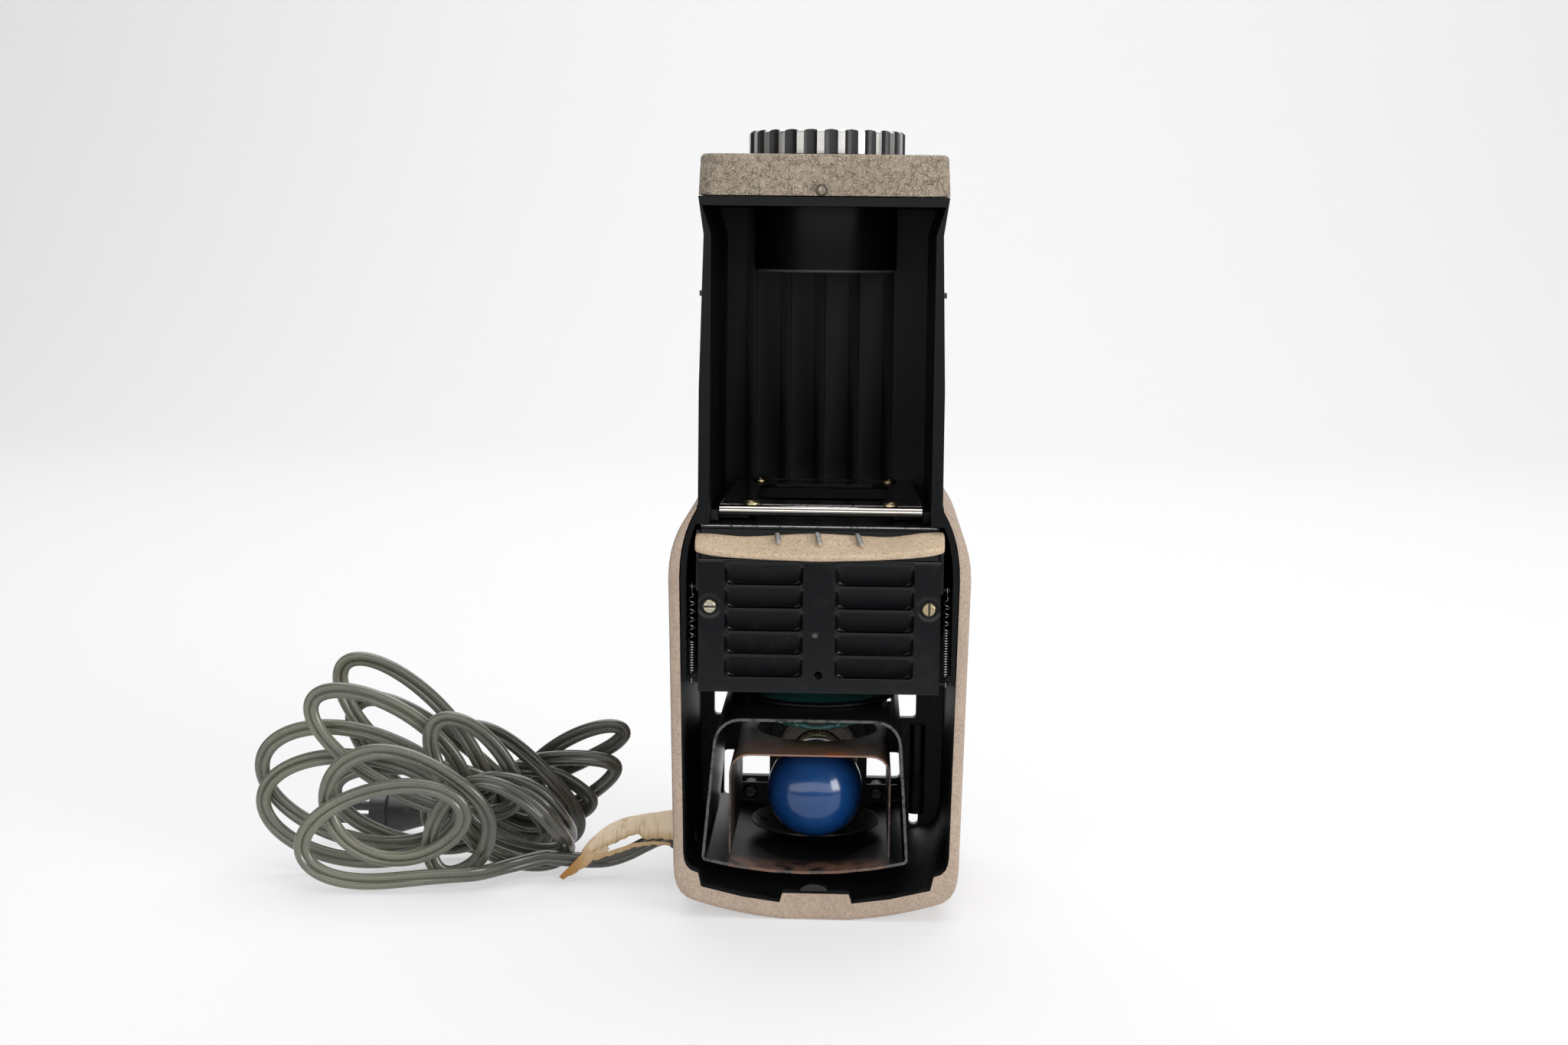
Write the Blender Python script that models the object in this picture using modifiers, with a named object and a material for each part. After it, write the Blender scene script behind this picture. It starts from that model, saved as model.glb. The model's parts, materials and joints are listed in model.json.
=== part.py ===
"""Slide projector standing on its rear end, with its top covers off.

Metres, +Z up. +Z is the way the picture is thrown, -Y is the open side that the covers close
in use, and +Y is the underside. The origin is in the middle of the foot of the body.
"""
import math

import bmesh
import bpy
import numpy as np
from mathutils import Matrix, Vector

# Body as a whole
BODY_DEPTH = 0.1000         # open rim to underside face
FOOT_HEIGHT = 0.0040        # a foot past the underside
GRIP_REACH = 0.0060         # finger grip in front of the rim
RIM_Y = GRIP_REACH - (GRIP_REACH + BODY_DEPTH + FOOT_HEIGHT) / 2
UNDERSIDE_Y = RIM_Y + BODY_DEPTH
AXIS_PAST_MIDDLE = 0.0020   # optical axis behind the middle of the body's depth
AXIS_DEPTH = BODY_DEPTH / 2 + AXIS_PAST_MIDDLE
AXIS_Y = RIM_Y + AXIS_DEPTH
FIT_GAP = 0.0003            # piece to its seat
OVERRUN = 0.0020            # cutter past the face that it opens
MERGE = 0.00001
FLAT_ANGLE = 0.001          # radians
SHARP_ANGLE = 0.6           # radians

# Lamp-house shell
SHELL_HALF = 0.0526
SHELL_TOP_DRAW = 0.0097     # the top is narrower by this on each side
SHELL_TOP_HALF = SHELL_HALF - SHELL_TOP_DRAW
SHELL_TOP_Z = 0.1472
SHOULDER_Z = 0.1220
SHELL_LOW_DRAW = 0.0022
SHELL_LOW_HALF = SHELL_HALF - SHELL_LOW_DRAW
CORNER_Z = 0.0185
CORNER_DRAW = 0.0106
CORNER_HALF = SHELL_HALF - CORNER_DRAW
BOW_RISE = 0.0062           # of the rear wall over the corner's half width
FLAT_CUT = 0.0005           # bottom of the bow cut flat to stand on
RIM_TOP_WALL = 0.0002       # the rim thins to an edge at its top
RIM_TOP_HALF = SHELL_TOP_HALF - RIM_TOP_WALL
RIM_TOP_Z = 0.1464
RIM_WALL = 0.0039
RIM_HALF = SHELL_HALF - RIM_WALL
RIM_LOW_DRAW = 0.0018
RIM_LOW_HALF = RIM_HALF - RIM_LOW_DRAW
RIM_CORNER_Z = 0.0240
RIM_CORNER_DRAW = 0.0071
RIM_CORNER_HALF = RIM_HALF - RIM_CORNER_DRAW
RIM_CORNER_LOW_Z = 0.0166
RIM_FLOOR = 0.0064          # thickness of the rear wall at the rim
RIM_DEPTH = 0.0050          # the thick rim goes this deep
NOTCH_INSET = 0.0011
NOTCH_HALF = RIM_CORNER_HALF - NOTCH_INSET
TAB_HALF = 0.0117
TAB_TOP_Z = 0.0098
WALL_FLOOR = 0.0034         # thickness of the rear wall behind the rim
CAVITY_CORNER_Z = 0.0200
CAVITY_CORNER_DRAW = 0.0092
CAVITY_CORNER_HALF = RIM_HALF - CAVITY_CORNER_DRAW
UNDERSIDE_WALL = 0.0035
RIM_ROUND = 0.0016
UNDERSIDE_ROUND = 0.0060
SHOULDER_SHARES = ((0.37, 0.127), (1.0, 0.444))
RIM_SHOULDER_SHARES = ((0.317, 0.14), (1.0, 0.426))
CORNER_SHARES = ((0.04, 0.55), (0.22, 0.88))

# Vents in the underside wall, behind the lamp
UPPER_VENT_LEFT_MARGIN = 0.0044    # vent to the inside of the wall
UPPER_VENT_LEFT = UPPER_VENT_LEFT_MARGIN - RIM_LOW_HALF
UPPER_VENT_RIGHT_MARGIN = 0.0099
UPPER_VENT_RIGHT = RIM_LOW_HALF - UPPER_VENT_RIGHT_MARGIN
UPPER_VENT_LOW = 0.0520
UPPER_VENT_HIGH = 0.0660
LOWER_VENT_LEFT_MARGIN = 0.0084
LOWER_VENT_LEFT = LOWER_VENT_LEFT_MARGIN - RIM_LOW_HALF
LOWER_VENT_RIGHT_MARGIN = 0.0159
LOWER_VENT_RIGHT = RIM_LOW_HALF - LOWER_VENT_RIGHT_MARGIN
LOWER_VENT_LOW = 0.0276
LOWER_VENT_HIGH = 0.0380
STRIP_VENT_LOW = 0.0193     # left end of the lower vent reaches down to here
STRIP_VENT_WIDTH = 0.0046
SIDE_SLOT_MARGIN = 0.0084
SIDE_SLOT_WIDTH = 0.0036
SIDE_SLOT_LEFT = RIM_LOW_HALF - SIDE_SLOT_MARGIN - SIDE_SLOT_WIDTH
SIDE_SLOT_RIGHT = RIM_LOW_HALF - SIDE_SLOT_MARGIN
SIDE_SLOT_LOW = 0.0090
SIDE_SLOT_HIGH = 0.0480
VENT_ROUND = 0.0015

# Bay chassis
BAY_TOP_Z = 0.2534
BAY_NECK_Z = 0.2405
BAY_WAIST_Z = 0.1880
BAY_SIDE_GAP = 0.0005       # inside the shell's top
BAY_HALF = RIM_TOP_HALF - BAY_SIDE_GAP
BAY_TOP_FLARE = 0.0005
BAY_TOP_HALF = BAY_HALF + BAY_TOP_FLARE
BAY_NECK_DRAW = 0.0014
BAY_NECK_HALF = BAY_HALF - BAY_NECK_DRAW
BAY_SIDE_WALL = 0.0039
BAY_INNER_HALF = BAY_HALF - BAY_SIDE_WALL
BAY_FLARE_WALL = 0.0008     # side wall at its thin front end
BAY_FLARE_HALF = BAY_HALF - BAY_FLARE_WALL
BAY_BACK_WALL = 0.0032
BULKHEAD = 0.0032
SKIRT_GAP = 0.0004
SKIRT_WALL = 0.0020
SKIRT_BACK_WALL = 0.0022
SKIRT_END_Z = 0.0853
CHASSIS_BACK_ROUND = 0.0030
SHELF_LOW_Z = 0.1410
SHELF_TOP_Z = 0.1449
SHELF_FRONT = 0.0100        # depth behind the rim
BAY_RIB_PITCH = 0.0130
BAY_RIB_WIDTH = 0.0038
BAY_RIB_HEIGHT = 0.0016
BAY_RIB_MIDDLE = -0.0025
BAY_RIB_COUNT = 5

# Front panel and its screw
PANEL_SIDE_PROUD = 0.0003
PANEL_HALF = BAY_TOP_HALF + PANEL_SIDE_PROUD
PANEL_HEIGHT = 0.0140
PANEL_PROUD = 0.0008
PANEL_BACK_STEP = 0.0020
PANEL_CORNER = 0.0070
PANEL_WALL = 0.0028
PANEL_TOP_ROUND = 0.0012
PANEL_TOP_SHARE = 0.983     # top outline over bottom outline, for the draft
PANEL_SCREW_X = -0.0008
PANEL_SCREW_UP = 0.0027     # above the panel's lower edge
PANEL_SCREW_RADIUS = 0.0024
PANEL_SCREW_HEAD = 0.0007
SMALL_SHANK_RADIUS = 0.0012
SMALL_SHANK_LENGTH = 0.0040

# Lens
SLEEVE_SIDE_ROOM = 0.01255  # sleeve to the bay's side wall
SLEEVE_RADIUS = BAY_INNER_HALF - SLEEVE_SIDE_ROOM
SLEEVE_WALL = 0.00185
SLEEVE_LOW_Z = 0.2273
SLEEVE_LIP_ROUND = 0.0016
SLEEVE_FLANGE_REACH = 0.00425
SLEEVE_FLANGE_RADIUS = SLEEVE_RADIUS + SLEEVE_FLANGE_REACH
SLEEVE_FLANGE = 0.0015
SLEEVE_ABOVE = 0.0085       # above the flange's underside
BARREL_CLEARANCE = 0.0004
BARREL_WALL = 0.0029
BARREL_LOW_Z = 0.2290
BARREL_LENGTH = 0.0455
RING_REACH = 0.0024         # past the sleeve
RING_RADIUS = SLEEVE_RADIUS + RING_REACH
RING_HEIGHT = 0.0092
RING_BORE_CLEARANCE = 0.0006
RING_CHAMFER_IN = 0.0012
RING_CHAMFER_UP = 0.0008
RING_MOUTH = 0.0014         # inner bevel of the ring's front
FLUTE_COUNT = 24
FLUTE_START_SHARE = 0.25    # of a flute's pitch
FLUTE_DEPTH = 0.0009
FLUTE_RADIUS = 0.0033
GLASS_GAP = 0.0003
FRONT_LENS_Z = 0.2655
FRONT_LENS_EDGE = 0.0040
FRONT_LENS_CROWN = 0.0022
REAR_LENS_Z = 0.2330
REAR_LENS_EDGE = 0.0035
REAR_LENS_CROWN = 0.0016
RETAINER_WALL = 0.0031      # over the barrel's bore
LENS_RADIUS = SLEEVE_RADIUS - SLEEVE_WALL - BARREL_CLEARANCE - BARREL_WALL - GLASS_GAP
RETAINER_INNER = LENS_RADIUS - RETAINER_WALL
RETAINER_HEIGHT = 0.0014

# Slide gate
GATE_TOP_Z = 0.1464
GATE_SHEET = 0.0012
GATE_SIDE_ROOM = 0.0028     # plate to the bay's side wall
GATE_FRONT_HALF = BAY_INNER_HALF - GATE_SIDE_ROOM
GATE_TAPER = 0.0021
GATE_BACK_HALF = GATE_FRONT_HALF - GATE_TAPER
GATE_FRONT = 0.0146
GATE_BACK_ROOM = 0.0075     # plate to the underside face
GATE_BACK = BODY_DEPTH - GATE_BACK_ROOM
GATE_WINDOW_MARGIN = 0.0094
GATE_WINDOW_HALF = GATE_BACK_HALF - GATE_WINDOW_MARGIN
GATE_WINDOW_AHEAD = 0.0240  # window before and behind the optical axis
GATE_WINDOW_FRONT = AXIS_DEPTH - GATE_WINDOW_AHEAD
GATE_WINDOW_BEHIND = 0.0255
GATE_WINDOW_BACK = AXIS_DEPTH + GATE_WINDOW_BEHIND
GATE_WINDOW_CORNER = 0.0080
LIP_RADIUS = 0.00195
LIP_DEPTH = 0.0125
LIP_HALF = GATE_FRONT_HALF
LIP_TONGUE_END = 0.0185
LIP_TONGUE = 0.0007
RIVET_INSET = 0.0110
RIVET_X = GATE_FRONT_HALF - RIVET_INSET
RIVET_FRONT = 0.0160
RIVET_BACK_INSET = 0.0045
RIVET_BACK = GATE_BACK - RIVET_BACK_INSET
RIVET_HEAD_RADIUS = 0.0030
RIVET_HEAD = 0.0009
RIVET_SHANK_RADIUS = 0.0012
SLIDE_SIDE_WALL = 0.0099    # beside the slot for a 50 mm slide
SLIDE_HALF = GATE_FRONT_HALF - SLIDE_SIDE_WALL
SLIDE_STOP_BEHIND = 0.0256  # the optical axis
SLIDE_STOP = AXIS_DEPTH + SLIDE_STOP_BEHIND

# Sprung condenser carriage
PLATE_TOP_Z = 0.1405
PLATE_SHEET = 0.0012
PLATE_FRONT = 0.0020
PLATE_WINDOW_HALF = 0.0190
PLATE_WINDOW_CORNER = 0.0020
FRAME_SIDE_GAP = 0.0008     # from the bay's outer side
FRAME_HALF = BAY_HALF - FRAME_SIDE_GAP
PLATE_SIDE_STEP = 0.0001
PLATE_FRONT_HALF = FRAME_HALF - PLATE_SIDE_STEP
PLATE_TAPER = 0.0023
PLATE_BACK_HALF = PLATE_FRONT_HALF - PLATE_TAPER
FRAME_WALL = 0.0012
FRAME_LOW_Z = 0.0820
FRAME_FRONT = 0.0043
FRAME_FACE_FRONT = 0.0030
FRAME_FACE_WALL = 0.0015
FRAME_BACK_ROOM = 0.0100    # carriage to the underside face
FRAME_BACK = BODY_DEPTH - FRAME_BACK_ROOM
PLATE_BACK = FRAME_BACK
LENS_SHELF_Z = 0.1000
LENS_SHELF = 0.0012
LENS_SHELF_FRONT = 0.0085
CONDENSER_SIDE_ROOM = 0.0152
CONDENSER_RADIUS = FRAME_HALF - FRAME_WALL - CONDENSER_SIDE_ROOM
CONDENSER_SEAT = 0.0015
CONDENSER_SEAT_RADIUS = CONDENSER_RADIUS - CONDENSER_SEAT
CONDENSER_EDGE = 0.0030
CONDENSER_CROWN = 0.0085
COVER_FRONT = 0.0030
COVER_SHEET = 0.0010
COVER_SIDE_LAP = 0.0008
COVER_HALF = FRAME_HALF + COVER_SIDE_LAP
COVER_LOW_Z = 0.0814
COVER_TOP_Z = 0.1285
LOUVRE_ROWS = 5
LOUVRE_TOP_MARGIN = 0.0015  # to the cover's upper edge
LOUVRE_TOP_Z = COVER_TOP_Z - LOUVRE_TOP_MARGIN
LOUVRE_PITCH = 0.00818
LOUVRE_HEIGHT = 0.0074
LOUVRE_INNER_X = 0.0056
LOUVRE_MARGIN = 0.0091      # to the cover's side edge
LOUVRE_OUTER_X = COVER_HALF - LOUVRE_MARGIN
LOUVRE_DEPTH = 0.0034
LOUVRE_COLUMN_SHARES = ((0.0, 0.0), (0.035, 0.62), (0.11, 1.0), (0.89, 1.0), (0.965, 0.62), (1.0, 0.0))
LOUVRE_ROW_SHARES = ((0.0, 0.0), (0.36, 0.62), (1.0, 1.0))
COVER_HOLE_RADIUS = 0.0015
COVER_HOLE_INSET = 0.0063
COVER_HOLE_Z = COVER_LOW_Z + COVER_HOLE_INSET
COVER_SCREW_INSET = 0.0039
COVER_SCREW_X = COVER_HALF - COVER_SCREW_INSET
COVER_SCREW_DROP = 0.0167   # below the cover's upper edge
COVER_SCREW_Z = COVER_TOP_Z - COVER_SCREW_DROP
COVER_SCREW_RADIUS = 0.00245
COVER_SCREW_HEAD = 0.0011
COVER_SCREW_LENGTH = 0.0055
SCREW_SLOT = 0.0007
BOSS_HALF_HEIGHT = 0.0038
BOSS_REACH = 0.0031         # inwards from its screw
BOSS_INNER_X = COVER_SCREW_X - BOSS_REACH
BOSS_BACK = 0.0100

# Finger grip
GRIP_SIDE_LAP = 0.0018
GRIP_HALF = FRAME_HALF + GRIP_SIDE_LAP
GRIP_BACK = 0.0027
GRIP_TOP_Z = 0.1387
GRIP_WAVE = 0.0016
GRIP_END_RISE = 0.0005
GRIP_LOW_Z = 0.1300
GRIP_LOW_BOW = 0.0028
GRIP_END_DRAW = 0.0026
GRIP_EDGE_UP = 0.0042
GRIP_ROUND = 0.0010
GRIP_STATION_SHARES = (-1.0, -0.985, -0.94, -0.8, -0.6, -0.4, -0.2, 0.0,
                       0.2, 0.4, 0.6, 0.8, 0.94, 0.985, 1.0)
GRIP_END_SHARES = (0.55, 0.86)
GRIP_DIP_SHARE = 0.58
GRIP_RIB_PITCH = 0.0142
GRIP_RIB_WIDTH = 0.0019
GRIP_RIB_LENGTH = 0.0046
GRIP_RIB_HEIGHT = 0.0011
GRIP_RIB_PLACE_SHARE = 0.56 # middle of a rib, down from the slope's upper edge

# Rails and springs
RAIL_GAP = 0.0004           # carriage to rail
RAIL_INNER = FRAME_HALF + RAIL_GAP
RAIL_SHEET = 0.0015
RAIL_LOW_Z = 0.1165
RAIL_TOP_Z = 0.1388
RAIL_FRONT = 0.0050
RAIL_BACK_ROOM = 0.0080     # rail to the underside face
RAIL_BACK = BODY_DEPTH - RAIL_BACK_ROOM
RAIL_CORNER = 0.0060
PEG_RADIUS = 0.0008
PEG_REACH = 0.0041          # past the rail's inner face
PEG_END = RAIL_INNER + PEG_REACH
PEG_DEPTH = 0.0080
UPPER_PEG_Z = 0.1180
LOWER_PEG_Z = 0.0845
SPRING_FROM_RAIL = 0.0029   # middle of the coil past the rail's inner face
SPRING_X = RAIL_INNER + SPRING_FROM_RAIL
SPRING_COIL_RADIUS = 0.00120
SPRING_LOOP_RADIUS = 0.00145
SPRING_WIRE_RADIUS = 0.00021
SPRING_CLOSE_PITCH = 0.00092
LEFT_SPRING_OPEN = 6
LEFT_SPRING_CLOSE = 12
RIGHT_SPRING_OPEN = 4
RIGHT_SPRING_CLOSE = 18
CURL_POINTS = 8

# Outer and inner lamp shields
SHIELD_FRONT = 0.0040
SHIELD_SHEET = 0.0010
SHIELD_TOP_Z = 0.0716
SHIELD_SIDE_Z = 0.0200
SHIELD_LOW_Z = 0.0156
SHIELD_LEFT_ROOM = 0.0061   # shield to the inside of the shell
SHIELD_LOW_LEFT = SHIELD_LEFT_ROOM - RIM_LOW_HALF
SHIELD_RIGHT_ROOM = 0.0143
SHIELD_LOW_RIGHT = RIM_LOW_HALF - SHIELD_RIGHT_ROOM
SHIELD_LEFT_DRAW = 0.0048
SHIELD_TOP_LEFT = SHIELD_LOW_LEFT + SHIELD_LEFT_DRAW
SHIELD_RIGHT_DRAW = 0.0034
SHIELD_TOP_RIGHT = SHIELD_LOW_RIGHT - SHIELD_RIGHT_DRAW
SHIELD_TOP_ROUND = 0.0095
SHIELD_LOW_ROUND = 0.0020
SHIELD_HOLE_MARGIN = 0.0050
SHIELD_HOLE_RADIUS = (SHIELD_TOP_RIGHT - SHIELD_TOP_LEFT) / 2 - SHIELD_HOLE_MARGIN
INNER_FRONT = 0.0080
INNER_SHEET = 0.0007
INNER_BACK_ROOM = 0.0130    # to the underside face
INNER_BACK = BODY_DEPTH - INNER_BACK_ROOM
INNER_LEFT_ROOM = 0.0095    # to the outer shield
INNER_LEFT = SHIELD_LOW_LEFT + INNER_LEFT_ROOM
INNER_RIGHT_ROOM = 0.0065
INNER_RIGHT = SHIELD_LOW_RIGHT - INNER_RIGHT_ROOM
INNER_TOP_Z = 0.0580
INNER_LOW_Z = 0.0212
INNER_ROUND = 0.0070
INNER_HOLE_MARGIN = 0.0062
INNER_HOLE_RADIUS = (INNER_RIGHT - INNER_LEFT) / 2 - INNER_HOLE_MARGIN

# Rear condenser glass and its clip
GLASS_X = -0.0010
GLASS_SIDE_GAP = 0.0016
GLASS_RADIUS = SHIELD_HOLE_RADIUS - GLASS_SIDE_GAP
GLASS_LOW_Z = 0.0579        # crown of the lower face
GLASS_LOW_CROWN = 0.0085
GLASS_EDGE = 0.0045
GLASS_TOP_CROWN = 0.0028
CLIP_LAP = 0.0010           # over the glass
CLIP_INNER = GLASS_RADIUS - CLIP_LAP
CLIP_REACH = 0.0032
CLIP_OUTER = GLASS_RADIUS + CLIP_REACH
CLIP_SHEET = 0.0008
CLIP_LEG_HALF = 0.0028
CLIP_LEG_GAP = 0.0004
CLIP_LEG_INNER = GLASS_RADIUS + CLIP_LEG_GAP
CLIP_LEG = 0.0007
CLIP_LEG_COUNT = 3

# Lamp, reflector, socket and bracket
LAMP_X = -0.0011
LAMP_Z = 0.0404
LAMP_RADIUS = 0.0165
LAMP_TIP = 0.0115           # depth of the dome's tip
LAMP_GLASS = 0.0008
BASE_BACK_ROOM = 0.0090     # lamp base to the underside face
BASE_END = BODY_DEPTH - BASE_BACK_ROOM
BASE_LENGTH = 0.0190
LAMP_NECK_END = BASE_END - BASE_LENGTH
LAMP_NECK_LENGTH = 0.0120
LAMP_BODY_END = LAMP_NECK_END - LAMP_NECK_LENGTH
LAMP_NECK_RADIUS = 0.0098
LAMP_NECK_SHARES = ((0.0, 0.45), (1.0, 0.45))
BASE_RADIUS = 0.0102
BASE_STUD_RADIUS = 0.0040
SOCKET_RADIUS = 0.0155
BRACKET_BACK_ROOM = 0.0120  # to the underside face
BRACKET_FRONT = BODY_DEPTH - BRACKET_BACK_ROOM
SOCKET_BACK = BRACKET_FRONT - FIT_GAP
SOCKET_HEIGHT = 0.0087
SOCKET_FRONT = SOCKET_BACK - SOCKET_HEIGHT
BRACKET_SHEET = 0.0012
BRACKET_LEFT_ROOM = 0.0076  # to the outer shield
BRACKET_LEFT = SHIELD_LOW_LEFT + BRACKET_LEFT_ROOM
BRACKET_RIGHT_ROOM = 0.0026
BRACKET_RIGHT = SHIELD_LOW_RIGHT - BRACKET_RIGHT_ROOM
BRACKET_TOP_Z = 0.0270
BRACKET_TAB_HALF = 0.0190
BRACKET_TAB_TOP_Z = 0.0550
BRACKET_FLOOR_GAP = 0.0010
BRACKET_SCREW_LEFT_INSET = 0.0057
BRACKET_SCREW_LEFT = BRACKET_LEFT + BRACKET_SCREW_LEFT_INSET
BRACKET_SCREW_RIGHT_INSET = 0.0082
BRACKET_SCREW_RIGHT = BRACKET_RIGHT - BRACKET_SCREW_RIGHT_INSET
BRACKET_SCREW_Z = 0.0236
BRACKET_SCREW_RADIUS = 0.0028
BRACKET_SCREW_HEAD = 0.0015
BRACKET_SCREW_LENGTH = 0.0060
BRACKET_BOSS_RADIUS = 0.0033
REFLECTOR_X = -0.0013
REFLECTOR_MARGIN = 0.0047   # to the inner shield's sides
REFLECTOR_RADIUS = (INNER_RIGHT - INNER_LEFT) / 2 - REFLECTOR_MARGIN
REFLECTOR_RIM_Z = 0.0232
REFLECTOR_DEPTH = 0.0048
REFLECTOR_SHEET = 0.0007
REFLECTOR_STEM_RADIUS = 0.0040

# Cover catch, cover pins and feet
CATCH_X = -0.0007
CATCH_HALF = 0.0048
CATCH_HEIGHT = 0.0024
CATCH_FRONT = 0.0012
CATCH_BACK = 0.0048
PIN_Z = 0.2204
PIN_DEPTH = 0.0050
PIN_RADIUS = 0.0010
PIN_INSET = 0.0007
PIN_INNER = BAY_INNER_HALF + PIN_INSET
PIN_LENGTH = 0.0034
PIN_OUTER = PIN_INNER + PIN_LENGTH
FOOT_RADIUS = 0.0060
FOOT_INSET = 0.0092         # middle of a foot to the bay's side
FOOT_X = BAY_HALF - FOOT_INSET
REAR_FOOT_Z = 0.0800
FRONT_FOOT_Z = 0.2300

# Mains flex
EXIT_Z = 0.0145
FLEX_RADIUS = 0.0023
GROMMET_RADIUS = 0.0040
GROMMET_COLLAR = 0.0058
GROMMET_TIP = 0.0036
GROMMET_INSIDE = 0.0049     # inwards from the shell's side
GROMMET_INNER_X = GROMMET_INSIDE - SHELL_LOW_HALF
GROMMET_COLLAR_GAP = 0.0004
GROMMET_COLLAR_X = -SHELL_LOW_HALF - GROMMET_COLLAR_GAP
GROMMET_RIM = 0.0012
GROMMET_OUTSIDE = 0.0052
GROMMET_END_X = GROMMET_COLLAR_X - GROMMET_OUTSIDE
# Route of the free stretch: x, depth behind the rim, z
LEAD_ROUTE = (
    (-0.0605, 0.0520, 0.0138),
    (-0.0660, 0.0516, 0.0112),
    (-0.0720, 0.0508, 0.0082),
    (-0.0790, 0.0492, 0.0062),
    (-0.0860, 0.0460, 0.0066),
)
LEAD_STEPS = 2
TAPE_GAP = 0.0005
TAPE_START_GAP = 0.0008
TAPE_START_X = GROMMET_END_X - TAPE_START_GAP
TAPE_RADII = (0.0060, 0.0058, 0.0050, 0.0042)
TANGLE_START = (-0.0985, 0.0435, 0.0080)    # x, depth behind the rim, z
TANGLE_FRONT = 0.0215       # depth of the front loop
LAYER_STEP = 0.0043
LOOP_POINTS = 24
CLIMB_SHARE = 0.42
LEAD_IN_SHARES = (0.3, 0.55, 0.8)
LEAD_OUT_SHARES = (0.35, 0.7)
TANGLE_GAP = 0.0008         # wanted between crossing stretches
EASING_PASSES = 5
SPREAD_PASSES = 400
HELD_POINTS = 4
NEAR_POINTS = 4             # last points of the free stretch that the tangle keeps clear of
START_ANGLE = -1.05
# Loops of the tangle, front to back: middle x, middle z, long half, short half, tilt in degrees
TANGLE_LOOPS = (
    (-0.1560, 0.0170, 0.0360, 0.0185, 14.0),
    (-0.1570, 0.0320, 0.0255, 0.0220, -12.0),
    (-0.1295, 0.0225, 0.0210, 0.0125, 62.0),
    (-0.1115, 0.0200, 0.0245, 0.0165, -35.0),
    (-0.1200, 0.0345, 0.0365, 0.0150, -50.0),
    (-0.1540, 0.0480, 0.0430, 0.0165, -28.0),
    (-0.1745, 0.0235, 0.0380, 0.0215, -6.0),
    (-0.1735, 0.0325, 0.0415, 0.0230, -14.0),
    (-0.1545, 0.0230, 0.0335, 0.0150, -14.0),
    (-0.1545, 0.0535, 0.0385, 0.0155, -42.0),
    (-0.1530, 0.0410, 0.0340, 0.0155, -38.0),
    (-0.1250, 0.0060, 0.0290, 0.0145, 0.0),
    (-0.1225, 0.0295, 0.0280, 0.0155, -48.0),
    (-0.1110, 0.0150, 0.0220, 0.0155, -20.0),
    (-0.1075, 0.0235, 0.0210, 0.0135, 12.0),
    (-0.0980, 0.0305, 0.0295, 0.0125, 36.0),
)
PLUG_X = -0.1520            # cable end of the plug
PLUG_DEPTH = 0.0980
PLUG_Z = 0.0092
PLUG_LENGTH = 0.0260
PLUG_BIG_RADIUS = 0.0090
PLUG_SMALL_RADIUS = 0.0046
PIN_PITCH = 0.0190
PLUG_FACE_HALF = 0.0128
PLUG_FACE = 0.0060
PLUG_PIN_RADIUS = 0.0020
PLUG_PIN_LENGTH = 0.0190

# Colours: red, green, blue, roughness, metallic
TAN = (0.42, 0.33, 0.24, 0.75, 0.0)
BLACK_PAINT = (0.015, 0.016, 0.018, 0.45, 0.0)
BLACK_PLASTIC = (0.012, 0.013, 0.014, 0.35, 0.0)
BRIGHT_STEEL = (0.62, 0.61, 0.58, 0.25, 1.0)
ALUMINIUM = (0.72, 0.71, 0.68, 0.35, 1.0)
BRASS = (0.60, 0.52, 0.33, 0.35, 1.0)
COPPER_TINT = (0.30, 0.17, 0.11, 0.40, 1.0)
CLEAR_GLASS = (0.85, 0.90, 0.90, 0.05, 0.0)
GREEN_GLASS = (0.08, 0.32, 0.30, 0.08, 0.0)
BLUE_GLASS = (0.02, 0.10, 0.42, 0.15, 0.0)
CERAMIC = (0.60, 0.57, 0.50, 0.6, 0.0)
RUBBER = (0.03, 0.03, 0.03, 0.8, 0.0)
FLEX_GREY = (0.20, 0.21, 0.17, 0.45, 0.0)
CREAM_TAPE = (0.72, 0.60, 0.42, 0.85, 0.0)

parts = bpy.data.collections.new("slide_projector")
cutters = bpy.data.collections.new("cutters")


# Helpers


def at(depth):
    """World y of a depth behind the open rim."""
    return RIM_Y + depth


def finish(piece, colour):
    """Gives a piece its own material and puts it among the parts."""
    red, green, blue, roughness, metallic = colour
    material = bpy.data.materials.new(piece.name)
    material.use_nodes = True
    shader = material.node_tree.nodes["Principled BSDF"]
    shader.inputs["Base Color"].default_value = (red, green, blue, 1)
    shader.inputs["Roughness"].default_value = roughness
    shader.inputs["Metallic"].default_value = metallic
    piece.data.materials.clear()
    piece.data.materials.append(material)
    cutters.objects.unlink(piece)
    parts.objects.link(piece)
    piece.hide_render = False
    piece.display_type = 'TEXTURED'
    return piece


def new_object(name, data):
    """A guide object; finish() makes it a part."""
    piece = bpy.data.objects.new(name, data)
    piece.hide_render = True
    piece.display_type = 'WIRE'
    cutters.objects.link(piece)
    return piece


def object_from(name, work):
    """An object from a bmesh, with its normals facing out."""
    bmesh.ops.recalc_face_normals(work, faces=work.faces)
    mesh = bpy.data.meshes.new(name)
    work.to_mesh(mesh)
    work.free()
    return new_object(name, mesh)


def combine(piece, other, operation):
    """Boolean of two pieces, kept as a modifier."""
    modifier = piece.modifiers.new(operation.lower() + "_" + other.name, 'BOOLEAN')
    modifier.operation = operation
    modifier.solver = 'EXACT'
    modifier.object = other
    return piece


def cut(piece, *others):
    for other in others:
        combine(piece, other, 'DIFFERENCE')
    return piece


def fuse(piece, *others):
    for other in others:
        combine(piece, other, 'UNION')
    return piece


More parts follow.
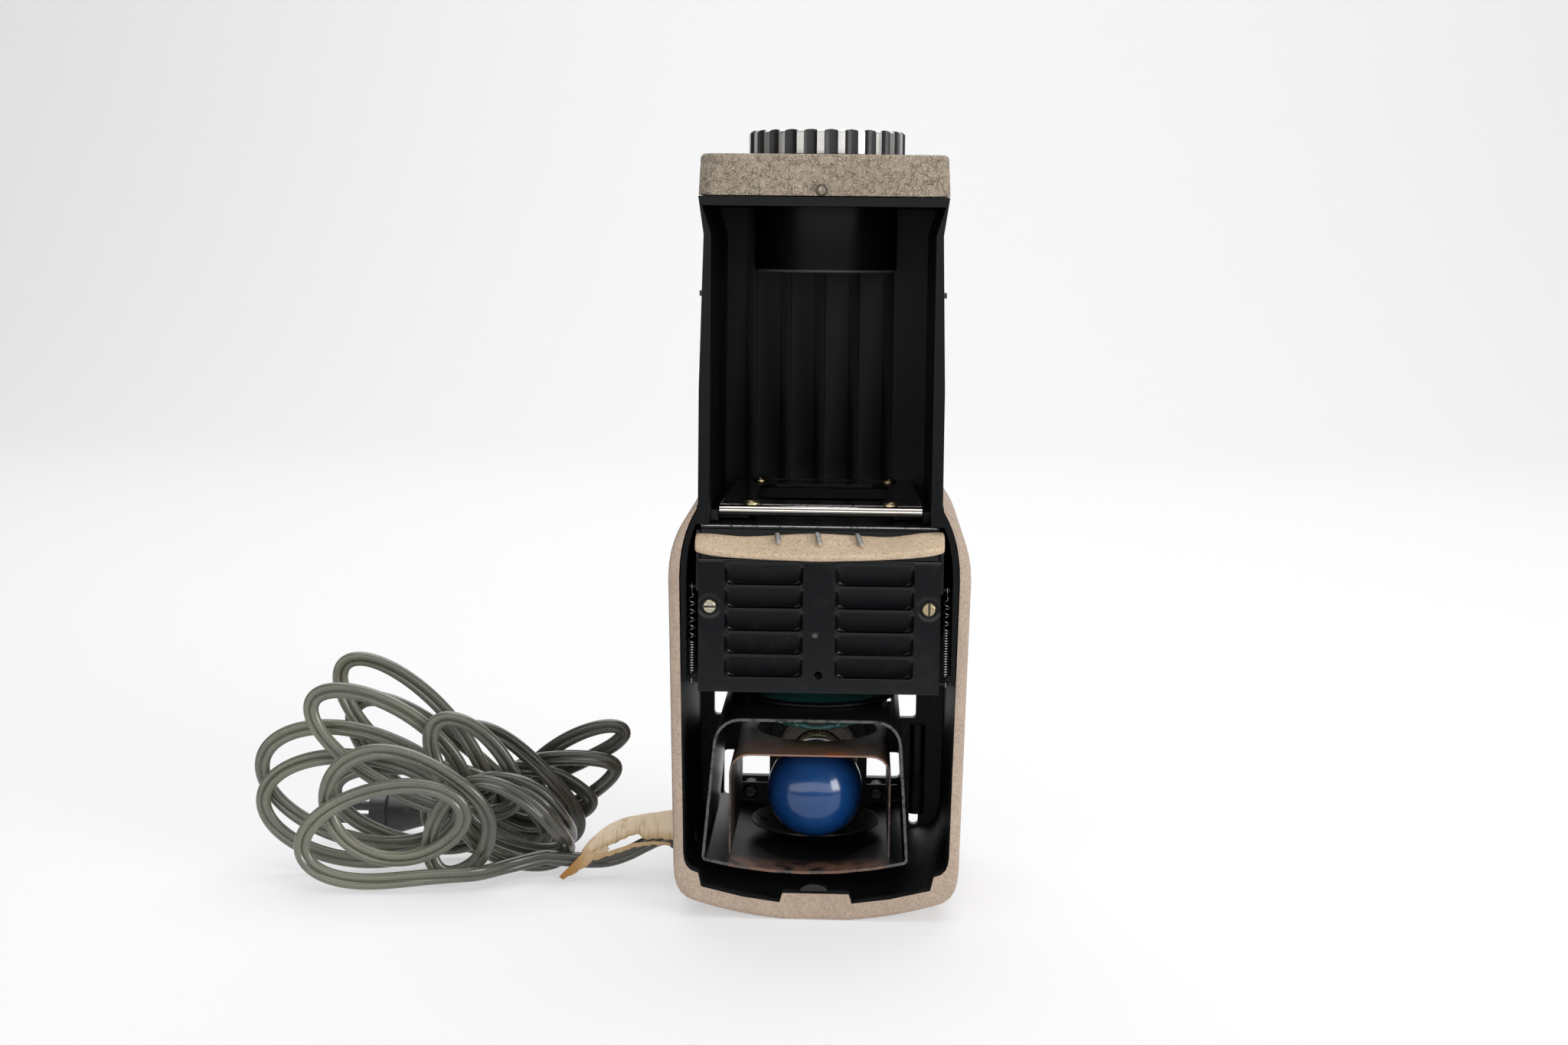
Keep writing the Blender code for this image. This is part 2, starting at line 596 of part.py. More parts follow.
def block(name, low, high):
    """A box between two corners."""
    size = [b - a for a, b in zip(low, high)]
    middle = [(a + b) / 2 for a, b in zip(low, high)]
    work = bmesh.new()
    bmesh.ops.create_cube(work, size=1, matrix=Matrix.Translation(middle) @ Matrix.Diagonal((*size, 1)))
    return object_from(name, work)


def rod(name, start, end, radius, sides=16):
    """A round bar between two points."""
    start = Vector(start)
    end = Vector(end)
    turn = (end - start).to_track_quat('Z', 'Y').to_matrix().to_4x4()
    work = bmesh.new()
    bmesh.ops.create_cone(work, cap_ends=True, segments=sides, radius1=radius, radius2=radius,
                          depth=(end - start).length, matrix=Matrix.Translation((start + end) / 2) @ turn)
    return object_from(name, work)


def turned(name, profile, sides, place=(0, 0, 0), towards='UP', closed=True):
    """A profile of (radius, height) points turned about its axis, with a Screw modifier.

    The points run down the outer side. towards says which way the height runs: UP, FRONT (-Y),
    BACK (+Y), LEFT (-X) or RIGHT (+X).
    """
    mesh = bpy.data.meshes.new(name)
    count = len(profile)
    edges = [(i, i + 1) for i in range(count - 1)]
    if closed:
        edges.append((count - 1, 0))
    mesh.from_pydata([(r, 0, h) for r, h in profile], edges, [])
    piece = new_object(name, mesh)
    piece.location = place
    turns = {'UP': (0, 0, 0), 'FRONT': (math.pi / 2, 0, 0), 'BACK': (-math.pi / 2, 0, 0),
             'LEFT': (0, -math.pi / 2, 0), 'RIGHT': (0, math.pi / 2, 0)}
    piece.rotation_euler = turns[towards]
    screw = piece.modifiers.new("turn", 'SCREW')
    screw.steps = sides
    screw.render_steps = sides
    screw.use_merge_vertices = True
    screw.merge_threshold = MERGE
    screw.use_smooth_shade = True
    return piece


def flat_piece(name, outline, near, far, plane='XZ', filled=True, cyclic=True):
    """An outline given a thickness between near and far, across its plane.

    An XZ outline runs along Y, an XY outline along Z and a YZ outline along X. Unfilled, it is
    an open strip of sheet without its end faces.
    """
    curve = bpy.data.curves.new(name, 'CURVE')
    curve.dimensions = '2D'
    curve.fill_mode = 'BOTH' if filled else 'NONE'
    curve.extrude = (far - near) / 2
    spline = curve.splines.new('POLY')
    spline.points.add(len(outline) - 1)
    for point, (u, v) in zip(spline.points, outline):
        point.co = (u, v, 0, 1)
    spline.use_cyclic_u = cyclic
    middle = (near + far) / 2
    if plane == 'XZ':
        matrix = Matrix.Translation((0, middle, 0)) @ Matrix.Rotation(math.pi / 2, 4, 'X')
    elif plane == 'XY':
        matrix = Matrix.Translation((0, 0, middle))
    else:
        turn = Matrix(((0, 0, 1), (1, 0, 0), (0, 1, 0))).to_4x4()
        matrix = Matrix.Translation((middle, 0, 0)) @ turn
    return mesh_from_curve(name, curve, matrix)


def mesh_from_curve(name, curve, matrix):
    """Turns a curve into a welded mesh object and removes the curve."""
    guide = new_object(name + "_guide", curve)
    guide.matrix_world = matrix
    bpy.context.view_layer.update()
    evaluated = guide.evaluated_get(bpy.context.evaluated_depsgraph_get())
    mesh = bpy.data.meshes.new_from_object(evaluated)
    work = bmesh.new()
    work.from_mesh(mesh)
    bmesh.ops.remove_doubles(work, verts=work.verts, dist=MERGE)
    bmesh.ops.dissolve_limit(work, angle_limit=FLAT_ANGLE, verts=work.verts, edges=work.edges)
    piece = object_from(name, work)
    piece.matrix_world = matrix
    bpy.data.objects.remove(guide)
    bpy.data.curves.remove(curve)
    return piece


def round_end(piece, front, width, segments):
    """Rounds the edge of a flat piece's front or back end face."""
    work = bmesh.new()
    work.from_mesh(piece.data)
    height = max(v.co.z for v in work.verts)
    if not front:
        height = min(v.co.z for v in work.verts)
    edges = [e for e in work.edges
             if all(abs(v.co.z - height) < MERGE for v in e.verts)
             and any(abs(f.normal.z) < 0.5 for f in e.link_faces)]
    bmesh.ops.bevel(work, geom=edges, offset=width, segments=segments, profile=0.5, affect='EDGES')
    work.to_mesh(piece.data)
    work.free()
    return piece


def thicken(piece, sheet, offset):
    """Gives a sheet its thickness."""
    solidify = piece.modifiers.new("sheet", 'SOLIDIFY')
    solidify.thickness = sheet
    solidify.offset = offset
    solidify.use_even_offset = True
    return piece


def smooth(piece):
    """Shades a mesh smooth, sharp past SHARP_ANGLE."""
    piece.data.shade_smooth()
    piece.data.set_sharp_from_angle(angle=SHARP_ANGLE)
    return piece


def bezier(p0, p1, p2, p3, steps):
    """Points of a cubic from p0 to p3, both included."""
    points = []
    for i in range(steps + 1):
        t = i / steps
        a, b, c, d = (1 - t) ** 3, 3 * t * (1 - t) ** 2, 3 * t * t * (1 - t), t ** 3
        points.append(tuple(a * q0 + b * q1 + c * q2 + d * q3 for q0, q1, q2, q3 in zip(p0, p1, p2, p3)))
    return points


def shaped(start, end, shares, steps):
    """A cubic from start to end, whose handles are shares across and down the box between them."""
    handles = [(start[0] + (end[0] - start[0]) * u, start[1] + (end[1] - start[1]) * v) for u, v in shares]
    return bezier(start, handles[0], handles[1], end, steps)


def filleted(corners, radii, steps=4):
    """A closed outline whose corners are rounded, each with its own radius."""
    points = []
    count = len(corners)
    for i in range(count):
        corner = Vector(corners[i])
        before = (Vector(corners[i - 1]) - corner).normalized()
        after = (Vector(corners[(i + 1) % count]) - corner).normalized()
        if radii[i] == 0:
            points.append(tuple(corner))
            continue
        half_angle = before.angle(after) / 2
        reach = radii[i] / math.tan(half_angle)
        centre = corner + (before + after).normalized() * (radii[i] / math.sin(half_angle))
        first = corner + before * reach - centre
        last = corner + after * reach - centre
        swing = first.angle_signed(last)
        for k in range(steps + 1):
            share = k / steps
            turn = Matrix.Rotation(-swing * share, 2)
            points.append(tuple(centre + turn @ first))
    return points


def rounded_box(left, right, low, high, radius, steps=3):
    """A rectangle's outline with round corners."""
    corners = [(left, low), (right, low), (right, high), (left, high)]
    return filleted(corners, [radius] * 4, steps)


def mirrored(right_half):
    """A whole outline from its right half, top to bottom."""
    left_half = [(-x, z) for x, z in reversed(right_half) if x > MERGE]
    return [p for p in right_half if p[0] > -MERGE] + left_half


def smooth_path(route, steps):
    """Points of a smooth curve through the route's points."""
    ends = [2 * Vector(route[0]) - Vector(route[1])]
    ends += [Vector(p) for p in route]
    ends.append(2 * Vector(route[-1]) - Vector(route[-2]))
    points = []
    for i in range(1, len(ends) - 2):
        p0, p1, p2, p3 = ends[i - 1:i + 3]
        for k in range(steps):
            t = k / steps
            points.append(0.5 * (2 * p1 + (p2 - p0) * t + (2 * p0 - 5 * p1 + 4 * p2 - p3) * t ** 2
                                 + (3 * p1 - p0 - 3 * p2 + p3) * t ** 3))
    points.append(Vector(route[-1]))
    return points


def tube(name, points, radius, resolution, radii=None):
    """A round tube along points, with closed ends."""
    curve = bpy.data.curves.new(name, 'CURVE')
    curve.dimensions = '3D'
    curve.fill_mode = 'FULL'
    curve.bevel_depth = radius
    curve.bevel_resolution = resolution
    curve.use_fill_caps = True
    spline = curve.splines.new('POLY')
    spline.points.add(len(points) - 1)
    for i, point in enumerate(points):
        spline.points[i].co = (*point, 1)
        if radii:
            spline.points[i].radius = radii[i] / radius
    return new_object(name, curve)


def segment_gaps(path):
    """Distance between every two segments of a path, and the shares along both where they are nearest."""
    start = path[:-1]
    run = path[1:] - start
    between = start[:, None] - start[None]
    uu = (run * run).sum(axis=1)[:, None]
    vv = uu.T
    uv = run @ run.T
    uw = (run[:, None] * between).sum(axis=2)
    vw = (run[None] * between).sum(axis=2)
    spread = np.maximum(uu * vv - uv * uv, 1e-9 * uu * vv)
    s = np.clip((uv * vw - vv * uw) / spread, 0, 1)
    t = np.clip((uv * s + vw) / vv, 0, 1)
    s = np.clip((uv * t - uw) / uu, 0, 1)
    nearest = between + run[:, None] * s[..., None] - run[None] * t[..., None]
    return np.linalg.norm(nearest, axis=2), s, t


def far_along(path, skip):
    """True for the pairs of segments with at least skip of the path between them."""
    length = np.concatenate(([0.0], np.cumsum(np.linalg.norm(path[1:] - path[:-1], axis=1))))
    return length[None, :-1] - length[1:, None] >= skip, length[-1]


def least_gap(points, radius, skip):
    """Least space between stretches of a tube that are at least skip apart along it, and its length."""
    path = np.array([tuple(p) for p in points])
    apart, length = far_along(path, skip)
    return segment_gaps(path)[0][apart].min() - 2 * radius, length


def spread_in_depth(points, before, radius, gap, skip):
    """Eases the bends, then moves crossing stretches apart along Y, the later one further back.

    The points before the first stay where they are, and the rest keeps clear of them too.
    """
    path = np.array([tuple(p) for p in before + points])
    count = len(path)
    order = np.minimum(np.arange(count) - len(before), np.arange(count)[::-1])
    held = np.clip(order / HELD_POINTS - 0.5, 0, 1)
    for pass_number in range(EASING_PASSES):
        bend = (path[:-2] + path[2:]) / 2 - path[1:-1]
        path[1:-1] += bend / 2 * held[1:-1, None]
    for pass_number in range(SPREAD_PASSES):
        distance, s, t = segment_gaps(path)
        apart = far_along(path, skip)[0]
        i, j = np.nonzero(apart & (distance < 2 * radius + gap))
        if len(i) == 0:
            break
        push = (2 * radius + gap - distance[i, j]) / 2 + gap / 8
        shift = np.zeros(count)
        for index, amount in ((i, -push * (1 - s[i, j])), (i + 1, -push * s[i, j]),
                              (j, push * (1 - t[i, j])), (j + 1, push * t[i, j])):
            least = np.zeros(count)
            most = np.zeros(count)
            np.minimum.at(least, index, amount)
            np.maximum.at(most, index, amount)
            shift += least + most
        for pass_over in range(3):
            shift[1:-1] = (shift[:-2] + 2 * shift[1:-1] + shift[2:]) / 4
        path[:, 1] += shift * held
    return [Vector(p) for p in path[len(before):]]


# Lamp-house shell: a shell with an S-shaped shoulder on each side and a bowed rear wall


def bow(x):
    """Height of the bowed rear wall's outer face at x, cut flat to stand on."""
    radius = (CORNER_HALF ** 2 + BOW_RISE ** 2) / (2 * BOW_RISE)
    return max(0.0, radius - math.sqrt(radius ** 2 - x * x) - FLAT_CUT)


def shell_outline():
    half = shaped((SHELL_TOP_HALF, SHELL_TOP_Z), (SHELL_HALF, SHOULDER_Z), SHOULDER_SHARES, 8)
    half += shaped((SHELL_LOW_HALF, CORNER_Z), (CORNER_HALF, bow(CORNER_HALF)), CORNER_SHARES, 5)
    half += [(CORNER_HALF * k / 6, bow(CORNER_HALF * k / 6)) for k in (5, 4, 3)]
    flat_half = math.sqrt(FLAT_CUT * (CORNER_HALF ** 2 + BOW_RISE ** 2) / BOW_RISE)
    half.append((flat_half, 0.0))
    return mirrored(half)


def cavity_top():
    """Right half of the shell's opening from above its top down to the straight side."""
    start = (RIM_TOP_HALF, RIM_TOP_Z)
    shoulder = shaped(start, (RIM_HALF, SHOULDER_Z), RIM_SHOULDER_SHARES, 8)
    return [(RIM_TOP_HALF, SHELL_TOP_Z + OVERRUN)] + shoulder


def rim_outline():
    """Opening of the rim, with the notches and the tab that the cover takes hold of."""
    half = cavity_top()
    corner = (RIM_CORNER_HALF, RIM_CORNER_LOW_Z)
    half += shaped((RIM_LOW_HALF, RIM_CORNER_Z), corner, CORNER_SHARES, 4)
    half.append((NOTCH_HALF, bow(NOTCH_HALF) + RIM_FLOOR))
    middle = (NOTCH_HALF + TAB_HALF) / 2
    half.append((middle, bow(middle) + RIM_FLOOR))
    half.append((TAB_HALF + GRIP_ROUND, bow(TAB_HALF) + RIM_FLOOR))
    half.append((TAB_HALF, TAB_TOP_Z))
    return mirrored(half)


def cavity_outline():
    """Hollow of the shell behind its rim."""
    half = cavity_top()
    corner = (CAVITY_CORNER_HALF, bow(CAVITY_CORNER_HALF) + WALL_FLOOR)
    half += shaped((RIM_LOW_HALF, CAVITY_CORNER_Z), corner, CORNER_SHARES, 4)
    half += [(CAVITY_CORNER_HALF * k / 4, bow(CAVITY_CORNER_HALF * k / 4) + WALL_FLOOR) for k in (3, 2, 1)]
    return mirrored(half)


def lower_vent_outline():
    """Lower vent, whose left end reaches further down past the socket bracket."""
    step_x = LOWER_VENT_LEFT + STRIP_VENT_WIDTH
    corners = [(LOWER_VENT_LEFT, STRIP_VENT_LOW), (step_x, STRIP_VENT_LOW), (step_x, LOWER_VENT_LOW),
               (LOWER_VENT_RIGHT, LOWER_VENT_LOW), (LOWER_VENT_RIGHT, LOWER_VENT_HIGH),
               (LOWER_VENT_LEFT, LOWER_VENT_HIGH)]
    return filleted(corners, [VENT_ROUND, VENT_ROUND, 0, VENT_ROUND, VENT_ROUND, VENT_ROUND], 3)


def lamp_house_shell():
    shell = flat_piece("lamp_house_shell", shell_outline(), RIM_Y, UNDERSIDE_Y)
    round_end(shell, True, RIM_ROUND, 2)
    round_end(shell, False, UNDERSIDE_ROUND, 3)
    inner_face = UNDERSIDE_Y - UNDERSIDE_WALL
    cut(shell, flat_piece("rim_opening", rim_outline(), RIM_Y - OVERRUN, at(RIM_DEPTH) + OVERRUN))
    cut(shell, flat_piece("shell_hollow", cavity_outline(), at(RIM_DEPTH), inner_face))
    vents = (
        ("upper_vent",
         rounded_box(UPPER_VENT_LEFT, UPPER_VENT_RIGHT, UPPER_VENT_LOW, UPPER_VENT_HIGH, VENT_ROUND)),
        ("lower_vent", lower_vent_outline()),
        ("side_slot",
         rounded_box(SIDE_SLOT_LEFT, SIDE_SLOT_RIGHT, SIDE_SLOT_LOW, SIDE_SLOT_HIGH, VENT_ROUND)),
    )
    for name, outline in vents:
        cut(shell, flat_piece(name, outline, inner_face - OVERRUN, UNDERSIDE_Y + OVERRUN))
    for side, x in (("left", BRACKET_SCREW_LEFT), ("right", BRACKET_SCREW_RIGHT)):
        start = (x, at(BRACKET_FRONT) + BRACKET_SHEET + FIT_GAP, BRACKET_SCREW_Z)
        end = (x, inner_face + OVERRUN, BRACKET_SCREW_Z)
        fuse(shell, rod("bracket_boss_" + side, start, end, BRACKET_BOSS_RADIUS, 14))
        deep = (x, inner_face, BRACKET_SCREW_Z)
        near = (x, start[1] - OVERRUN, BRACKET_SCREW_Z)
        cut(shell, rod("bracket_boss_hole_" + side, near, deep, SMALL_SHANK_RADIUS + FIT_GAP, 10))
    hole_start = (GROMMET_COLLAR_X - OVERRUN, AXIS_Y, EXIT_Z)
    hole_end = (GROMMET_INNER_X + OVERRUN, AXIS_Y, EXIT_Z)
    cut(shell, rod("flex_hole", hole_start, hole_end, GROMMET_RADIUS + FIT_GAP, 16))
    return finish(smooth(shell), TAN)


# Bay chassis: the black moulding that carries lens and gate, and lines the shell's shoulders


def skirt_side(inset):
    """Shoulder and side of the skirt, this far inside the shell's opening."""
    shoulder = shaped((RIM_TOP_HALF, RIM_TOP_Z), (RIM_HALF, SHOULDER_Z), RIM_SHOULDER_SHARES, 8)
    drop = (RIM_HALF - RIM_LOW_HALF) * (SHOULDER_Z - SKIRT_END_Z) / (SHOULDER_Z - RIM_CORNER_Z)
    side = shoulder + [(RIM_HALF - drop, SKIRT_END_Z)]
    return [(x - inset, z) for x, z in side]


def bay_chassis():
    half = [(BAY_TOP_HALF, BAY_TOP_Z), (BAY_NECK_HALF, BAY_NECK_Z), (BAY_HALF, BAY_WAIST_Z)]
    half += skirt_side(SKIRT_GAP)
    back = UNDERSIDE_Y - UNDERSIDE_WALL - FIT_GAP
    chassis = flat_piece("bay_chassis", mirrored(half), RIM_Y, back)
    round_end(chassis, False, CHASSIS_BACK_ROUND, 2)
    trough_back = back - BAY_BACK_WALL
    trough = [(BAY_FLARE_HALF, BAY_TOP_Z - BULKHEAD), (BAY_INNER_HALF, BAY_NECK_Z),
              (BAY_INNER_HALF, SHELF_TOP_Z)]
    cut(chassis, flat_piece("bay_trough", mirrored(trough), RIM_Y - OVERRUN, trough_back))
    inside = [(x, z) for x, z in skirt_side(SKIRT_GAP + SKIRT_WALL) if z < SHELF_LOW_Z]
    inside = [(inside[0][0] - SKIRT_GAP, SHELF_LOW_Z)] + inside[:-1]
    inside.append((inside[-1][0], SKIRT_END_Z - OVERRUN))
    cut(chassis, flat_piece("skirt_hollow", mirrored(inside), RIM_Y - OVERRUN, back - SKIRT_BACK_WALL))
    slot_low = SHELF_LOW_Z - OVERRUN
    slot_high = SHELF_TOP_Z + OVERRUN
    slot_front = (-SLIDE_HALF, RIM_Y - OVERRUN, slot_low)
    slot_back = (SLIDE_HALF, at(SLIDE_STOP), slot_high)
    cut(chassis, block("slide_slot", slot_front, slot_back))
    front_end = (BAY_INNER_HALF, at(SHELF_FRONT), slot_high)
    cut(chassis, block("shelf_front_cut", (-BAY_INNER_HALF, RIM_Y - OVERRUN, slot_low), front_end))
    lip_end = (LIP_HALF + FIT_GAP, at(LIP_TONGUE_END) + FIT_GAP, slot_high)
    cut(chassis, block("lip_recess", (-LIP_HALF - FIT_GAP, RIM_Y - OVERRUN, slot_low), lip_end))
    top = (0, AXIS_Y, BAY_TOP_Z + OVERRUN)
    low = (0, AXIS_Y, BAY_TOP_Z - BULKHEAD - OVERRUN)
    cut(chassis, rod("lens_hole", top, low, SLEEVE_RADIUS + FIT_GAP, 48))
    for side, sign in (("left", -1), ("right", 1)):
        inner = (sign * (PIN_INNER - FIT_GAP), at(PIN_DEPTH), PIN_Z)
        outer = (sign * (PIN_OUTER + OVERRUN), at(PIN_DEPTH), PIN_Z)
        cut(chassis, rod("cover_pin_hole_" + side, inner, outer, PIN_RADIUS + FIT_GAP, 10))
    ribs = bmesh.new()
    for i in range(BAY_RIB_COUNT):
        x = BAY_RIB_MIDDLE + (i - BAY_RIB_COUNT // 2) * BAY_RIB_PITCH
        low = Vector((x - BAY_RIB_WIDTH / 2, trough_back - BAY_RIB_HEIGHT, SHELF_TOP_Z + OVERRUN))
        high = Vector((x + BAY_RIB_WIDTH / 2, trough_back + BAY_BACK_WALL / 2, BAY_TOP_Z - BULKHEAD / 2))
        place = Matrix.Translation((low + high) / 2) @ Matrix.Diagonal((*(high - low), 1))
        bmesh.ops.create_cube(ribs, size=1, matrix=place)
    fuse(chassis, object_from("bay_ribs", ribs))
    return finish(smooth(chassis), BLACK_PLASTIC)


# Front panel: a drafted cap over the bulkhead, with the lens opening


def front_panel():
    front = RIM_Y - PANEL_PROUD
    back = UNDERSIDE_Y - PANEL_BACK_STEP
    low_z = BAY_TOP_Z + FIT_GAP
    top_z = low_z + PANEL_HEIGHT
    outline = rounded_box(-PANEL_HALF, PANEL_HALF, front, back, PANEL_CORNER, 5)
    panel = flat_piece("front_panel", outline, low_z, top_z, 'XY')
    middle_y = (front + back) / 2
    for vertex in panel.data.vertices:
        if vertex.co.z > 0:
            vertex.co.x *= PANEL_TOP_SHARE
            vertex.co.y = middle_y + (vertex.co.y - middle_y) * PANEL_TOP_SHARE
    round_end(panel, True, PANEL_TOP_ROUND, 2)
    inner_half = PANEL_HALF - PANEL_WALL
    inner = rounded_box(-inner_half, inner_half, front + PANEL_WALL, back - PANEL_WALL,
                        PANEL_CORNER - PANEL_WALL, 3)
    cut(panel, flat_piece("panel_hollow", inner, low_z - OVERRUN, top_z - PANEL_WALL, 'XY'))
    bore = SLEEVE_RADIUS - SLEEVE_WALL + FIT_GAP
    cut(panel, rod("panel_bore", (0, AXIS_Y, low_z), (0, AXIS_Y, top_z + OVERRUN), bore, 40))
    screw_z = low_z + PANEL_SCREW_UP
    near = (PANEL_SCREW_X, front - OVERRUN, screw_z)
    far = (PANEL_SCREW_X, front + PANEL_WALL + OVERRUN, screw_z)
    cut(panel, rod("panel_screw_hole", near, far, SMALL_SHANK_RADIUS + FIT_GAP, 10))
    return finish(smooth(panel), TAN)


def head_profile(radius, head, shank_radius, shank):
    """Domed head on a plain shank: height 0 is the underside of the head."""
    rounding = head / 2
    return [(0, head), (radius - rounding, head), (radius, head - rounding), (radius, 0),
            (shank_radius, 0), (shank_radius, -shank), (0, -shank)]


def panel_screw():
    profile = head_profile(PANEL_SCREW_RADIUS, PANEL_SCREW_HEAD, SMALL_SHANK_RADIUS, SMALL_SHANK_LENGTH)
    place = (PANEL_SCREW_X, RIM_Y - PANEL_PROUD - FIT_GAP, BAY_TOP_Z + FIT_GAP + PANEL_SCREW_UP)
    return finish(turned("panel_screw", profile, 16, place, 'FRONT', False), TAN)


# Lens: fixed sleeve, sliding barrel with its glasses, and the fluted ring that turns in place


def lens_sleeve():
    inner = SLEEVE_RADIUS - SLEEVE_WALL
    flange_z = BAY_TOP_Z + FIT_GAP
    top_z = flange_z + SLEEVE_ABOVE
    profile = [(inner, top_z), (SLEEVE_RADIUS, top_z), (SLEEVE_RADIUS, flange_z + SLEEVE_FLANGE),
               (SLEEVE_FLANGE_RADIUS, flange_z + SLEEVE_FLANGE), (SLEEVE_FLANGE_RADIUS, flange_z),
               (SLEEVE_RADIUS, flange_z)]
    for k in range(3):
        angle = math.pi / 2 * k / 2
        profile.append((SLEEVE_RADIUS - SLEEVE_LIP_ROUND * (1 - math.cos(angle)),
                        SLEEVE_LOW_Z + SLEEVE_LIP_ROUND * (1 - math.sin(angle))))
    profile.append((inner, SLEEVE_LOW_Z))
    return finish(turned("lens_sleeve", profile, 32, (0, AXIS_Y, 0)), BLACK_PAINT)


def barrel_radius():
    return SLEEVE_RADIUS - SLEEVE_WALL - BARREL_CLEARANCE


def lens_barrel():
    outer = barrel_radius()
    inner = outer - BARREL_WALL
    top_z = BARREL_LOW_Z + BARREL_LENGTH
    profile = [(inner, top_z), (outer, top_z), (outer, BARREL_LOW_Z), (inner, BARREL_LOW_Z)]
    return finish(turned("lens_barrel", profile, 32, (0, AXIS_Y, 0)), BLACK_PAINT)


def lens_profile(radius, low_z, edge, low_crown, top_crown, steps):
    """Half section of a lens: crowned faces about an edge from low_z up."""
    points = []
    for k in range(steps + 1):
        r = radius * k / steps
        points.append((r, low_z + edge + top_crown * (1 - (r / radius) ** 2)))
    for k in range(steps, -1, -1):
        r = radius * k / steps
        points.append((r, low_z - low_crown * (1 - (r / radius) ** 2)))
    return points


def lens_glasses():
    radius = barrel_radius() - BARREL_WALL - GLASS_GAP
    place = (0, AXIS_Y, 0)
    front = lens_profile(radius, FRONT_LENS_Z, FRONT_LENS_EDGE, 0.0, FRONT_LENS_CROWN, 3)
    rear = lens_profile(radius, REAR_LENS_Z, REAR_LENS_EDGE, REAR_LENS_CROWN, 0.0, 3)
    finish(turned("front_lens", front, 20, place, 'UP', False), CLEAR_GLASS)
    finish(turned("rear_lens", rear, 20, place, 'UP', False), CLEAR_GLASS)
    low = FRONT_LENS_Z + FRONT_LENS_EDGE + FRONT_LENS_CROWN * (1 - (RETAINER_INNER / radius) ** 2) + FIT_GAP
    top = low + RETAINER_HEIGHT
    ring = [(RETAINER_INNER, top), (radius, top), (radius, low), (RETAINER_INNER, low)]
    finish(turned("lens_retaining_ring", ring, 24, place), BLACK_PAINT)


def focus_ring():
    low = BAY_TOP_Z + 2 * FIT_GAP + PANEL_HEIGHT
    top = low + RING_HEIGHT
    bore = barrel_radius() + RING_BORE_CLEARANCE
    profile = [(bore + RING_MOUTH, top), (RING_RADIUS - RING_CHAMFER_IN, top),
               (RING_RADIUS, top - RING_CHAMFER_UP),
               (RING_RADIUS, low), (bore, low), (bore, top - RING_MOUTH)]
    ring = turned("focus_ring", profile, 2 * FLUTE_COUNT, (0, AXIS_Y, 0))
    flutes = bmesh.new()
    reach = RING_RADIUS - FLUTE_DEPTH + FLUTE_RADIUS
    for i in range(FLUTE_COUNT):
        angle = 2 * math.pi * (i + FLUTE_START_SHARE) / FLUTE_COUNT
        place = Vector((reach * math.cos(angle), AXIS_Y + reach * math.sin(angle), (low + top) / 2))
        bmesh.ops.create_cone(flutes, cap_ends=True, segments=14, radius1=FLUTE_RADIUS,
                              radius2=FLUTE_RADIUS, depth=RING_HEIGHT + 2 * OVERRUN,
                              matrix=Matrix.Translation(place))
    cut(ring, object_from("ring_flutes", flutes))
    return finish(ring, ALUMINIUM)


# Slide gate: upper plate with its window, rolled lip and brass rivets


def gate_upper_plate():
    outline = [(-GATE_FRONT_HALF, at(GATE_FRONT)), (GATE_FRONT_HALF, at(GATE_FRONT)),
               (GATE_BACK_HALF, at(GATE_BACK)), (-GATE_BACK_HALF, at(GATE_BACK))]
    outline = filleted(outline, [0, 0, RIVET_HEAD_RADIUS, RIVET_HEAD_RADIUS])
    low = GATE_TOP_Z - GATE_SHEET
    plate = flat_piece("gate_upper_plate", outline, low, GATE_TOP_Z, 'XY')
    window = rounded_box(-GATE_WINDOW_HALF, GATE_WINDOW_HALF, at(GATE_WINDOW_FRONT), at(GATE_WINDOW_BACK),
                         GATE_WINDOW_CORNER, 5)
    cut(plate, flat_piece("gate_window", window, low - OVERRUN, GATE_TOP_Z + OVERRUN, 'XY'))
    for name, x, depth in rivet_places():
        place = (x, at(depth), low - OVERRUN)
        top = (x, at(depth), GATE_TOP_Z + OVERRUN)
        cut(plate, rod(name + "_hole", place, top, RIVET_SHANK_RADIUS + FIT_GAP, 12))
    return finish(plate, BLACK_PAINT)


def rivet_places():
    return [("gate_rivet_" + row + "_" + side, sign * RIVET_X, depth)
            for row, depth in (("front", RIVET_FRONT), ("back", RIVET_BACK))
            for side, sign in (("left", -1), ("right", 1))]


def gate_lip():
    """Rolled bead whose tongue lies under the plate's front edge, held by the front rivets."""
    top_of_bead = GATE_TOP_Z
    centre_z = top_of_bead - LIP_RADIUS
    tongue_top = GATE_TOP_Z - GATE_SHEET - FIT_GAP
    tongue_low = tongue_top - LIP_TONGUE
    outline = [(at(LIP_TONGUE_END), tongue_low), (at(LIP_TONGUE_END), tongue_top)]
    high_angle = math.asin((tongue_top - centre_z) / LIP_RADIUS)
    low_angle = math.asin((tongue_low - centre_z) / LIP_RADIUS)
    swing = 2 * math.pi - (high_angle - low_angle)
    for k in range(15):
        angle = high_angle + swing * k / 14
        edge = Vector((at(LIP_DEPTH), centre_z)) + LIP_RADIUS * Vector((math.cos(angle), math.sin(angle)))
        outline.append(tuple(edge))
    lip = flat_piece("gate_lip", outline, -LIP_HALF, LIP_HALF, 'YZ')
    for name, x, depth in rivet_places()[:2]:
        start = (x, at(depth), tongue_low - OVERRUN)
        end = (x, at(depth), tongue_top + OVERRUN)
        cut(lip, rod(name + "_lip_hole", start, end, RIVET_SHANK_RADIUS + FIT_GAP, 12))
    return finish(smooth(lip), BRIGHT_STEEL)


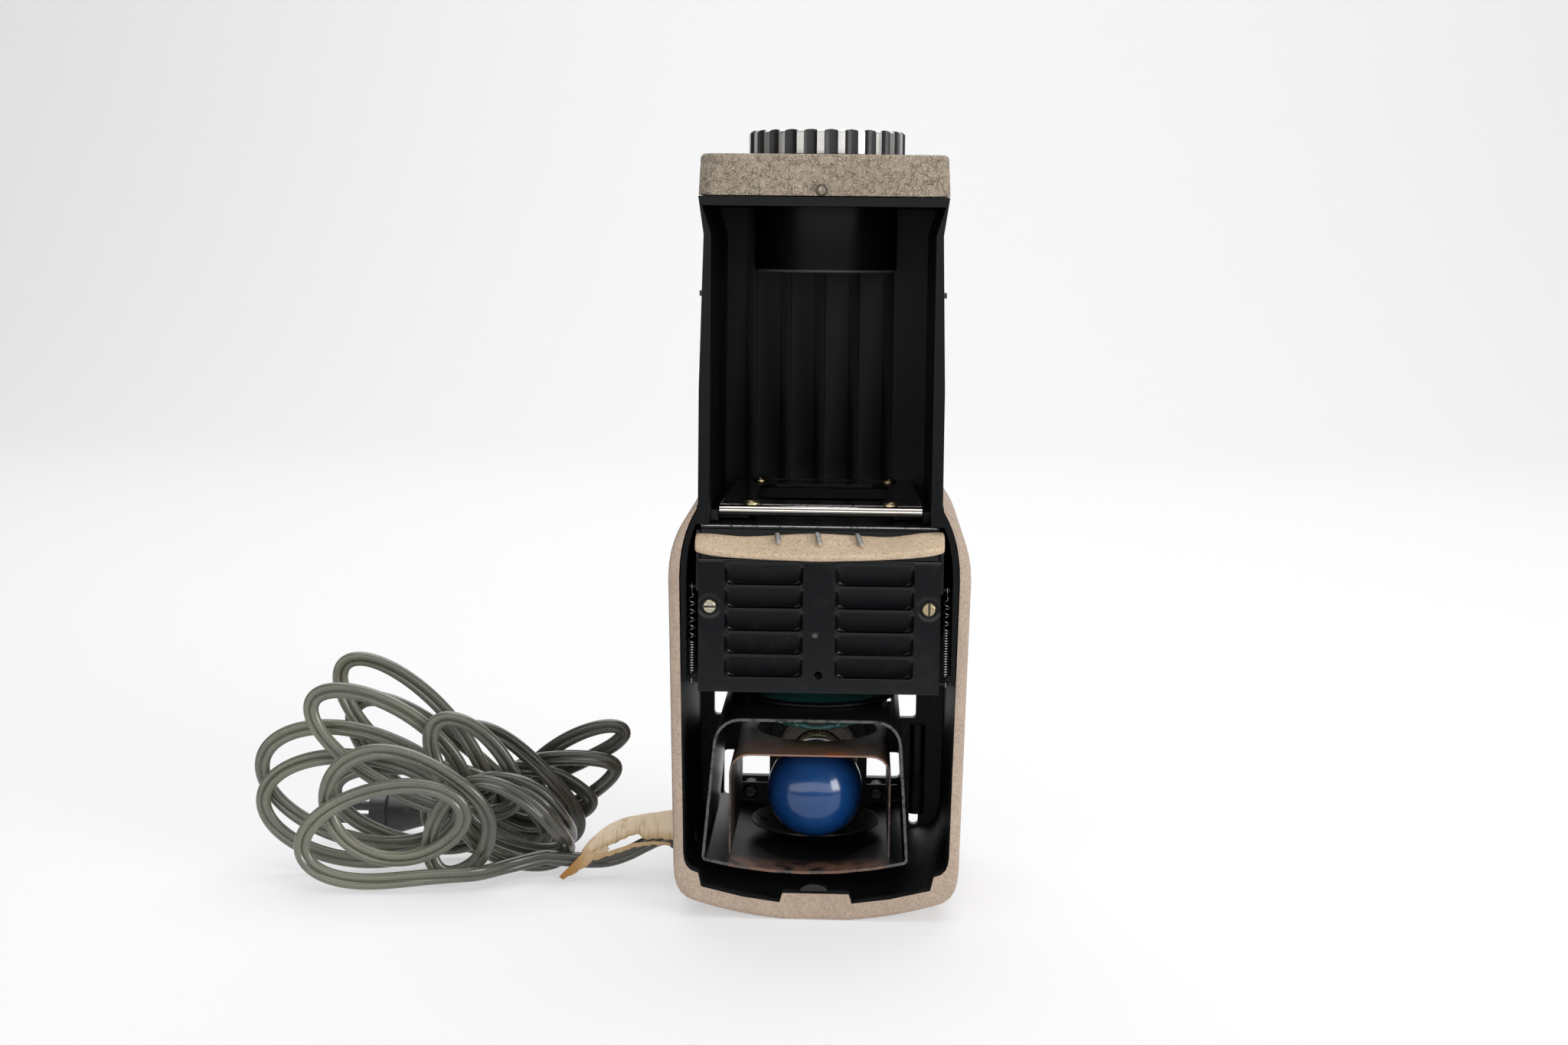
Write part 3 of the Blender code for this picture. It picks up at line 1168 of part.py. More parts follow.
def gate_rivets():
    for name, x, depth in rivet_places():
        shank = GATE_SHEET + FIT_GAP
        if depth == RIVET_FRONT:
            shank += FIT_GAP + LIP_TONGUE
        profile = head_profile(RIVET_HEAD_RADIUS, RIVET_HEAD, RIVET_SHANK_RADIUS, shank)
        finish(turned(name, profile, 12, (x, at(depth), GATE_TOP_Z + FIT_GAP), 'UP', False), BRASS)


# Carriage: lower gate plate, frame with the front condenser, louvred cover and finger grip


def gate_lower_plate():
    outline = [(-PLATE_FRONT_HALF, at(PLATE_FRONT)), (PLATE_FRONT_HALF, at(PLATE_FRONT)),
               (PLATE_BACK_HALF, at(PLATE_BACK)), (-PLATE_BACK_HALF, at(PLATE_BACK))]
    outline = filleted(outline, [0, 0, PANEL_CORNER, PANEL_CORNER])
    low = PLATE_TOP_Z - PLATE_SHEET
    plate = flat_piece("gate_lower_plate", outline, low, PLATE_TOP_Z, 'XY')
    window = rounded_box(-PLATE_WINDOW_HALF, PLATE_WINDOW_HALF,
                         AXIS_Y - PLATE_WINDOW_HALF, AXIS_Y + PLATE_WINDOW_HALF,
                         PLATE_WINDOW_CORNER)
    cut(plate, flat_piece("lower_plate_window", window, low - OVERRUN, PLATE_TOP_Z + OVERRUN, 'XY'))
    return finish(plate, BLACK_PAINT)


def carriage_frame():
    top_z = PLATE_TOP_Z - PLATE_SHEET - FIT_GAP
    step_z = COVER_TOP_Z + FIT_GAP
    side = [(at(FRAME_FRONT), FRAME_LOW_Z), (at(FRAME_FRONT), step_z), (at(FRAME_FACE_FRONT), step_z),
            (at(FRAME_FACE_FRONT), top_z), (at(FRAME_BACK), top_z), (at(FRAME_BACK), FRAME_LOW_Z)]
    frame = flat_piece("carriage_frame", side, -FRAME_HALF, FRAME_HALF, 'YZ')
    inner = FRAME_HALF - FRAME_WALL
    inner_back = at(FRAME_BACK) - FRAME_WALL
    open_y = at(FRAME_FACE_FRONT) - OVERRUN
    shelf_y = at(LENS_SHELF_FRONT)
    shelf_top = LENS_SHELF_Z + LENS_SHELF
    face_y = at(FRAME_FACE_FRONT) + FRAME_FACE_WALL
    low_z = FRAME_LOW_Z - OVERRUN
    hollow = [(open_y, low_z), (open_y, step_z), (face_y, step_z), (face_y, top_z - FRAME_WALL),
              (inner_back, top_z - FRAME_WALL), (inner_back, shelf_top), (shelf_y, shelf_top),
              (shelf_y, LENS_SHELF_Z), (inner_back, LENS_SHELF_Z), (inner_back, low_z)]
    cut(frame, flat_piece("frame_hollow", hollow, -inner, inner, 'YZ'))
    window_half = PLATE_WINDOW_HALF + OVERRUN
    window = rounded_box(-window_half, window_half, AXIS_Y - window_half, AXIS_Y + window_half,
                         PLATE_WINDOW_CORNER)
    cut(frame, flat_piece("frame_window", window, top_z - FRAME_WALL - OVERRUN, top_z + OVERRUN, 'XY'))
    hole_low = (0, AXIS_Y, LENS_SHELF_Z - OVERRUN)
    hole_top = (0, AXIS_Y, shelf_top + OVERRUN)
    cut(frame, rod("condenser_hole", hole_low, hole_top, CONDENSER_SEAT_RADIUS, 32))
    for side_name, sign in (("left", -1), ("right", 1)):
        low = (sign * BOSS_INNER_X, at(FRAME_FRONT), COVER_SCREW_Z - BOSS_HALF_HEIGHT)
        high = (sign * (FRAME_HALF - FRAME_WALL / 2), at(BOSS_BACK), COVER_SCREW_Z + BOSS_HALF_HEIGHT)
        low, high = ([min(a, b) for a, b in zip(low, high)], [max(a, b) for a, b in zip(low, high)])
        fuse(frame, block("cover_boss_" + side_name, low, high))
        near = (sign * COVER_SCREW_X, at(FRAME_FRONT) - OVERRUN, COVER_SCREW_Z)
        far = (sign * COVER_SCREW_X, at(COVER_FRONT) + COVER_SCREW_LENGTH + FIT_GAP, COVER_SCREW_Z)
        cut(frame, rod("cover_boss_hole_" + side_name, near, far, SMALL_SHANK_RADIUS + FIT_GAP, 10))
        start = (sign * (FRAME_HALF - FRAME_WALL / 2), at(PEG_DEPTH), LOWER_PEG_Z)
        end = (sign * PEG_END, at(PEG_DEPTH), LOWER_PEG_Z)
        fuse(frame, rod("lower_peg_" + side_name, start, end, PEG_RADIUS, 10))
    return finish(frame, BLACK_PAINT)


def front_condenser_lens():
    low = LENS_SHELF_Z + LENS_SHELF + FIT_GAP
    profile = lens_profile(CONDENSER_RADIUS, low, CONDENSER_EDGE, 0.0, CONDENSER_CROWN, 4)
    return finish(turned("front_condenser_lens", profile, 24, (0, AXIS_Y, 0), 'UP', False), CLEAR_GLASS)


def louvre_columns():
    """Column places of the cover's sheet, each with the depth share of a louvre there."""
    width = LOUVRE_OUTER_X - LOUVRE_INNER_X
    right = [(LOUVRE_INNER_X + width * share, depth) for share, depth in LOUVRE_COLUMN_SHARES]
    left = [(-x, depth) for x, depth in reversed(right)]
    return [(-COVER_HALF, 0.0)] + left + right + [(COVER_HALF, 0.0)]


def louvred_cover():
    """One sheet in which each louvre is pressed in from its upper edge and cut free at its lower edge."""
    columns = louvre_columns()
    work = bmesh.new()
    front_y = at(COVER_FRONT)

    def row_of_points(z, depth_share):
        return [work.verts.new((x, front_y + LOUVRE_DEPTH * depth_share * share, z)) for x, share in columns]

    def join_rows(upper, lower):
        for a, b, c, d in zip(upper, upper[1:], lower[1:], lower):
            if len({a, b, c, d}) == 4:
                work.faces.new((d, c, b, a))

    above = row_of_points(COVER_TOP_Z, 0.0)
    for i in range(LOUVRE_ROWS):
        top_z = LOUVRE_TOP_Z - i * LOUVRE_PITCH
        for height_share, depth_share in LOUVRE_ROW_SHARES:
            row = row_of_points(top_z - LOUVRE_HEIGHT * height_share, depth_share)
            join_rows(above, row)
            above = row
        lip = [vertex if share == 0 else work.verts.new((vertex.co.x, front_y, vertex.co.z))
               for vertex, (x, share) in zip(above, columns)]
        above = lip
    join_rows(above, row_of_points(COVER_LOW_Z, 0.0))
    mesh = bpy.data.meshes.new("louvred_cover")
    work.to_mesh(mesh)
    work.free()
    cover = thicken(new_object("louvred_cover", mesh), COVER_SHEET, -1)
    far_y = front_y + COVER_SHEET + OVERRUN
    near_y = front_y - OVERRUN
    for side, sign in (("left", -1), ("right", 1)):
        x = sign * COVER_SCREW_X
        hole = rod("cover_screw_hole_" + side, (x, near_y, COVER_SCREW_Z), (x, far_y, COVER_SCREW_Z),
                   SMALL_SHANK_RADIUS + FIT_GAP, 12)
        cut(cover, hole)
    cut(cover, rod("cover_hole", (0, near_y, COVER_HOLE_Z), (0, far_y, COVER_HOLE_Z), COVER_HOLE_RADIUS, 12))
    return finish(smooth(cover), BLACK_PAINT)


def slotted_screw(name, place, radius, head, shank, slot_along_x, colour):
    """Round-headed screw facing the open side, with its slot cut across."""
    screw = turned(name, head_profile(radius, head, SMALL_SHANK_RADIUS, shank), 16, place, 'FRONT', False)
    x, y, z = place
    across, along = radius + OVERRUN, SCREW_SLOT / 2
    half = (across, along) if slot_along_x else (along, across)
    low = (x - half[0], y - head - OVERRUN, z - half[1])
    high = (x + half[0], y - head / 2, z + half[1])
    cut(screw, block(name + "_slot", low, high))
    return finish(screw, colour)


def cover_screws():
    for side, sign, along_x in (("left", -1, True), ("right", 1, False)):
        place = (sign * COVER_SCREW_X, at(COVER_FRONT) - FIT_GAP, COVER_SCREW_Z)
        slotted_screw("cover_screw_" + side, place, COVER_SCREW_RADIUS, COVER_SCREW_HEAD,
                      COVER_SCREW_LENGTH, along_x, BRASS)


def grip_section(share):
    """Section of the finger grip at a share of its half width: (depth from the rim, height) points."""
    wave = (1 - math.cos(math.pi * abs(share) / GRIP_DIP_SHARE)) / 2
    top = GRIP_TOP_Z - GRIP_WAVE * wave + GRIP_END_RISE * share ** 4
    low = GRIP_LOW_Z + GRIP_LOW_BOW * share ** 2
    reach = GRIP_REACH - GRIP_END_DRAW * share ** 2
    edge = low + GRIP_EDGE_UP
    rounding = GRIP_ROUND
    return [(GRIP_BACK, top), (GRIP_BACK - rounding, top), (-reach + rounding, edge + rounding / 2),
            (-reach, edge - rounding / 2), (-reach, low + rounding), (-reach + rounding, low),
            (GRIP_BACK, low)]


def finger_grip():
    """Lofted bar: its top edge waves, its front bows out and its lower edge sags."""
    work = bmesh.new()
    loops = []
    for share in GRIP_STATION_SHARES:
        section = grip_section(share)
        shrink = 1.0
        if abs(share) == GRIP_STATION_SHARES[-1]:
            shrink = GRIP_END_SHARES[0]
        elif abs(share) == GRIP_STATION_SHARES[-2]:
            shrink = GRIP_END_SHARES[1]
        middle = sum(z for depth, z in section) / len(section)
        loop = [work.verts.new((GRIP_HALF * share, at(GRIP_BACK + (depth - GRIP_BACK) * shrink),
                                middle + (z - middle) * shrink)) for depth, z in section]
        loops.append(loop)
    for a, b in zip(loops, loops[1:]):
        for i in range(len(a)):
            k = (i + 1) % len(a)
            work.faces.new((a[i], a[k], b[k], b[i]))
    work.faces.new(loops[0])
    work.faces.new(loops[-1])
    grip = object_from("finger_grip", work)
    ribs = bmesh.new()
    for k in (-1, 0, 1):
        x = k * GRIP_RIB_PITCH
        section = grip_section(x / GRIP_HALF)
        upper, lower = Vector(section[1]), Vector(section[2])
        slope = (upper - lower).normalized()
        turn = Matrix.Rotation(math.atan2(slope.y, slope.x), 4, 'X')
        spot = upper - slope * GRIP_RIB_LENGTH * GRIP_RIB_PLACE_SHARE
        place = Matrix.Translation((x, at(spot.x), spot.y)) @ turn
        size = Matrix.Diagonal((GRIP_RIB_WIDTH, GRIP_RIB_LENGTH, GRIP_RIB_HEIGHT, 1))
        bmesh.ops.create_cube(ribs, size=1, matrix=place @ size)
    fuse(grip, object_from("grip_ribs", ribs))
    return finish(smooth(grip), TAN)


# Rails in which the carriage slides, and its two springs


def guide_rails():
    side = [(at(RAIL_FRONT), RAIL_LOW_Z), (at(RAIL_BACK), RAIL_LOW_Z), (at(RAIL_BACK), RAIL_TOP_Z),
            (at(RAIL_FRONT), RAIL_TOP_Z)]
    outline = filleted(side, [PEG_RADIUS, RAIL_CORNER, PEG_RADIUS, PEG_RADIUS], 3)
    for name, sign in (("left", -1), ("right", 1)):
        near, far = sorted((sign * RAIL_INNER, sign * (RAIL_INNER + RAIL_SHEET)))
        rail = flat_piece("guide_rail_" + name, outline, near, far, 'YZ')
        start = (sign * (RAIL_INNER + RAIL_SHEET / 2), at(PEG_DEPTH), UPPER_PEG_Z)
        end = (sign * PEG_END, at(PEG_DEPTH), UPPER_PEG_Z)
        fuse(rail, rod("upper_peg_" + name, start, end, PEG_RADIUS, 10))
        finish(rail, BLACK_PAINT)


def spring_points(x, open_curls, close_curls):
    """Loop on the upper peg, open curls, close curls, then the loop on the lower peg."""
    y = at(PEG_DEPTH)
    coil_top = UPPER_PEG_Z - SPRING_LOOP_RADIUS - SPRING_COIL_RADIUS
    coil_low = LOWER_PEG_Z + SPRING_LOOP_RADIUS + SPRING_COIL_RADIUS
    close_length = close_curls * SPRING_CLOSE_PITCH
    open_pitch = (coil_top - coil_low - close_length) / open_curls
    loop = []
    for k in range(10):
        angle = math.radians(-30 + 30 * k)
        loop.append((angle, k))
    points = []
    for angle, k in loop:
        points.append(Vector((x, y + SPRING_LOOP_RADIUS * math.cos(angle),
                              UPPER_PEG_Z + SPRING_LOOP_RADIUS * math.sin(angle))))
    total = (open_curls + close_curls) * CURL_POINTS
    z = coil_top
    for k in range(total + 1):
        angle = -math.pi / 2 + 2 * math.pi * k / CURL_POINTS
        grow = min(1.0, k / (CURL_POINTS / 2), (total - k) / (CURL_POINTS / 2))
        radius = SPRING_COIL_RADIUS * grow
        points.append(Vector((x + radius * math.cos(angle), y + radius * math.sin(angle), z)))
        pitch = open_pitch if k < open_curls * CURL_POINTS else SPRING_CLOSE_PITCH
        z -= pitch / CURL_POINTS
    for angle, k in reversed(loop):
        points.append(Vector((x, y - SPRING_LOOP_RADIUS * math.cos(angle),
                              LOWER_PEG_Z - SPRING_LOOP_RADIUS * math.sin(angle))))
    return points


def springs():
    for name, sign, open_curls, close_curls in (("left", -1, LEFT_SPRING_OPEN, LEFT_SPRING_CLOSE),
                                                ("right", 1, RIGHT_SPRING_OPEN, RIGHT_SPRING_CLOSE)):
        points = spring_points(sign * SPRING_X, open_curls, close_curls)
        gap, length = least_gap(points, SPRING_WIRE_RADIUS, SPRING_COIL_RADIUS * 3)
        print("spring", name, "least gap to itself mm", round(gap * 1000, 2))
        finish(tube("spring_" + name, points, SPRING_WIRE_RADIUS, 1), BRIGHT_STEEL)


# Lamp shields: an outer sheet tube and an arch inside it, both pierced for the light


def shield_floor(x):
    """Height of the outer shield's bowed floor, outside, at x."""
    middle = (SHIELD_LOW_LEFT + SHIELD_LOW_RIGHT) / 2
    half = (SHIELD_LOW_RIGHT - SHIELD_LOW_LEFT) / 2
    return SHIELD_LOW_Z + (SHIELD_SIDE_Z - SHIELD_LOW_Z) * ((x - middle) / half) ** 2


def outer_lamp_shield():
    width = SHIELD_LOW_RIGHT - SHIELD_LOW_LEFT
    corners = [(SHIELD_LOW_LEFT, SHIELD_SIDE_Z)]
    radii = [SHIELD_LOW_ROUND]
    for k in range(1, 6):
        x = SHIELD_LOW_LEFT + width * k / 6
        corners.append((x, shield_floor(x)))
        radii.append(0)
    corners += [(SHIELD_LOW_RIGHT, SHIELD_SIDE_Z), (SHIELD_TOP_RIGHT, SHIELD_TOP_Z),
                (SHIELD_TOP_LEFT, SHIELD_TOP_Z)]
    radii += [SHIELD_LOW_ROUND, SHIELD_TOP_ROUND, SHIELD_TOP_ROUND]
    outline = filleted(corners, radii, 5)
    back = UNDERSIDE_Y - UNDERSIDE_WALL - FIT_GAP
    shield = flat_piece("outer_lamp_shield", outline, at(SHIELD_FRONT), back, 'XZ', False)
    thicken(shield, SHIELD_SHEET, -1)
    low = (GLASS_X, AXIS_Y, SHIELD_TOP_Z - SHIELD_TOP_ROUND)
    top = (GLASS_X, AXIS_Y, SHIELD_TOP_Z + OVERRUN)
    cut(shield, rod("shield_hole", low, top, SHIELD_HOLE_RADIUS, 36))
    return finish(smooth(shield), BLACK_PAINT)


def inner_lamp_shield():
    corners = [(INNER_LEFT, INNER_LOW_Z), (INNER_LEFT, INNER_TOP_Z), (INNER_RIGHT, INNER_TOP_Z),
               (INNER_RIGHT, INNER_LOW_Z)]
    outline = filleted(corners, [0, INNER_ROUND, INNER_ROUND, 0], 5)
    shield = flat_piece("inner_lamp_shield", outline, at(INNER_FRONT), at(INNER_BACK), 'XZ', False, False)
    thicken(shield, INNER_SHEET, -1)
    low = (GLASS_X, AXIS_Y, INNER_TOP_Z - INNER_ROUND)
    top = (GLASS_X, AXIS_Y, INNER_TOP_Z + OVERRUN)
    cut(shield, rod("inner_shield_hole", low, top, INNER_HOLE_RADIUS, 32))
    return finish(smooth(shield), COPPER_TINT)


def rear_condenser_lens():
    low = GLASS_LOW_Z + GLASS_LOW_CROWN
    profile = lens_profile(GLASS_RADIUS, low, GLASS_EDGE, GLASS_LOW_CROWN, GLASS_TOP_CROWN, 5)
    place = (GLASS_X, AXIS_Y, 0)
    return finish(turned("rear_condenser_lens", profile, 28, place, 'UP', False), GREEN_GLASS)


def glass_clip_ring():
    """Ring over the glass's edge whose three legs pass down beside the glass and hook under it."""
    low = SHIELD_TOP_Z + FIT_GAP
    top = low + CLIP_SHEET
    profile = [(CLIP_INNER, top), (CLIP_OUTER, top), (CLIP_OUTER, low), (CLIP_INNER, low)]
    ring = turned("glass_clip_ring", profile, 28, (GLASS_X, AXIS_Y, 0))
    hook_top = GLASS_LOW_Z + GLASS_LOW_CROWN - 3 * FIT_GAP
    hook_low = hook_top - CLIP_SHEET
    legs = bmesh.new()
    centre = Matrix.Translation((GLASS_X, AXIS_Y, 0))
    for i in range(CLIP_LEG_COUNT):
        turn = Matrix.Rotation(2 * math.pi * i / CLIP_LEG_COUNT - math.pi / 2, 4, 'Z')
        side = [(CLIP_LEG_INNER - CLIP_LEG, hook_low), (CLIP_LEG_INNER + CLIP_LEG, hook_low),
                (CLIP_LEG_INNER + CLIP_LEG, top - CLIP_SHEET / 3), (CLIP_LEG_INNER, top - CLIP_SHEET / 3),
                (CLIP_LEG_INNER, hook_top), (CLIP_LEG_INNER - CLIP_LEG, hook_top)]
        ends = [[legs.verts.new(centre @ turn @ Vector((r, y, z))) for r, z in side]
                for y in (-CLIP_LEG_HALF, CLIP_LEG_HALF)]
        legs.faces.new(ends[0])
        legs.faces.new(ends[1])
        for k in range(len(side)):
            n = (k + 1) % len(side)
            legs.faces.new((ends[0][k], ends[0][n], ends[1][n], ends[1][k]))
    fuse(ring, object_from("clip_legs", legs))
    return finish(ring, BLACK_PAINT)


# Lamp, reflector, socket and bracket


def lamp_bulb():
    """Thin glass with a domed end, drawn in to a neck; open where its base is cemented on."""
    height = LAMP_NECK_END - LAMP_TIP
    body = LAMP_NECK_END - LAMP_BODY_END
    outer = []
    inner = []
    for wall, points in ((0.0, outer), (LAMP_GLASS, inner)):
        radius = LAMP_RADIUS - wall
        dome = height - LAMP_RADIUS
        for k in range(6):
            angle = k * math.pi / 10
            points.append((radius * math.sin(angle), dome + radius * math.cos(angle)))
        neck = LAMP_NECK_RADIUS - wall
        points += shaped((radius, body), (neck, 0.0), LAMP_NECK_SHARES, 4)
    place = (LAMP_X, at(LAMP_NECK_END), LAMP_Z)
    bulb = turned("lamp_bulb", outer + list(reversed(inner)), 24, place, 'FRONT', False)
    return finish(bulb, BLUE_GLASS)


def lamp_base():
    start = LAMP_NECK_END + FIT_GAP
    length = BASE_END - start
    profile = [(0, length), (BASE_RADIUS - FIT_GAP, length), (BASE_RADIUS, length - FIT_GAP),
               (BASE_RADIUS, BASE_STUD_RADIUS), (BASE_STUD_RADIUS * 2, BASE_STUD_RADIUS / 2),
               (BASE_STUD_RADIUS, BASE_STUD_RADIUS / 2), (BASE_STUD_RADIUS, 0), (0, 0)]
    return finish(turned("lamp_base", profile, 20, (LAMP_X, at(BASE_END), LAMP_Z), 'FRONT', False), BRASS)


def lamp_socket():
    length = SOCKET_BACK - SOCKET_FRONT
    bore = BASE_RADIUS + FIT_GAP
    rounding = FIT_GAP * 3
    profile = [(bore, length), (SOCKET_RADIUS - rounding, length), (SOCKET_RADIUS, length - rounding),
               (SOCKET_RADIUS, 0), (bore, 0)]
    return finish(turned("lamp_socket", profile, 24, (LAMP_X, at(SOCKET_BACK), LAMP_Z), 'FRONT'), CERAMIC)


def socket_bracket():
    lift = SHIELD_SHEET + BRACKET_FLOOR_GAP
    steps = 6
    lower = []
    for k in range(steps + 1):
        x = BRACKET_LEFT + (BRACKET_RIGHT - BRACKET_LEFT) * k / steps
        lower.append((x, shield_floor(x) + lift))
    tab_left = LAMP_X - BRACKET_TAB_HALF
    tab_right = LAMP_X + BRACKET_TAB_HALF
    upper = [(BRACKET_RIGHT, BRACKET_TOP_Z), (tab_right, BRACKET_TOP_Z), (tab_right, BRACKET_TAB_TOP_Z),
             (tab_left, BRACKET_TAB_TOP_Z), (tab_left, BRACKET_TOP_Z), (BRACKET_LEFT, BRACKET_TOP_Z)]
    radii = [0] * len(lower) + [0, 0, SHIELD_TOP_ROUND, SHIELD_TOP_ROUND, 0, 0]
    outline = filleted(lower + upper, radii, 4)
    near = at(BRACKET_FRONT)
    bracket = flat_piece("socket_bracket", outline, near, near + BRACKET_SHEET)
    far = near + BRACKET_SHEET + OVERRUN
    holes = (("lamp_hole", LAMP_X, LAMP_Z, BASE_RADIUS + FIT_GAP, 28),
             ("left_hole", BRACKET_SCREW_LEFT, BRACKET_SCREW_Z, SMALL_SHANK_RADIUS + FIT_GAP, 12),
             ("right_hole", BRACKET_SCREW_RIGHT, BRACKET_SCREW_Z, SMALL_SHANK_RADIUS + FIT_GAP, 12))
    for name, x, z, radius, sides in holes:
        cut(bracket, rod("bracket_" + name, (x, near - OVERRUN, z), (x, far, z), radius, sides))
    return finish(bracket, BLACK_PAINT)


def bracket_screws():
    for side, x in (("left", BRACKET_SCREW_LEFT), ("right", BRACKET_SCREW_RIGHT)):
        place = (x, at(BRACKET_FRONT) - FIT_GAP, BRACKET_SCREW_Z)
        slotted_screw("bracket_screw_" + side, place, BRACKET_SCREW_RADIUS, BRACKET_SCREW_HEAD,
                      BRACKET_SCREW_LENGTH, True, BRIGHT_STEEL)


def reflector():
    """Shallow dish under the lamp, on a stem that stands on the shield's floor."""
    stem_low = shield_floor(REFLECTOR_X) + SHIELD_SHEET + FIT_GAP
    steps = 4
    upper = []
    lower = []
    for k in range(steps + 1):
        r = REFLECTOR_RADIUS * k / steps
        z = REFLECTOR_RIM_Z - REFLECTOR_DEPTH * (1 - (k / steps) ** 2)
        upper.append((r, z))
        lower.append((r, z - REFLECTOR_SHEET))
    stem_share = (REFLECTOR_STEM_RADIUS / REFLECTOR_RADIUS) ** 2
    stem_z = REFLECTOR_RIM_Z - REFLECTOR_DEPTH * (1 - stem_share) - REFLECTOR_SHEET
    profile = upper + list(reversed(lower[1:]))
    profile += [(REFLECTOR_STEM_RADIUS, stem_z), (REFLECTOR_STEM_RADIUS, stem_low),
                                                   (0, stem_low)]
    return finish(turned("reflector", profile, 26, (REFLECTOR_X, AXIS_Y, 0), 'UP', False), BRIGHT_STEEL)


# Small pieces of the body


def cover_catch():
    low = TAB_TOP_Z + FIT_GAP
    outline = [(CATCH_X - CATCH_HALF, low)]
    for k in range(9):
        angle = math.pi * (1 - k / 8)
        rise = CATCH_HEIGHT * math.sin(angle)
        outline.append((CATCH_X + CATCH_HALF * math.cos(angle), low + FIT_GAP + rise))
    outline.append((CATCH_X + CATCH_HALF, low))
    return finish(smooth(flat_piece("cover_catch", outline, at(CATCH_FRONT), at(CATCH_BACK))), BRIGHT_STEEL)


def cover_pins():
    for side, sign in (("left", -1), ("right", 1)):
        inner = (sign * PIN_INNER, at(PIN_DEPTH), PIN_Z)
        outer = (sign * PIN_OUTER, at(PIN_DEPTH), PIN_Z)
        finish(smooth(rod("cover_pin_" + side, inner, outer, PIN_RADIUS, 12)), BLACK_PAINT)


def feet():
    back = UNDERSIDE_Y + FOOT_HEIGHT
    chassis_face = UNDERSIDE_Y - UNDERSIDE_WALL - FIT_GAP
    for row, z, face in (("rear", REAR_FOOT_Z, UNDERSIDE_Y), ("front", FRONT_FOOT_Z, chassis_face)):
        for side, sign in (("left", -1), ("right", 1)):
            length = back - face - FIT_GAP
            rounding = FOOT_HEIGHT / 4
            profile = [(0, length), (FOOT_RADIUS - rounding, length), (FOOT_RADIUS, length - rounding),
                       (FOOT_RADIUS + rounding / 2, 0), (0, 0)]
            place = (sign * FOOT_X, face + FIT_GAP, z)
            finish(turned("foot_" + row + "_" + side, profile, 18, place, 'BACK', False), RUBBER)


# Mains flex: grommet, taped stretch, loose tangle and plug


def flex_grommet():
    collar = GROMMET_INNER_X - GROMMET_COLLAR_X
    length = GROMMET_INNER_X - GROMMET_END_X
    profile = [(0, length), (GROMMET_TIP, length), (GROMMET_COLLAR, collar + GROMMET_RIM),
               (GROMMET_COLLAR, collar),
               (GROMMET_RADIUS, collar), (GROMMET_RADIUS, 0), (0, 0)]
    place = (GROMMET_INNER_X, AXIS_Y, EXIT_Z)
    return finish(turned("flex_grommet", profile, 18, place, 'LEFT', False), RUBBER)


def lead_route():
    """Free stretch from the grommet's tip to the tangle."""
    start_x, start_depth, start_z = TANGLE_START
    route = [(GROMMET_END_X - FIT_GAP, AXIS_Y, EXIT_Z)]
    route += [(x, at(depth), z) for x, depth, z in LEAD_ROUTE if x < GROMMET_END_X - FLEX_RADIUS]
    route += [(start_x + 2 * FLEX_RADIUS, at(start_depth), start_z), (start_x, at(start_depth), start_z)]
    return route


def flex_lead():
    points = smooth_path(lead_route(), LEAD_STEPS)
    finish(tube("flex_lead", points, FLEX_RADIUS, 2), FLEX_GREY)
    return points


def torn_tape(points):
    """Old tape wound loosely round the flex, tapering away from the wall."""
    inside = [p for p in points if p.x < TAPE_START_X]
    kept = inside[:len(inside) - len(inside) // 4]
    radii = []
    for i in range(len(kept)):
        place = i / (len(kept) - 1) * (len(TAPE_RADII) - 1)
        k = min(int(place), len(TAPE_RADII) - 2)
        radii.append(TAPE_RADII[k] + (TAPE_RADII[k + 1] - TAPE_RADII[k]) * (place - k))
    outer = tube("tape_outer", kept, TAPE_RADII[0], 3, radii)
    tape = mesh_from_curve("torn_tape", outer.data, Matrix.Identity(4))
    bore_radii = FLEX_RADIUS + TAPE_GAP
    bore_tube = tube("tape_bore_tube", points, bore_radii, 2)
    bore = mesh_from_curve("tape_bore", bore_tube.data, Matrix.Identity(4))
    cut(tape, bore)
    return finish(smooth(tape), CREAM_TAPE)


def loop_values(turn):
    """Loop sizes at a place in the tangle, blended over the last share of each turn."""
    k = min(int(turn), len(TANGLE_LOOPS) - 1)
    share = turn - k
    blend = max(0.0, (share - 1 + CLIMB_SHARE) / CLIMB_SHARE)
    blend = blend * blend * (3 - 2 * blend)
    here = TANGLE_LOOPS[k]
    there = TANGLE_LOOPS[min(k + 1, len(TANGLE_LOOPS) - 1)]
    values = [a + (b - a) * blend for a, b in zip(here, there)]
    return values, k + blend


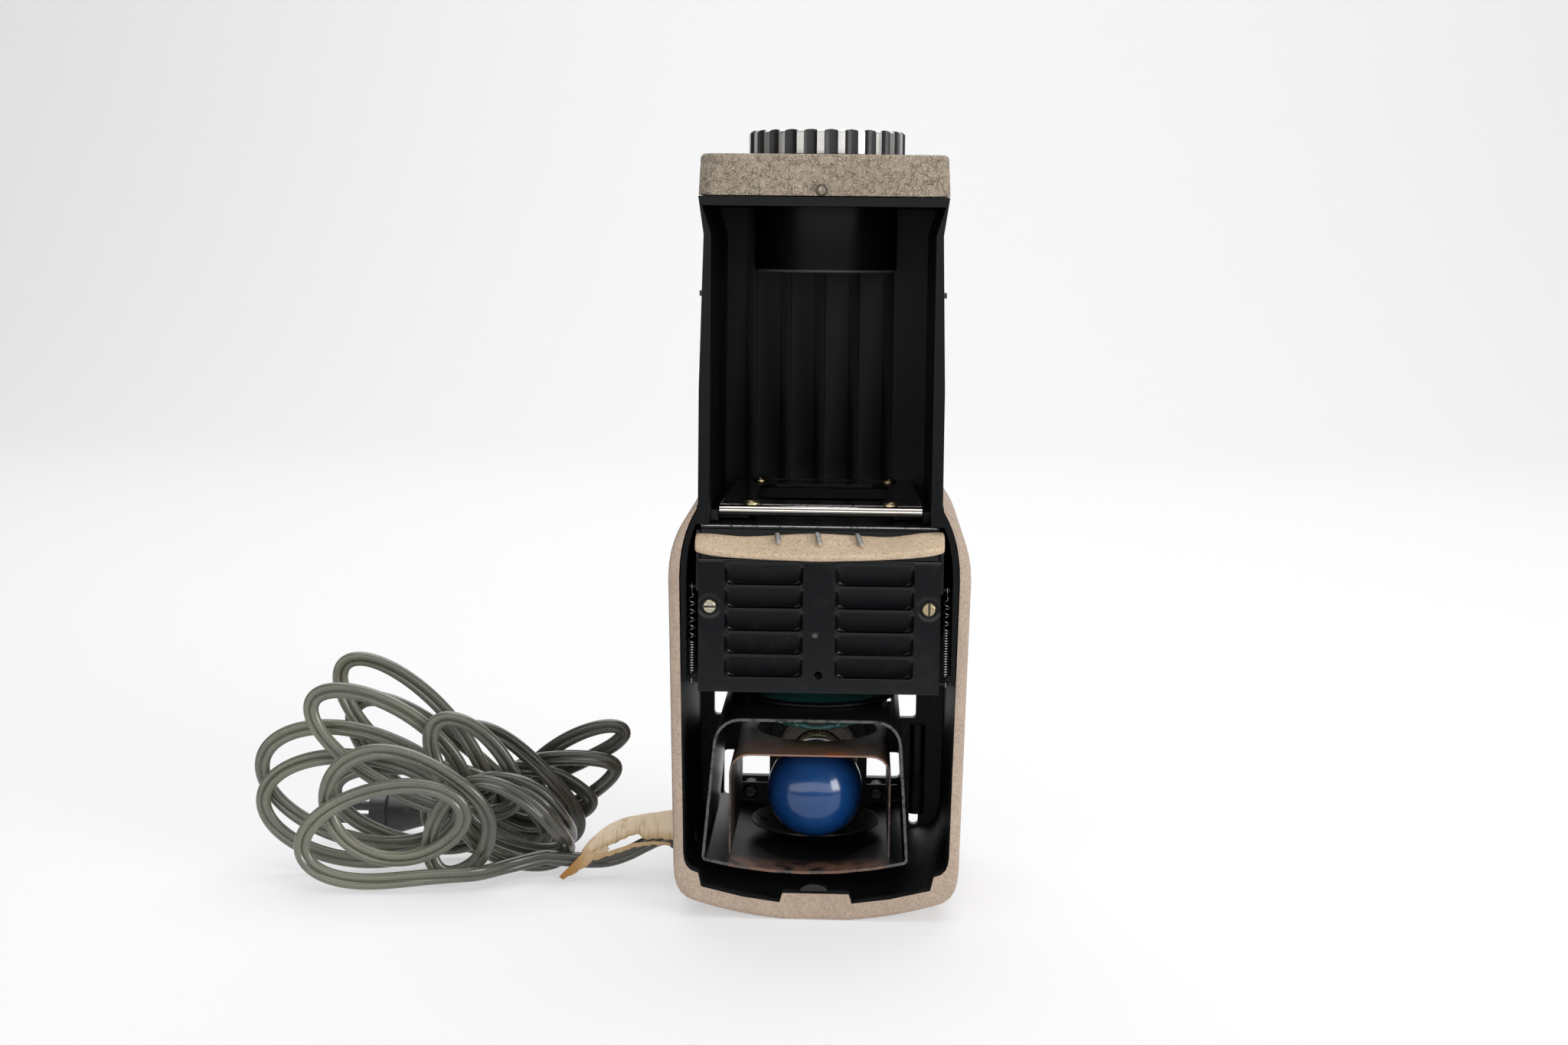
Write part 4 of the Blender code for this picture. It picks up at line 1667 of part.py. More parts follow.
def tangle_points():
    points = []
    for i in range(LOOP_POINTS * len(TANGLE_LOOPS) - LOOP_POINTS // 6):
        turn = i / LOOP_POINTS
        (x, z, long_half, short_half, tilt), layer = loop_values(turn)
        tilt = math.radians(tilt)
        angle = START_ANGLE - 2 * math.pi * turn - tilt
        u = long_half * math.cos(angle)
        v = short_half * math.sin(angle)
        height = math.hypot(long_half * math.sin(tilt), short_half * math.cos(tilt))
        middle = max(z, height + FLEX_RADIUS + FIT_GAP)
        depth = TANGLE_FRONT + LAYER_STEP * layer
        points.append(Vector((x + u * math.cos(tilt) - v * math.sin(tilt), at(depth),
                              middle + u * math.sin(tilt) + v * math.cos(tilt))))
    start_x, start_depth, start_z = TANGLE_START
    start = Vector((start_x - FIT_GAP, at(start_depth), start_z))
    lead_in = [start, start - Vector((2 * FLEX_RADIUS, 0, 0))]
    first = points[0]
    for share in LEAD_IN_SHARES:
        spot = lead_in[1].lerp(first, share)
        spot.z = max(FLEX_RADIUS + FIT_GAP, spot.z - FLEX_RADIUS * (1 - abs(2 * share - 1)))
        lead_in.append(spot)
    end = Vector((PLUG_X + FIT_GAP, at(PLUG_DEPTH), PLUG_Z))
    straight = end + Vector((3 * FLEX_RADIUS, 0, 0))
    last = points[-1]
    lead_out = [last.lerp(straight, share) for share in LEAD_OUT_SHARES]
    return lead_in + points + lead_out + [straight, end]


def flex_tangle():
    before = lead_route()[-NEAR_POINTS - 1:-1]
    points = spread_in_depth(tangle_points(), before, FLEX_RADIUS, TANGLE_GAP, FLEX_RADIUS * 7)
    gap, length = least_gap(points, FLEX_RADIUS, FLEX_RADIUS * 7)
    print("tangle least gap to itself mm", round(gap * 1000, 2), "length m", round(length, 3))
    return finish(tube("flex_tangle", points, FLEX_RADIUS, 1), FLEX_GREY)


def mains_plug():
    """Two-pin plug lying behind the tangle, its pins towards -X."""
    grip_length = PLUG_LENGTH - PLUG_FACE
    profile = [(0, 0), (PLUG_SMALL_RADIUS, 0), (PLUG_SMALL_RADIUS, -grip_length / 4),
               (PLUG_BIG_RADIUS, -grip_length),
               (PLUG_BIG_RADIUS, -PLUG_LENGTH), (0, -PLUG_LENGTH)]
    plug = turned("mains_plug", profile, 18, (PLUG_X, at(PLUG_DEPTH), PLUG_Z), 'RIGHT', False)
    face_x = PLUG_X - PLUG_LENGTH
    middle_y = at(PLUG_DEPTH)
    outline = rounded_box(middle_y - PLUG_FACE_HALF, middle_y + PLUG_FACE_HALF,
                          PLUG_Z - PLUG_BIG_RADIUS + FIT_GAP,
                          PLUG_Z + PLUG_BIG_RADIUS - FIT_GAP, PLUG_SMALL_RADIUS, 4)
    fuse(plug, flat_piece("plug_face", outline, face_x - FIT_GAP, face_x + PLUG_FACE, 'YZ'))
    for sign in (-1, 1):
        start = (face_x + PLUG_FACE / 2, middle_y + sign * PIN_PITCH / 2, PLUG_Z)
        end = (face_x - PLUG_PIN_LENGTH, middle_y + sign * PIN_PITCH / 2, PLUG_Z)
        fuse(plug, rod("plug_pin_" + str(sign), start, end, PLUG_PIN_RADIUS, 12))
    return finish(plug, BLACK_PLASTIC)


# Joints: an empty on each joint's axis carries what moves with it


def carry(name, place, names):
    holder = bpy.data.objects.new(name, None)
    holder.location = place
    parts.objects.link(holder)
    bpy.context.view_layer.update()
    for piece_name in names:
        piece = bpy.data.objects[piece_name]
        piece.parent = holder
        piece.matrix_parent_inverse = holder.matrix_world.inverted()


def build():
    for item in list(bpy.data.objects):
        bpy.data.objects.remove(item)
    bpy.context.scene.collection.children.link(parts)
    bpy.context.scene.collection.children.link(cutters)
    lamp_house_shell()
    bay_chassis()
    front_panel()
    panel_screw()
    lens_sleeve()
    lens_barrel()
    lens_glasses()
    focus_ring()
    gate_upper_plate()
    gate_lip()
    gate_rivets()
    gate_lower_plate()
    carriage_frame()
    front_condenser_lens()
    louvred_cover()
    cover_screws()
    finger_grip()
    guide_rails()
    springs()
    outer_lamp_shield()
    inner_lamp_shield()
    rear_condenser_lens()
    glass_clip_ring()
    lamp_bulb()
    lamp_base()
    lamp_socket()
    socket_bracket()
    bracket_screws()
    reflector()
    cover_catch()
    cover_pins()
    feet()
    flex_grommet()
    lead = flex_lead()
    torn_tape(lead)
    flex_tangle()
    mains_plug()
    carry("focus_axis", (0, AXIS_Y, BAY_TOP_Z + PANEL_HEIGHT), ["focus_ring"])
    carry("barrel_axis", (0, AXIS_Y, BARREL_LOW_Z),
          ["lens_barrel", "front_lens", "rear_lens", "lens_retaining_ring"])
    carry("carriage_axis", (0, AXIS_Y, PLATE_TOP_Z),
          ["gate_lower_plate", "carriage_frame", "front_condenser_lens", "louvred_cover", "cover_screw_left",
           "cover_screw_right", "finger_grip"])


build()
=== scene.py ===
"""Looks of a small slide projector that stands on its rear end with its top covers off.

Metres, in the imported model's frame: +Z is up and the way the picture is thrown, -Y is the open
side and faces the camera, +Y is the underside. A depth is measured backwards from the open rim.
"""
import json
import math

import bmesh
import bpy
import numpy as np
from mathutils import Matrix, Vector

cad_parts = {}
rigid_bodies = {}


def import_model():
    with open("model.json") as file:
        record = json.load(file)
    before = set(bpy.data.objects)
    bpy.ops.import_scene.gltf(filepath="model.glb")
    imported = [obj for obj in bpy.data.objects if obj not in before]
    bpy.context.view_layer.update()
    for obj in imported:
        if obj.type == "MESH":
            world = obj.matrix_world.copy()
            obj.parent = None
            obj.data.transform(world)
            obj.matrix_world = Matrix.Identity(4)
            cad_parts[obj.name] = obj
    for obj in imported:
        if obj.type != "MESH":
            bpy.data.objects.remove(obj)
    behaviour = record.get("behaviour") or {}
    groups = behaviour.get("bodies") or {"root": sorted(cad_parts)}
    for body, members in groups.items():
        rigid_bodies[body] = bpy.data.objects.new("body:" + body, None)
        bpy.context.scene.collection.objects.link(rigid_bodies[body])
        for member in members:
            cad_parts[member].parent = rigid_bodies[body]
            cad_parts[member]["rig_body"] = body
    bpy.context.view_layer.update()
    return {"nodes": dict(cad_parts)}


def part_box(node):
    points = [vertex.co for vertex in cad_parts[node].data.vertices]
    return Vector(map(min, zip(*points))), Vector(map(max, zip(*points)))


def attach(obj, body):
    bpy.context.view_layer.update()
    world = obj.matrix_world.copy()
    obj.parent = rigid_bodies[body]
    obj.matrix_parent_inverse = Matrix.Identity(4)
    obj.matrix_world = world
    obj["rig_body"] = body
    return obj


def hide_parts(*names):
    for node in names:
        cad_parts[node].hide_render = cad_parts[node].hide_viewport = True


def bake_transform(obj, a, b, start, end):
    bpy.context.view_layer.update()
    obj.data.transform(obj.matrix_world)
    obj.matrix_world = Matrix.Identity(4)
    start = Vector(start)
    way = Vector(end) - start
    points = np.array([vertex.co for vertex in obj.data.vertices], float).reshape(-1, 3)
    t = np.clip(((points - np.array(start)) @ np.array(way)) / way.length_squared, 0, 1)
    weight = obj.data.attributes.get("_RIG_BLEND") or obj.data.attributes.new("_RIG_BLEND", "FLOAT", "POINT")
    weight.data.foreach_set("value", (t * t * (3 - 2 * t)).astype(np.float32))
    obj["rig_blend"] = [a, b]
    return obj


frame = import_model()
nodes = frame["nodes"]


# Camera: a 50 mm lens on a 36 mm wide frame, 745 mm before the open rim and looking down a little.
# Its turn comes from the pixel where the body's long edges meet.

RIM_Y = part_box("bay_chassis")[0].y
AXIS_Y = (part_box("focus_ring")[0].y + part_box("focus_ring")[1].y) / 2
IMAGE_SIZE = (2048, 1365)
FOCAL_LENGTH = 50
SENSOR_WIDTH = 36
DEPTH_VANISHING_PIXEL = (1127, 300)
CAMERA_ROLL = math.radians(0.85)
CAMERA_AWAY = 0.745
CAMERA_PLACE = (0.0133, RIM_Y - CAMERA_AWAY, 0.2425)


def place_camera():
    """Turns the camera so that lines along +Y meet at the vanishing pixel and +Z leans by the roll."""
    focal_pixels = FOCAL_LENGTH / SENSOR_WIDTH * IMAGE_SIZE[0]
    away = Vector((DEPTH_VANISHING_PIXEL[0] - IMAGE_SIZE[0] / 2,
                   IMAGE_SIZE[1] / 2 - DEPTH_VANISHING_PIXEL[1], -focal_pixels)).normalized()
    lean = Vector((math.sin(CAMERA_ROLL), math.cos(CAMERA_ROLL), 0))
    up = (lean - away * lean.dot(away)).normalized()
    right = away.cross(up)
    data = bpy.data.cameras.new("camera")
    data.lens = FOCAL_LENGTH
    data.sensor_width = SENSOR_WIDTH
    camera = bpy.data.objects.new("camera", data)
    camera.matrix_world = Matrix.Translation(CAMERA_PLACE) @ Matrix((right, away, up)).to_4x4()
    bpy.context.scene.collection.objects.link(camera)
    bpy.context.scene.camera = camera


place_camera()


# Mains flex: a grey-green twin flex, two round cores side by side, lying in a loose tangle that
# starts under the torn tape and ends in a plug behind. It is one moulded PVC length.

FLEX_RADIUS = 0.0023
LEAD_START = (-0.0563, AXIS_Y, 0.0145)
# Route of the free stretch: x, depth behind the rim, z
LEAD_ROUTE = (
    (-0.0605, 0.0520, 0.0138),
    (-0.0660, 0.0516, 0.0112),
    (-0.0720, 0.0508, 0.0082),
    (-0.0790, 0.0492, 0.0062),
    (-0.0860, 0.0460, 0.0066),
)
TANGLE_START = (-0.0985, 0.0435, 0.0080)
TANGLE_FRONT = 0.0215
LAYER_STEP = 0.0043         # a loop lies this far behind the one before
LOOP_POINTS = 24
CLIMB_SHARE = 0.42          # of a turn, over which one loop goes over into the next
LEAD_IN_SHARES = (0.3, 0.55, 0.8)
LEAD_OUT_SHARES = (0.35, 0.7)
TANGLE_GAP = 0.0008
FIT_GAP = 0.0003
EASING_PASSES = 5
SPREAD_PASSES = 400
HELD_POINTS = 4
NEAR_POINTS = 4
PATH_STEPS = 5
START_ANGLE = -1.05         # radians
# Loops from front to back: x and z of the middle, half the length, half the width, tilt in degrees
TANGLE_LOOPS = (
    (-0.1560, 0.0170, 0.0360, 0.0185, 14.0),
    (-0.1570, 0.0320, 0.0255, 0.0220, -12.0),
    (-0.1295, 0.0225, 0.0210, 0.0125, 62.0),
    (-0.1115, 0.0200, 0.0245, 0.0165, -35.0),
    (-0.1200, 0.0345, 0.0365, 0.0150, -50.0),
    (-0.1540, 0.0480, 0.0430, 0.0165, -28.0),
    (-0.1745, 0.0235, 0.0380, 0.0215, -6.0),
    (-0.1735, 0.0325, 0.0415, 0.0230, -14.0),
    (-0.1545, 0.0230, 0.0335, 0.0150, -14.0),
    (-0.1545, 0.0535, 0.0385, 0.0155, -42.0),
    (-0.1530, 0.0410, 0.0340, 0.0155, -38.0),
    (-0.1250, 0.0060, 0.0290, 0.0145, 0.0),
    (-0.1225, 0.0295, 0.0280, 0.0155, -48.0),
    (-0.1110, 0.0150, 0.0220, 0.0155, -20.0),
    (-0.1075, 0.0235, 0.0210, 0.0135, 12.0),
    (-0.0980, 0.0305, 0.0295, 0.0125, 36.0),
)
PLUG_END = (-0.1517, 0.0980, 0.0092)
CORE_RADIUS = 0.0016
CORE_OFFSET = 0.0014
WEB_SHARE = 0.52            # the groove's floor over a core's radius
GROOVE_SHARE = 0.55         # half the groove's width over a core's offset
SECTION_POINTS = 40
FLEX_FLOOR = 0.0001
# Roll of the wide side: swing in radians, radians a metre, start
ROLLS = ((0.32, 31, 0), (0.16, 83, 1))
# painted shade: the flex darkens between these x towards the body
BODY_SHADE_X = (-0.150, -0.104)


def eased(share):
    """The smooth step 3 s^2 - 2 s^3 from 0 to 1."""
    return share * share * (3 - 2 * share)


def at(depth):
    """World y of a depth behind the open rim."""
    return RIM_Y + depth


def smooth_path(route, steps):
    """Points of a smooth curve through the route's points, steps to each stretch."""
    route = np.asarray(route, float)
    ends = np.concatenate(([2 * route[0] - route[1]], route, [2 * route[-1] - route[-2]]))
    p0, p1, p2, p3 = (ends[k:len(ends) - 3 + k][:, None] for k in range(4))
    t = (np.arange(steps) / steps)[None, :, None]
    curve = 0.5 * (2 * p1 + (p2 - p0) * t + (2 * p0 - 5 * p1 + 4 * p2 - p3) * t ** 2
                   + (3 * p1 - p0 - 3 * p2 + p3) * t ** 3)
    return np.concatenate((curve.reshape(-1, 3), route[-1:]))


def segment_gaps(path):
    """Distance between every two segments of a path, and the shares along both where they are nearest."""
    start = path[:-1]
    run = path[1:] - start
    between = start[:, None] - start[None]
    uu = (run * run).sum(axis=1)[:, None]
    vv = uu.T
    uv = run @ run.T
    uw = (run[:, None] * between).sum(axis=2)
    vw = (run[None] * between).sum(axis=2)
    spread = np.maximum(uu * vv - uv * uv, 1e-9 * uu * vv)
    s = np.clip((uv * vw - vv * uw) / spread, 0, 1)
    t = np.clip((uv * s + vw) / vv, 0, 1)
    s = np.clip((uv * t - uw) / uu, 0, 1)
    nearest = between + run[:, None] * s[..., None] - run[None] * t[..., None]
    return np.linalg.norm(nearest, axis=2), s, t


def spread_in_depth(path, before, radius, gap, skip):
    """Eases the bends, then moves crossing stretches apart along Y, the later one further back. The
    first points, as many as before says, are another piece's and stay where they are."""
    count = len(path)
    order = np.minimum(np.arange(count) - before, np.arange(count)[::-1])
    held = np.clip(order / HELD_POINTS - 0.5, 0, 1)
    for pass_number in range(EASING_PASSES):
        bend = (path[:-2] + path[2:]) / 2 - path[1:-1]
        path[1:-1] += bend / 2 * held[1:-1, None]
    for pass_number in range(SPREAD_PASSES):
        distance, s, t = segment_gaps(path)
        length = np.concatenate(([0.0], np.cumsum(np.linalg.norm(path[1:] - path[:-1], axis=1))))
        apart = length[None, :-1] - length[1:, None] >= skip
        i, j = np.nonzero(apart & (distance < 2 * radius + gap))
        if len(i) == 0:
            break
        push = (2 * radius + gap - distance[i, j]) / 2 + gap / 8
        shift = np.zeros(count)
        for index, amount in ((i, -push * (1 - s[i, j])), (i + 1, -push * s[i, j]),
                              (j, push * (1 - t[i, j])), (j + 1, push * t[i, j])):
            least = np.zeros(count)
            most = np.zeros(count)
            np.minimum.at(least, index, amount)
            np.maximum.at(most, index, amount)
            shift += least + most
        for pass_over in range(3):
            shift[1:-1] = (shift[:-2] + 2 * shift[1:-1] + shift[2:]) / 4
        path[:, 1] += shift * held
    return path[before:]


def loop_values(turn):
    """Loop sizes at a place in the tangle, blended over the last share of each turn."""
    k = min(int(turn), len(TANGLE_LOOPS) - 1)
    blend = eased(max(0.0, (turn - k - 1 + CLIMB_SHARE) / CLIMB_SHARE))
    there = TANGLE_LOOPS[min(k + 1, len(TANGLE_LOOPS) - 1)]
    return [a + (b - a) * blend for a, b in zip(TANGLE_LOOPS[k], there)], k + blend


def tangle_path():
    """The tangle's line: tilted ellipses one behind the other, joined at both ends to what they meet."""
    points = []
    for i in range(LOOP_POINTS * len(TANGLE_LOOPS) - LOOP_POINTS // 6):
        turn = i / LOOP_POINTS
        (x, z, long_half, short_half, tilt), layer = loop_values(turn)
        tilt = math.radians(tilt)
        angle = START_ANGLE - 2 * math.pi * turn - tilt
        u = long_half * math.cos(angle)
        v = short_half * math.sin(angle)
        height = math.hypot(long_half * math.sin(tilt), short_half * math.cos(tilt))
        middle = max(z, height + FLEX_RADIUS + FIT_GAP)
        depth = TANGLE_FRONT + LAYER_STEP * layer
        points.append(Vector((x + u * math.cos(tilt) - v * math.sin(tilt), at(depth),
                              middle + u * math.sin(tilt) + v * math.cos(tilt))))
    start_x, start_depth, start_z = TANGLE_START
    start = Vector((start_x - FIT_GAP, at(start_depth), start_z))
    lead_in = [start, start - Vector((2 * FLEX_RADIUS, 0, 0))]
    for share in LEAD_IN_SHARES:
        spot = lead_in[1].lerp(points[0], share)
        spot.z = max(FLEX_RADIUS + FIT_GAP, spot.z - FLEX_RADIUS * (1 - abs(2 * share - 1)))
        lead_in.append(spot)
    end = Vector((PLUG_END[0], at(PLUG_END[1]), PLUG_END[2]))
    straight = end + Vector((3 * FLEX_RADIUS, 0, 0))
    last = points[-1]
    lead_out = [last.lerp(straight, share) for share in LEAD_OUT_SHARES]
    before = [(x, at(depth), z) for x, depth, z in LEAD_ROUTE[1 - NEAR_POINTS:]]
    before.append((start_x + 2 * FLEX_RADIUS, at(start_depth), start_z))
    path = np.array(before + [tuple(p) for p in lead_in + points + lead_out + [straight, end]])
    return spread_in_depth(path, len(before), FLEX_RADIUS, TANGLE_GAP, FLEX_RADIUS * 7)


def flex_path():
    """The whole flex from the grommet to the plug, finely curved."""
    lead = [LEAD_START] + [(x, at(depth), z) for x, depth, z in LEAD_ROUTE]
    return smooth_path(np.concatenate((lead, tangle_path())), PATH_STEPS)


def surface(name, *grids, loop_rows=False, loop_columns=False):
    """A mesh over grids of points (rows, columns, 3), each joined end to end along what loops."""
    quads = []
    first = 0
    for grid in grids:
        rows, columns = grid.shape[:2]
        index = first + np.arange(rows * columns).reshape(rows, columns)
        if loop_rows:
            index = np.concatenate((index, index[:1]))
        if loop_columns:
            index = np.concatenate((index, index[:, :1]), axis=1)
        corners = (index[:-1, :-1], index[:-1, 1:], index[1:, 1:], index[1:, :-1])
        quads.append(np.stack(corners, axis=-1).reshape(-1, 4))
        first += rows * columns
    points = np.concatenate([grid.reshape(-1, 3) for grid in grids])
    mesh = bpy.data.meshes.new(name)
    mesh.from_pydata(points.tolist(), [], np.concatenate(quads).tolist())
    piece = bpy.data.objects.new(name, mesh)
    bpy.context.scene.collection.objects.link(piece)
    return piece


def keep(piece, name, values):
    """Keeps a number for each vertex, which a material reads by its name."""
    layer = piece.data.attributes.new(name, 'FLOAT', 'POINT')
    layer.data.foreach_set("value", np.ravel(values).astype(float))


def tidy(piece, sharp, closed=True):
    """Welds a mesh, shades it smooth up to a sharp angle and, where it is a closed solid, fills its open
    ends and faces it outwards."""
    work = bmesh.new()
    work.from_mesh(piece.data)
    bmesh.ops.remove_doubles(work, verts=work.verts, dist=1e-7)
    if closed:
        bmesh.ops.holes_fill(work, edges=[e for e in work.edges if e.is_boundary])
        bmesh.ops.recalc_face_normals(work, faces=work.faces)
    work.to_mesh(piece.data)
    work.free()
    piece.data.shade_smooth()
    piece.data.set_sharp_from_angle(angle=sharp)
    return piece


def twin_core_section(count):
    """Outline of two round cores moulded together: at each angle, the further edge of the two circles,
    with the groove between them filled to a share of the core's radius."""
    angle = np.linspace(0, 2 * math.pi, count, endpoint=False) + math.pi / count
    across = np.cos(angle) * (CORE_OFFSET + CORE_RADIUS)
    inside = np.maximum(CORE_RADIUS ** 2 - (np.abs(across) - CORE_OFFSET) ** 2, 0)
    web = WEB_SHARE * CORE_RADIUS * (np.abs(across) < CORE_OFFSET)
    return across, np.sign(np.sin(angle)) * np.maximum(np.sqrt(inside), web)


def flex_surface(path):
    """Sweeps the twin section along the path. The wide side lies in the loops' plane and rolls slowly."""
    along = np.gradient(path, axis=0)
    along /= np.linalg.norm(along, axis=1, keepdims=True)
    beside = np.cross(along, (0, 1, 0))
    beside /= np.linalg.norm(beside, axis=1, keepdims=True)
    through = np.cross(beside, along)
    run = np.concatenate(([0.0], np.cumsum(np.linalg.norm(path[1:] - path[:-1], axis=1))))
    roll = sum(swing * np.sin(run * rate + start) for swing, rate, start in ROLLS)[:, None]
    wide = beside * np.cos(roll) + through * np.sin(roll)
    thin = through * np.cos(roll) - beside * np.sin(roll)
    across, up = twin_core_section(SECTION_POINTS)
    grid = path[:, None] + wide[:, None] * across[None, :, None] + thin[:, None] * up[None, :, None]
    grid[..., 2] = np.maximum(grid[..., 2], FLEX_FLOOR)
    piece = surface("mains_flex", grid, loop_columns=True)
    groove = 1 - np.clip(np.abs(across) / (GROOVE_SHARE * CORE_OFFSET), 0, 1) ** 2
    keep(piece, "groove", np.tile(groove, len(path)))
    return tidy(piece, 1.2), run[-1]


flex_line = flex_path()
flex, flex_length = flex_surface(flex_line)


# Material building: every surface is a Principled shader fed by object coordinates, which are
# metres in the model's frame because each piece sits at the origin.


class Wire:
    """A value in a material's node tree. Arithmetic on it adds Math nodes, and node() any other node."""

    def __init__(self, tree, socket):
        self.tree = tree
        self.socket = socket

    def node(self, kind, inputs, output=0, **settings):
        """Adds a node with its settings, feeds its inputs with wires or constants, and returns an output."""
        made = self.tree.nodes.new(kind)
        for key, value in settings.items():
            setattr(made, key, value)
        for key, value in inputs.items():
            if isinstance(value, Wire):
                self.tree.links.new(value.socket, made.inputs[key])
            else:
                made.inputs[key].default_value = value
        return Wire(self.tree, made.outputs[output])

    def math(self, operation, *values):
        """Adds a Math node."""
        return self.node("ShaderNodeMath", dict(enumerate(values)), operation=operation)

    def vector(self, operation, other, output=0):
        """Adds a Vector Math node on this value and another."""
        return self.node("ShaderNodeVectorMath", {0: self, 1: other}, output, operation=operation)

    def __add__(self, other):
        return self.math('ADD', self, other)

    def __sub__(self, other):
        return self.math('SUBTRACT', self, other)

    def __rsub__(self, other):
        return self.math('SUBTRACT', other, self)

    def __mul__(self, other):
        return self.math('MULTIPLY', self, other)

    def __pow__(self, other):
        return self.math('POWER', self, other)

    def __abs__(self):
        return self.math('ABSOLUTE', self)

    __radd__ = __add__
    __rmul__ = __mul__

    def most(self, other):
        """The greater of this value and another."""
        return self.math('MAXIMUM', self, other)

    def rise(self, low, high):
        """0 below low, 1 above high and smooth between; low may be the greater, for a fall."""
        return self.node("ShaderNodeMapRange", {"Value": self, "From Min": low, "From Max": high},
                         interpolation_type='SMOOTHSTEP')

    def between(self, a, b):
        """A colour that goes from a to b as this value goes from 0 to 1."""
        return self.node("ShaderNodeMix", {0: self, 6: colour(a), 7: colour(b)}, 2, data_type='RGBA')

    def toward(self, a, b):
        """A number that goes from a to b as this value goes from 0 to 1."""
        return self * (b - a) + a


def colour(value):
    """A colour as four numbers, unless it is a wire."""
    return value if isinstance(value, Wire) else (*value, 1)


class Finish:
    """A material under construction, with its object coordinates and the noises that surfaces use."""

    def __init__(self, name):
        self.material = bpy.data.materials.new(name)
        self.material.use_nodes = True
        self.tree = self.material.node_tree
        self.shader = self.tree.nodes["Principled BSDF"]
        start = Wire(self.tree, None)
        self.place = start.node("ShaderNodeTexCoord", {}, "Object")
        self.facing = start.node("ShaderNodeTexCoord", {}, "Normal")
        self.x, self.y, self.z = (start.node("ShaderNodeSeparateXYZ", {0: self.place}, k) for k in range(3))

    def stretched(self, x, y, z):
        """Object coordinates scaled unlike along the three axes, for streaks and brush lines."""
        return self.place.vector('MULTIPLY', (x, y, z))

    def noise(self, scale, detail=3.0, roughness=0.55, place=None, output="Fac"):
        """Noise from 0 to 1, scale features a metre."""
        inputs = {"Vector": place or self.place, "Scale": scale, "Detail": detail, "Roughness": roughness}
        return self.place.node("ShaderNodeTexNoise", inputs, output)

    def cells(self, scale, place=None, feature='DISTANCE_TO_EDGE'):
        """Voronoi cells: the distance to their edges, or to their middles."""
        inputs = {"Vector": place or self.place, "Scale": scale}
        return self.place.node("ShaderNodeTexVoronoi", inputs, "Distance", feature=feature)

    def kept(self, name):
        """The number that a piece keeps for each of its vertices."""
        return self.place.node("ShaderNodeAttribute", {}, "Fac", attribute_name=name)

    def bumps(self, height, distance, strength):
        """A normal with a height field on it, in metres of distance."""
        inputs = {"Height": height, "Distance": distance, "Strength": strength}
        return self.place.node("ShaderNodeBump", inputs)

    def base(self):
        """What feeds the base colour so far."""
        return Wire(self.tree, self.shader.inputs["Base Color"].links[0].from_socket)

    def set(self, **values):
        """Feeds the shader's sockets: Base_Color stands for Base Color, and so on."""
        for key, value in values.items():
            socket = self.shader.inputs[key.replace("_", " ")]
            if isinstance(value, Wire):
                self.tree.links.new(value.socket, socket)
            else:
                socket.default_value = (*value, 1) if key.endswith("Color") else value
        return self


def patched(name, patches, colours, rough, share, bumps, **values):
    """A finish with one kind of patch. Noise (scale, detail, roughness) that rises between two levels
    goes from the first colour towards the second by a share, and from the first roughness to the
    second. The bumps are noise (scale, detail) with a height in metres and a strength."""
    finish = Finish(name)
    patch = finish.noise(*patches[:3]).rise(*patches[3:])
    grain = finish.noise(*bumps[:2])
    return finish.set(Base_Color=(patch * share).between(*colours), Roughness=patch.toward(*rough),
                      Normal=finish.bumps(grain, *bumps[2:]), **values)


def stand_for(piece, finish, *node_names):
    """The piece takes the place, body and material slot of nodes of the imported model."""
    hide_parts(*node_names)
    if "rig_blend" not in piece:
        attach(piece, nodes[node_names[0]]["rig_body"])
    piece.data.materials.clear()
    piece.data.materials.append(finish.material)


def flex_finish():
    """Aged PVC: grey-green with dusty grime, a glossy skin with small scuffs, a dark yellowish line of
    painted shade in the groove between the cores, and painted shade that darkens it towards the body."""
    finish = Finish("flex_pvc")
    groove = finish.kept("groove").rise(0.35, 0.85)
    patch = finish.noise(28, 3).rise(0.35, 0.68)
    grime = finish.noise(160, 5, 0.65).rise(0.5, 0.78)
    scuff = finish.noise(900, 3).rise(0.62, 0.72)
    # painted shade towards the body
    near_wall = finish.x.rise(*BODY_SHADE_X)
    fresh = patch.between((0.105, 0.110, 0.085), (0.150, 0.150, 0.108))
    # painted shade in the groove between the cores, dark and yellowish
    groove_shade = (groove * 0.92).between(fresh, (0.030, 0.031, 0.010))
    worn = (grime * 0.6).between(groove_shade, (0.075, 0.073, 0.060))
    scuffed = (scuff * 0.3).between(worn, (0.28, 0.28, 0.23))
    base = (near_wall * 0.8).between(scuffed, (0.030, 0.028, 0.024))
    return finish.set(Base_Color=base, Roughness=grime.toward(0.24, 0.40) + scuff * 0.1, Coat_Weight=0.5,
                      Coat_Roughness=0.22, Normal=finish.bumps(finish.noise(420, 4), 0.0001, 0.5))


stand_for(flex, flex_finish(), "flex_lead", "flex_tangle")


# Shapes that the pieces below share: a node's own solid refined, profiles turned round an axis,
# lines with rounded corners, and sheets.

SHARP_EDGE = 0.55           # radians
MERGE = 2e-6
FLAT_ANGLE = 0.012          # radians


def bevelled(piece, width, angle):
    """Rounds the edges that turn by more than an angle."""
    bevel = piece.modifiers.new("edges", 'BEVEL')
    bevel.width = width
    bevel.segments = 2
    bevel.limit_method = 'ANGLE'
    bevel.angle_limit = angle
    return bevel


def thickened(piece, thickness, offset):
    """Gives a sheet its thickness: behind the surface for an offset of -1, half to each side for 0."""
    solid = piece.modifiers.new("sheet", 'SOLIDIFY')
    solid.thickness = thickness
    solid.offset = offset


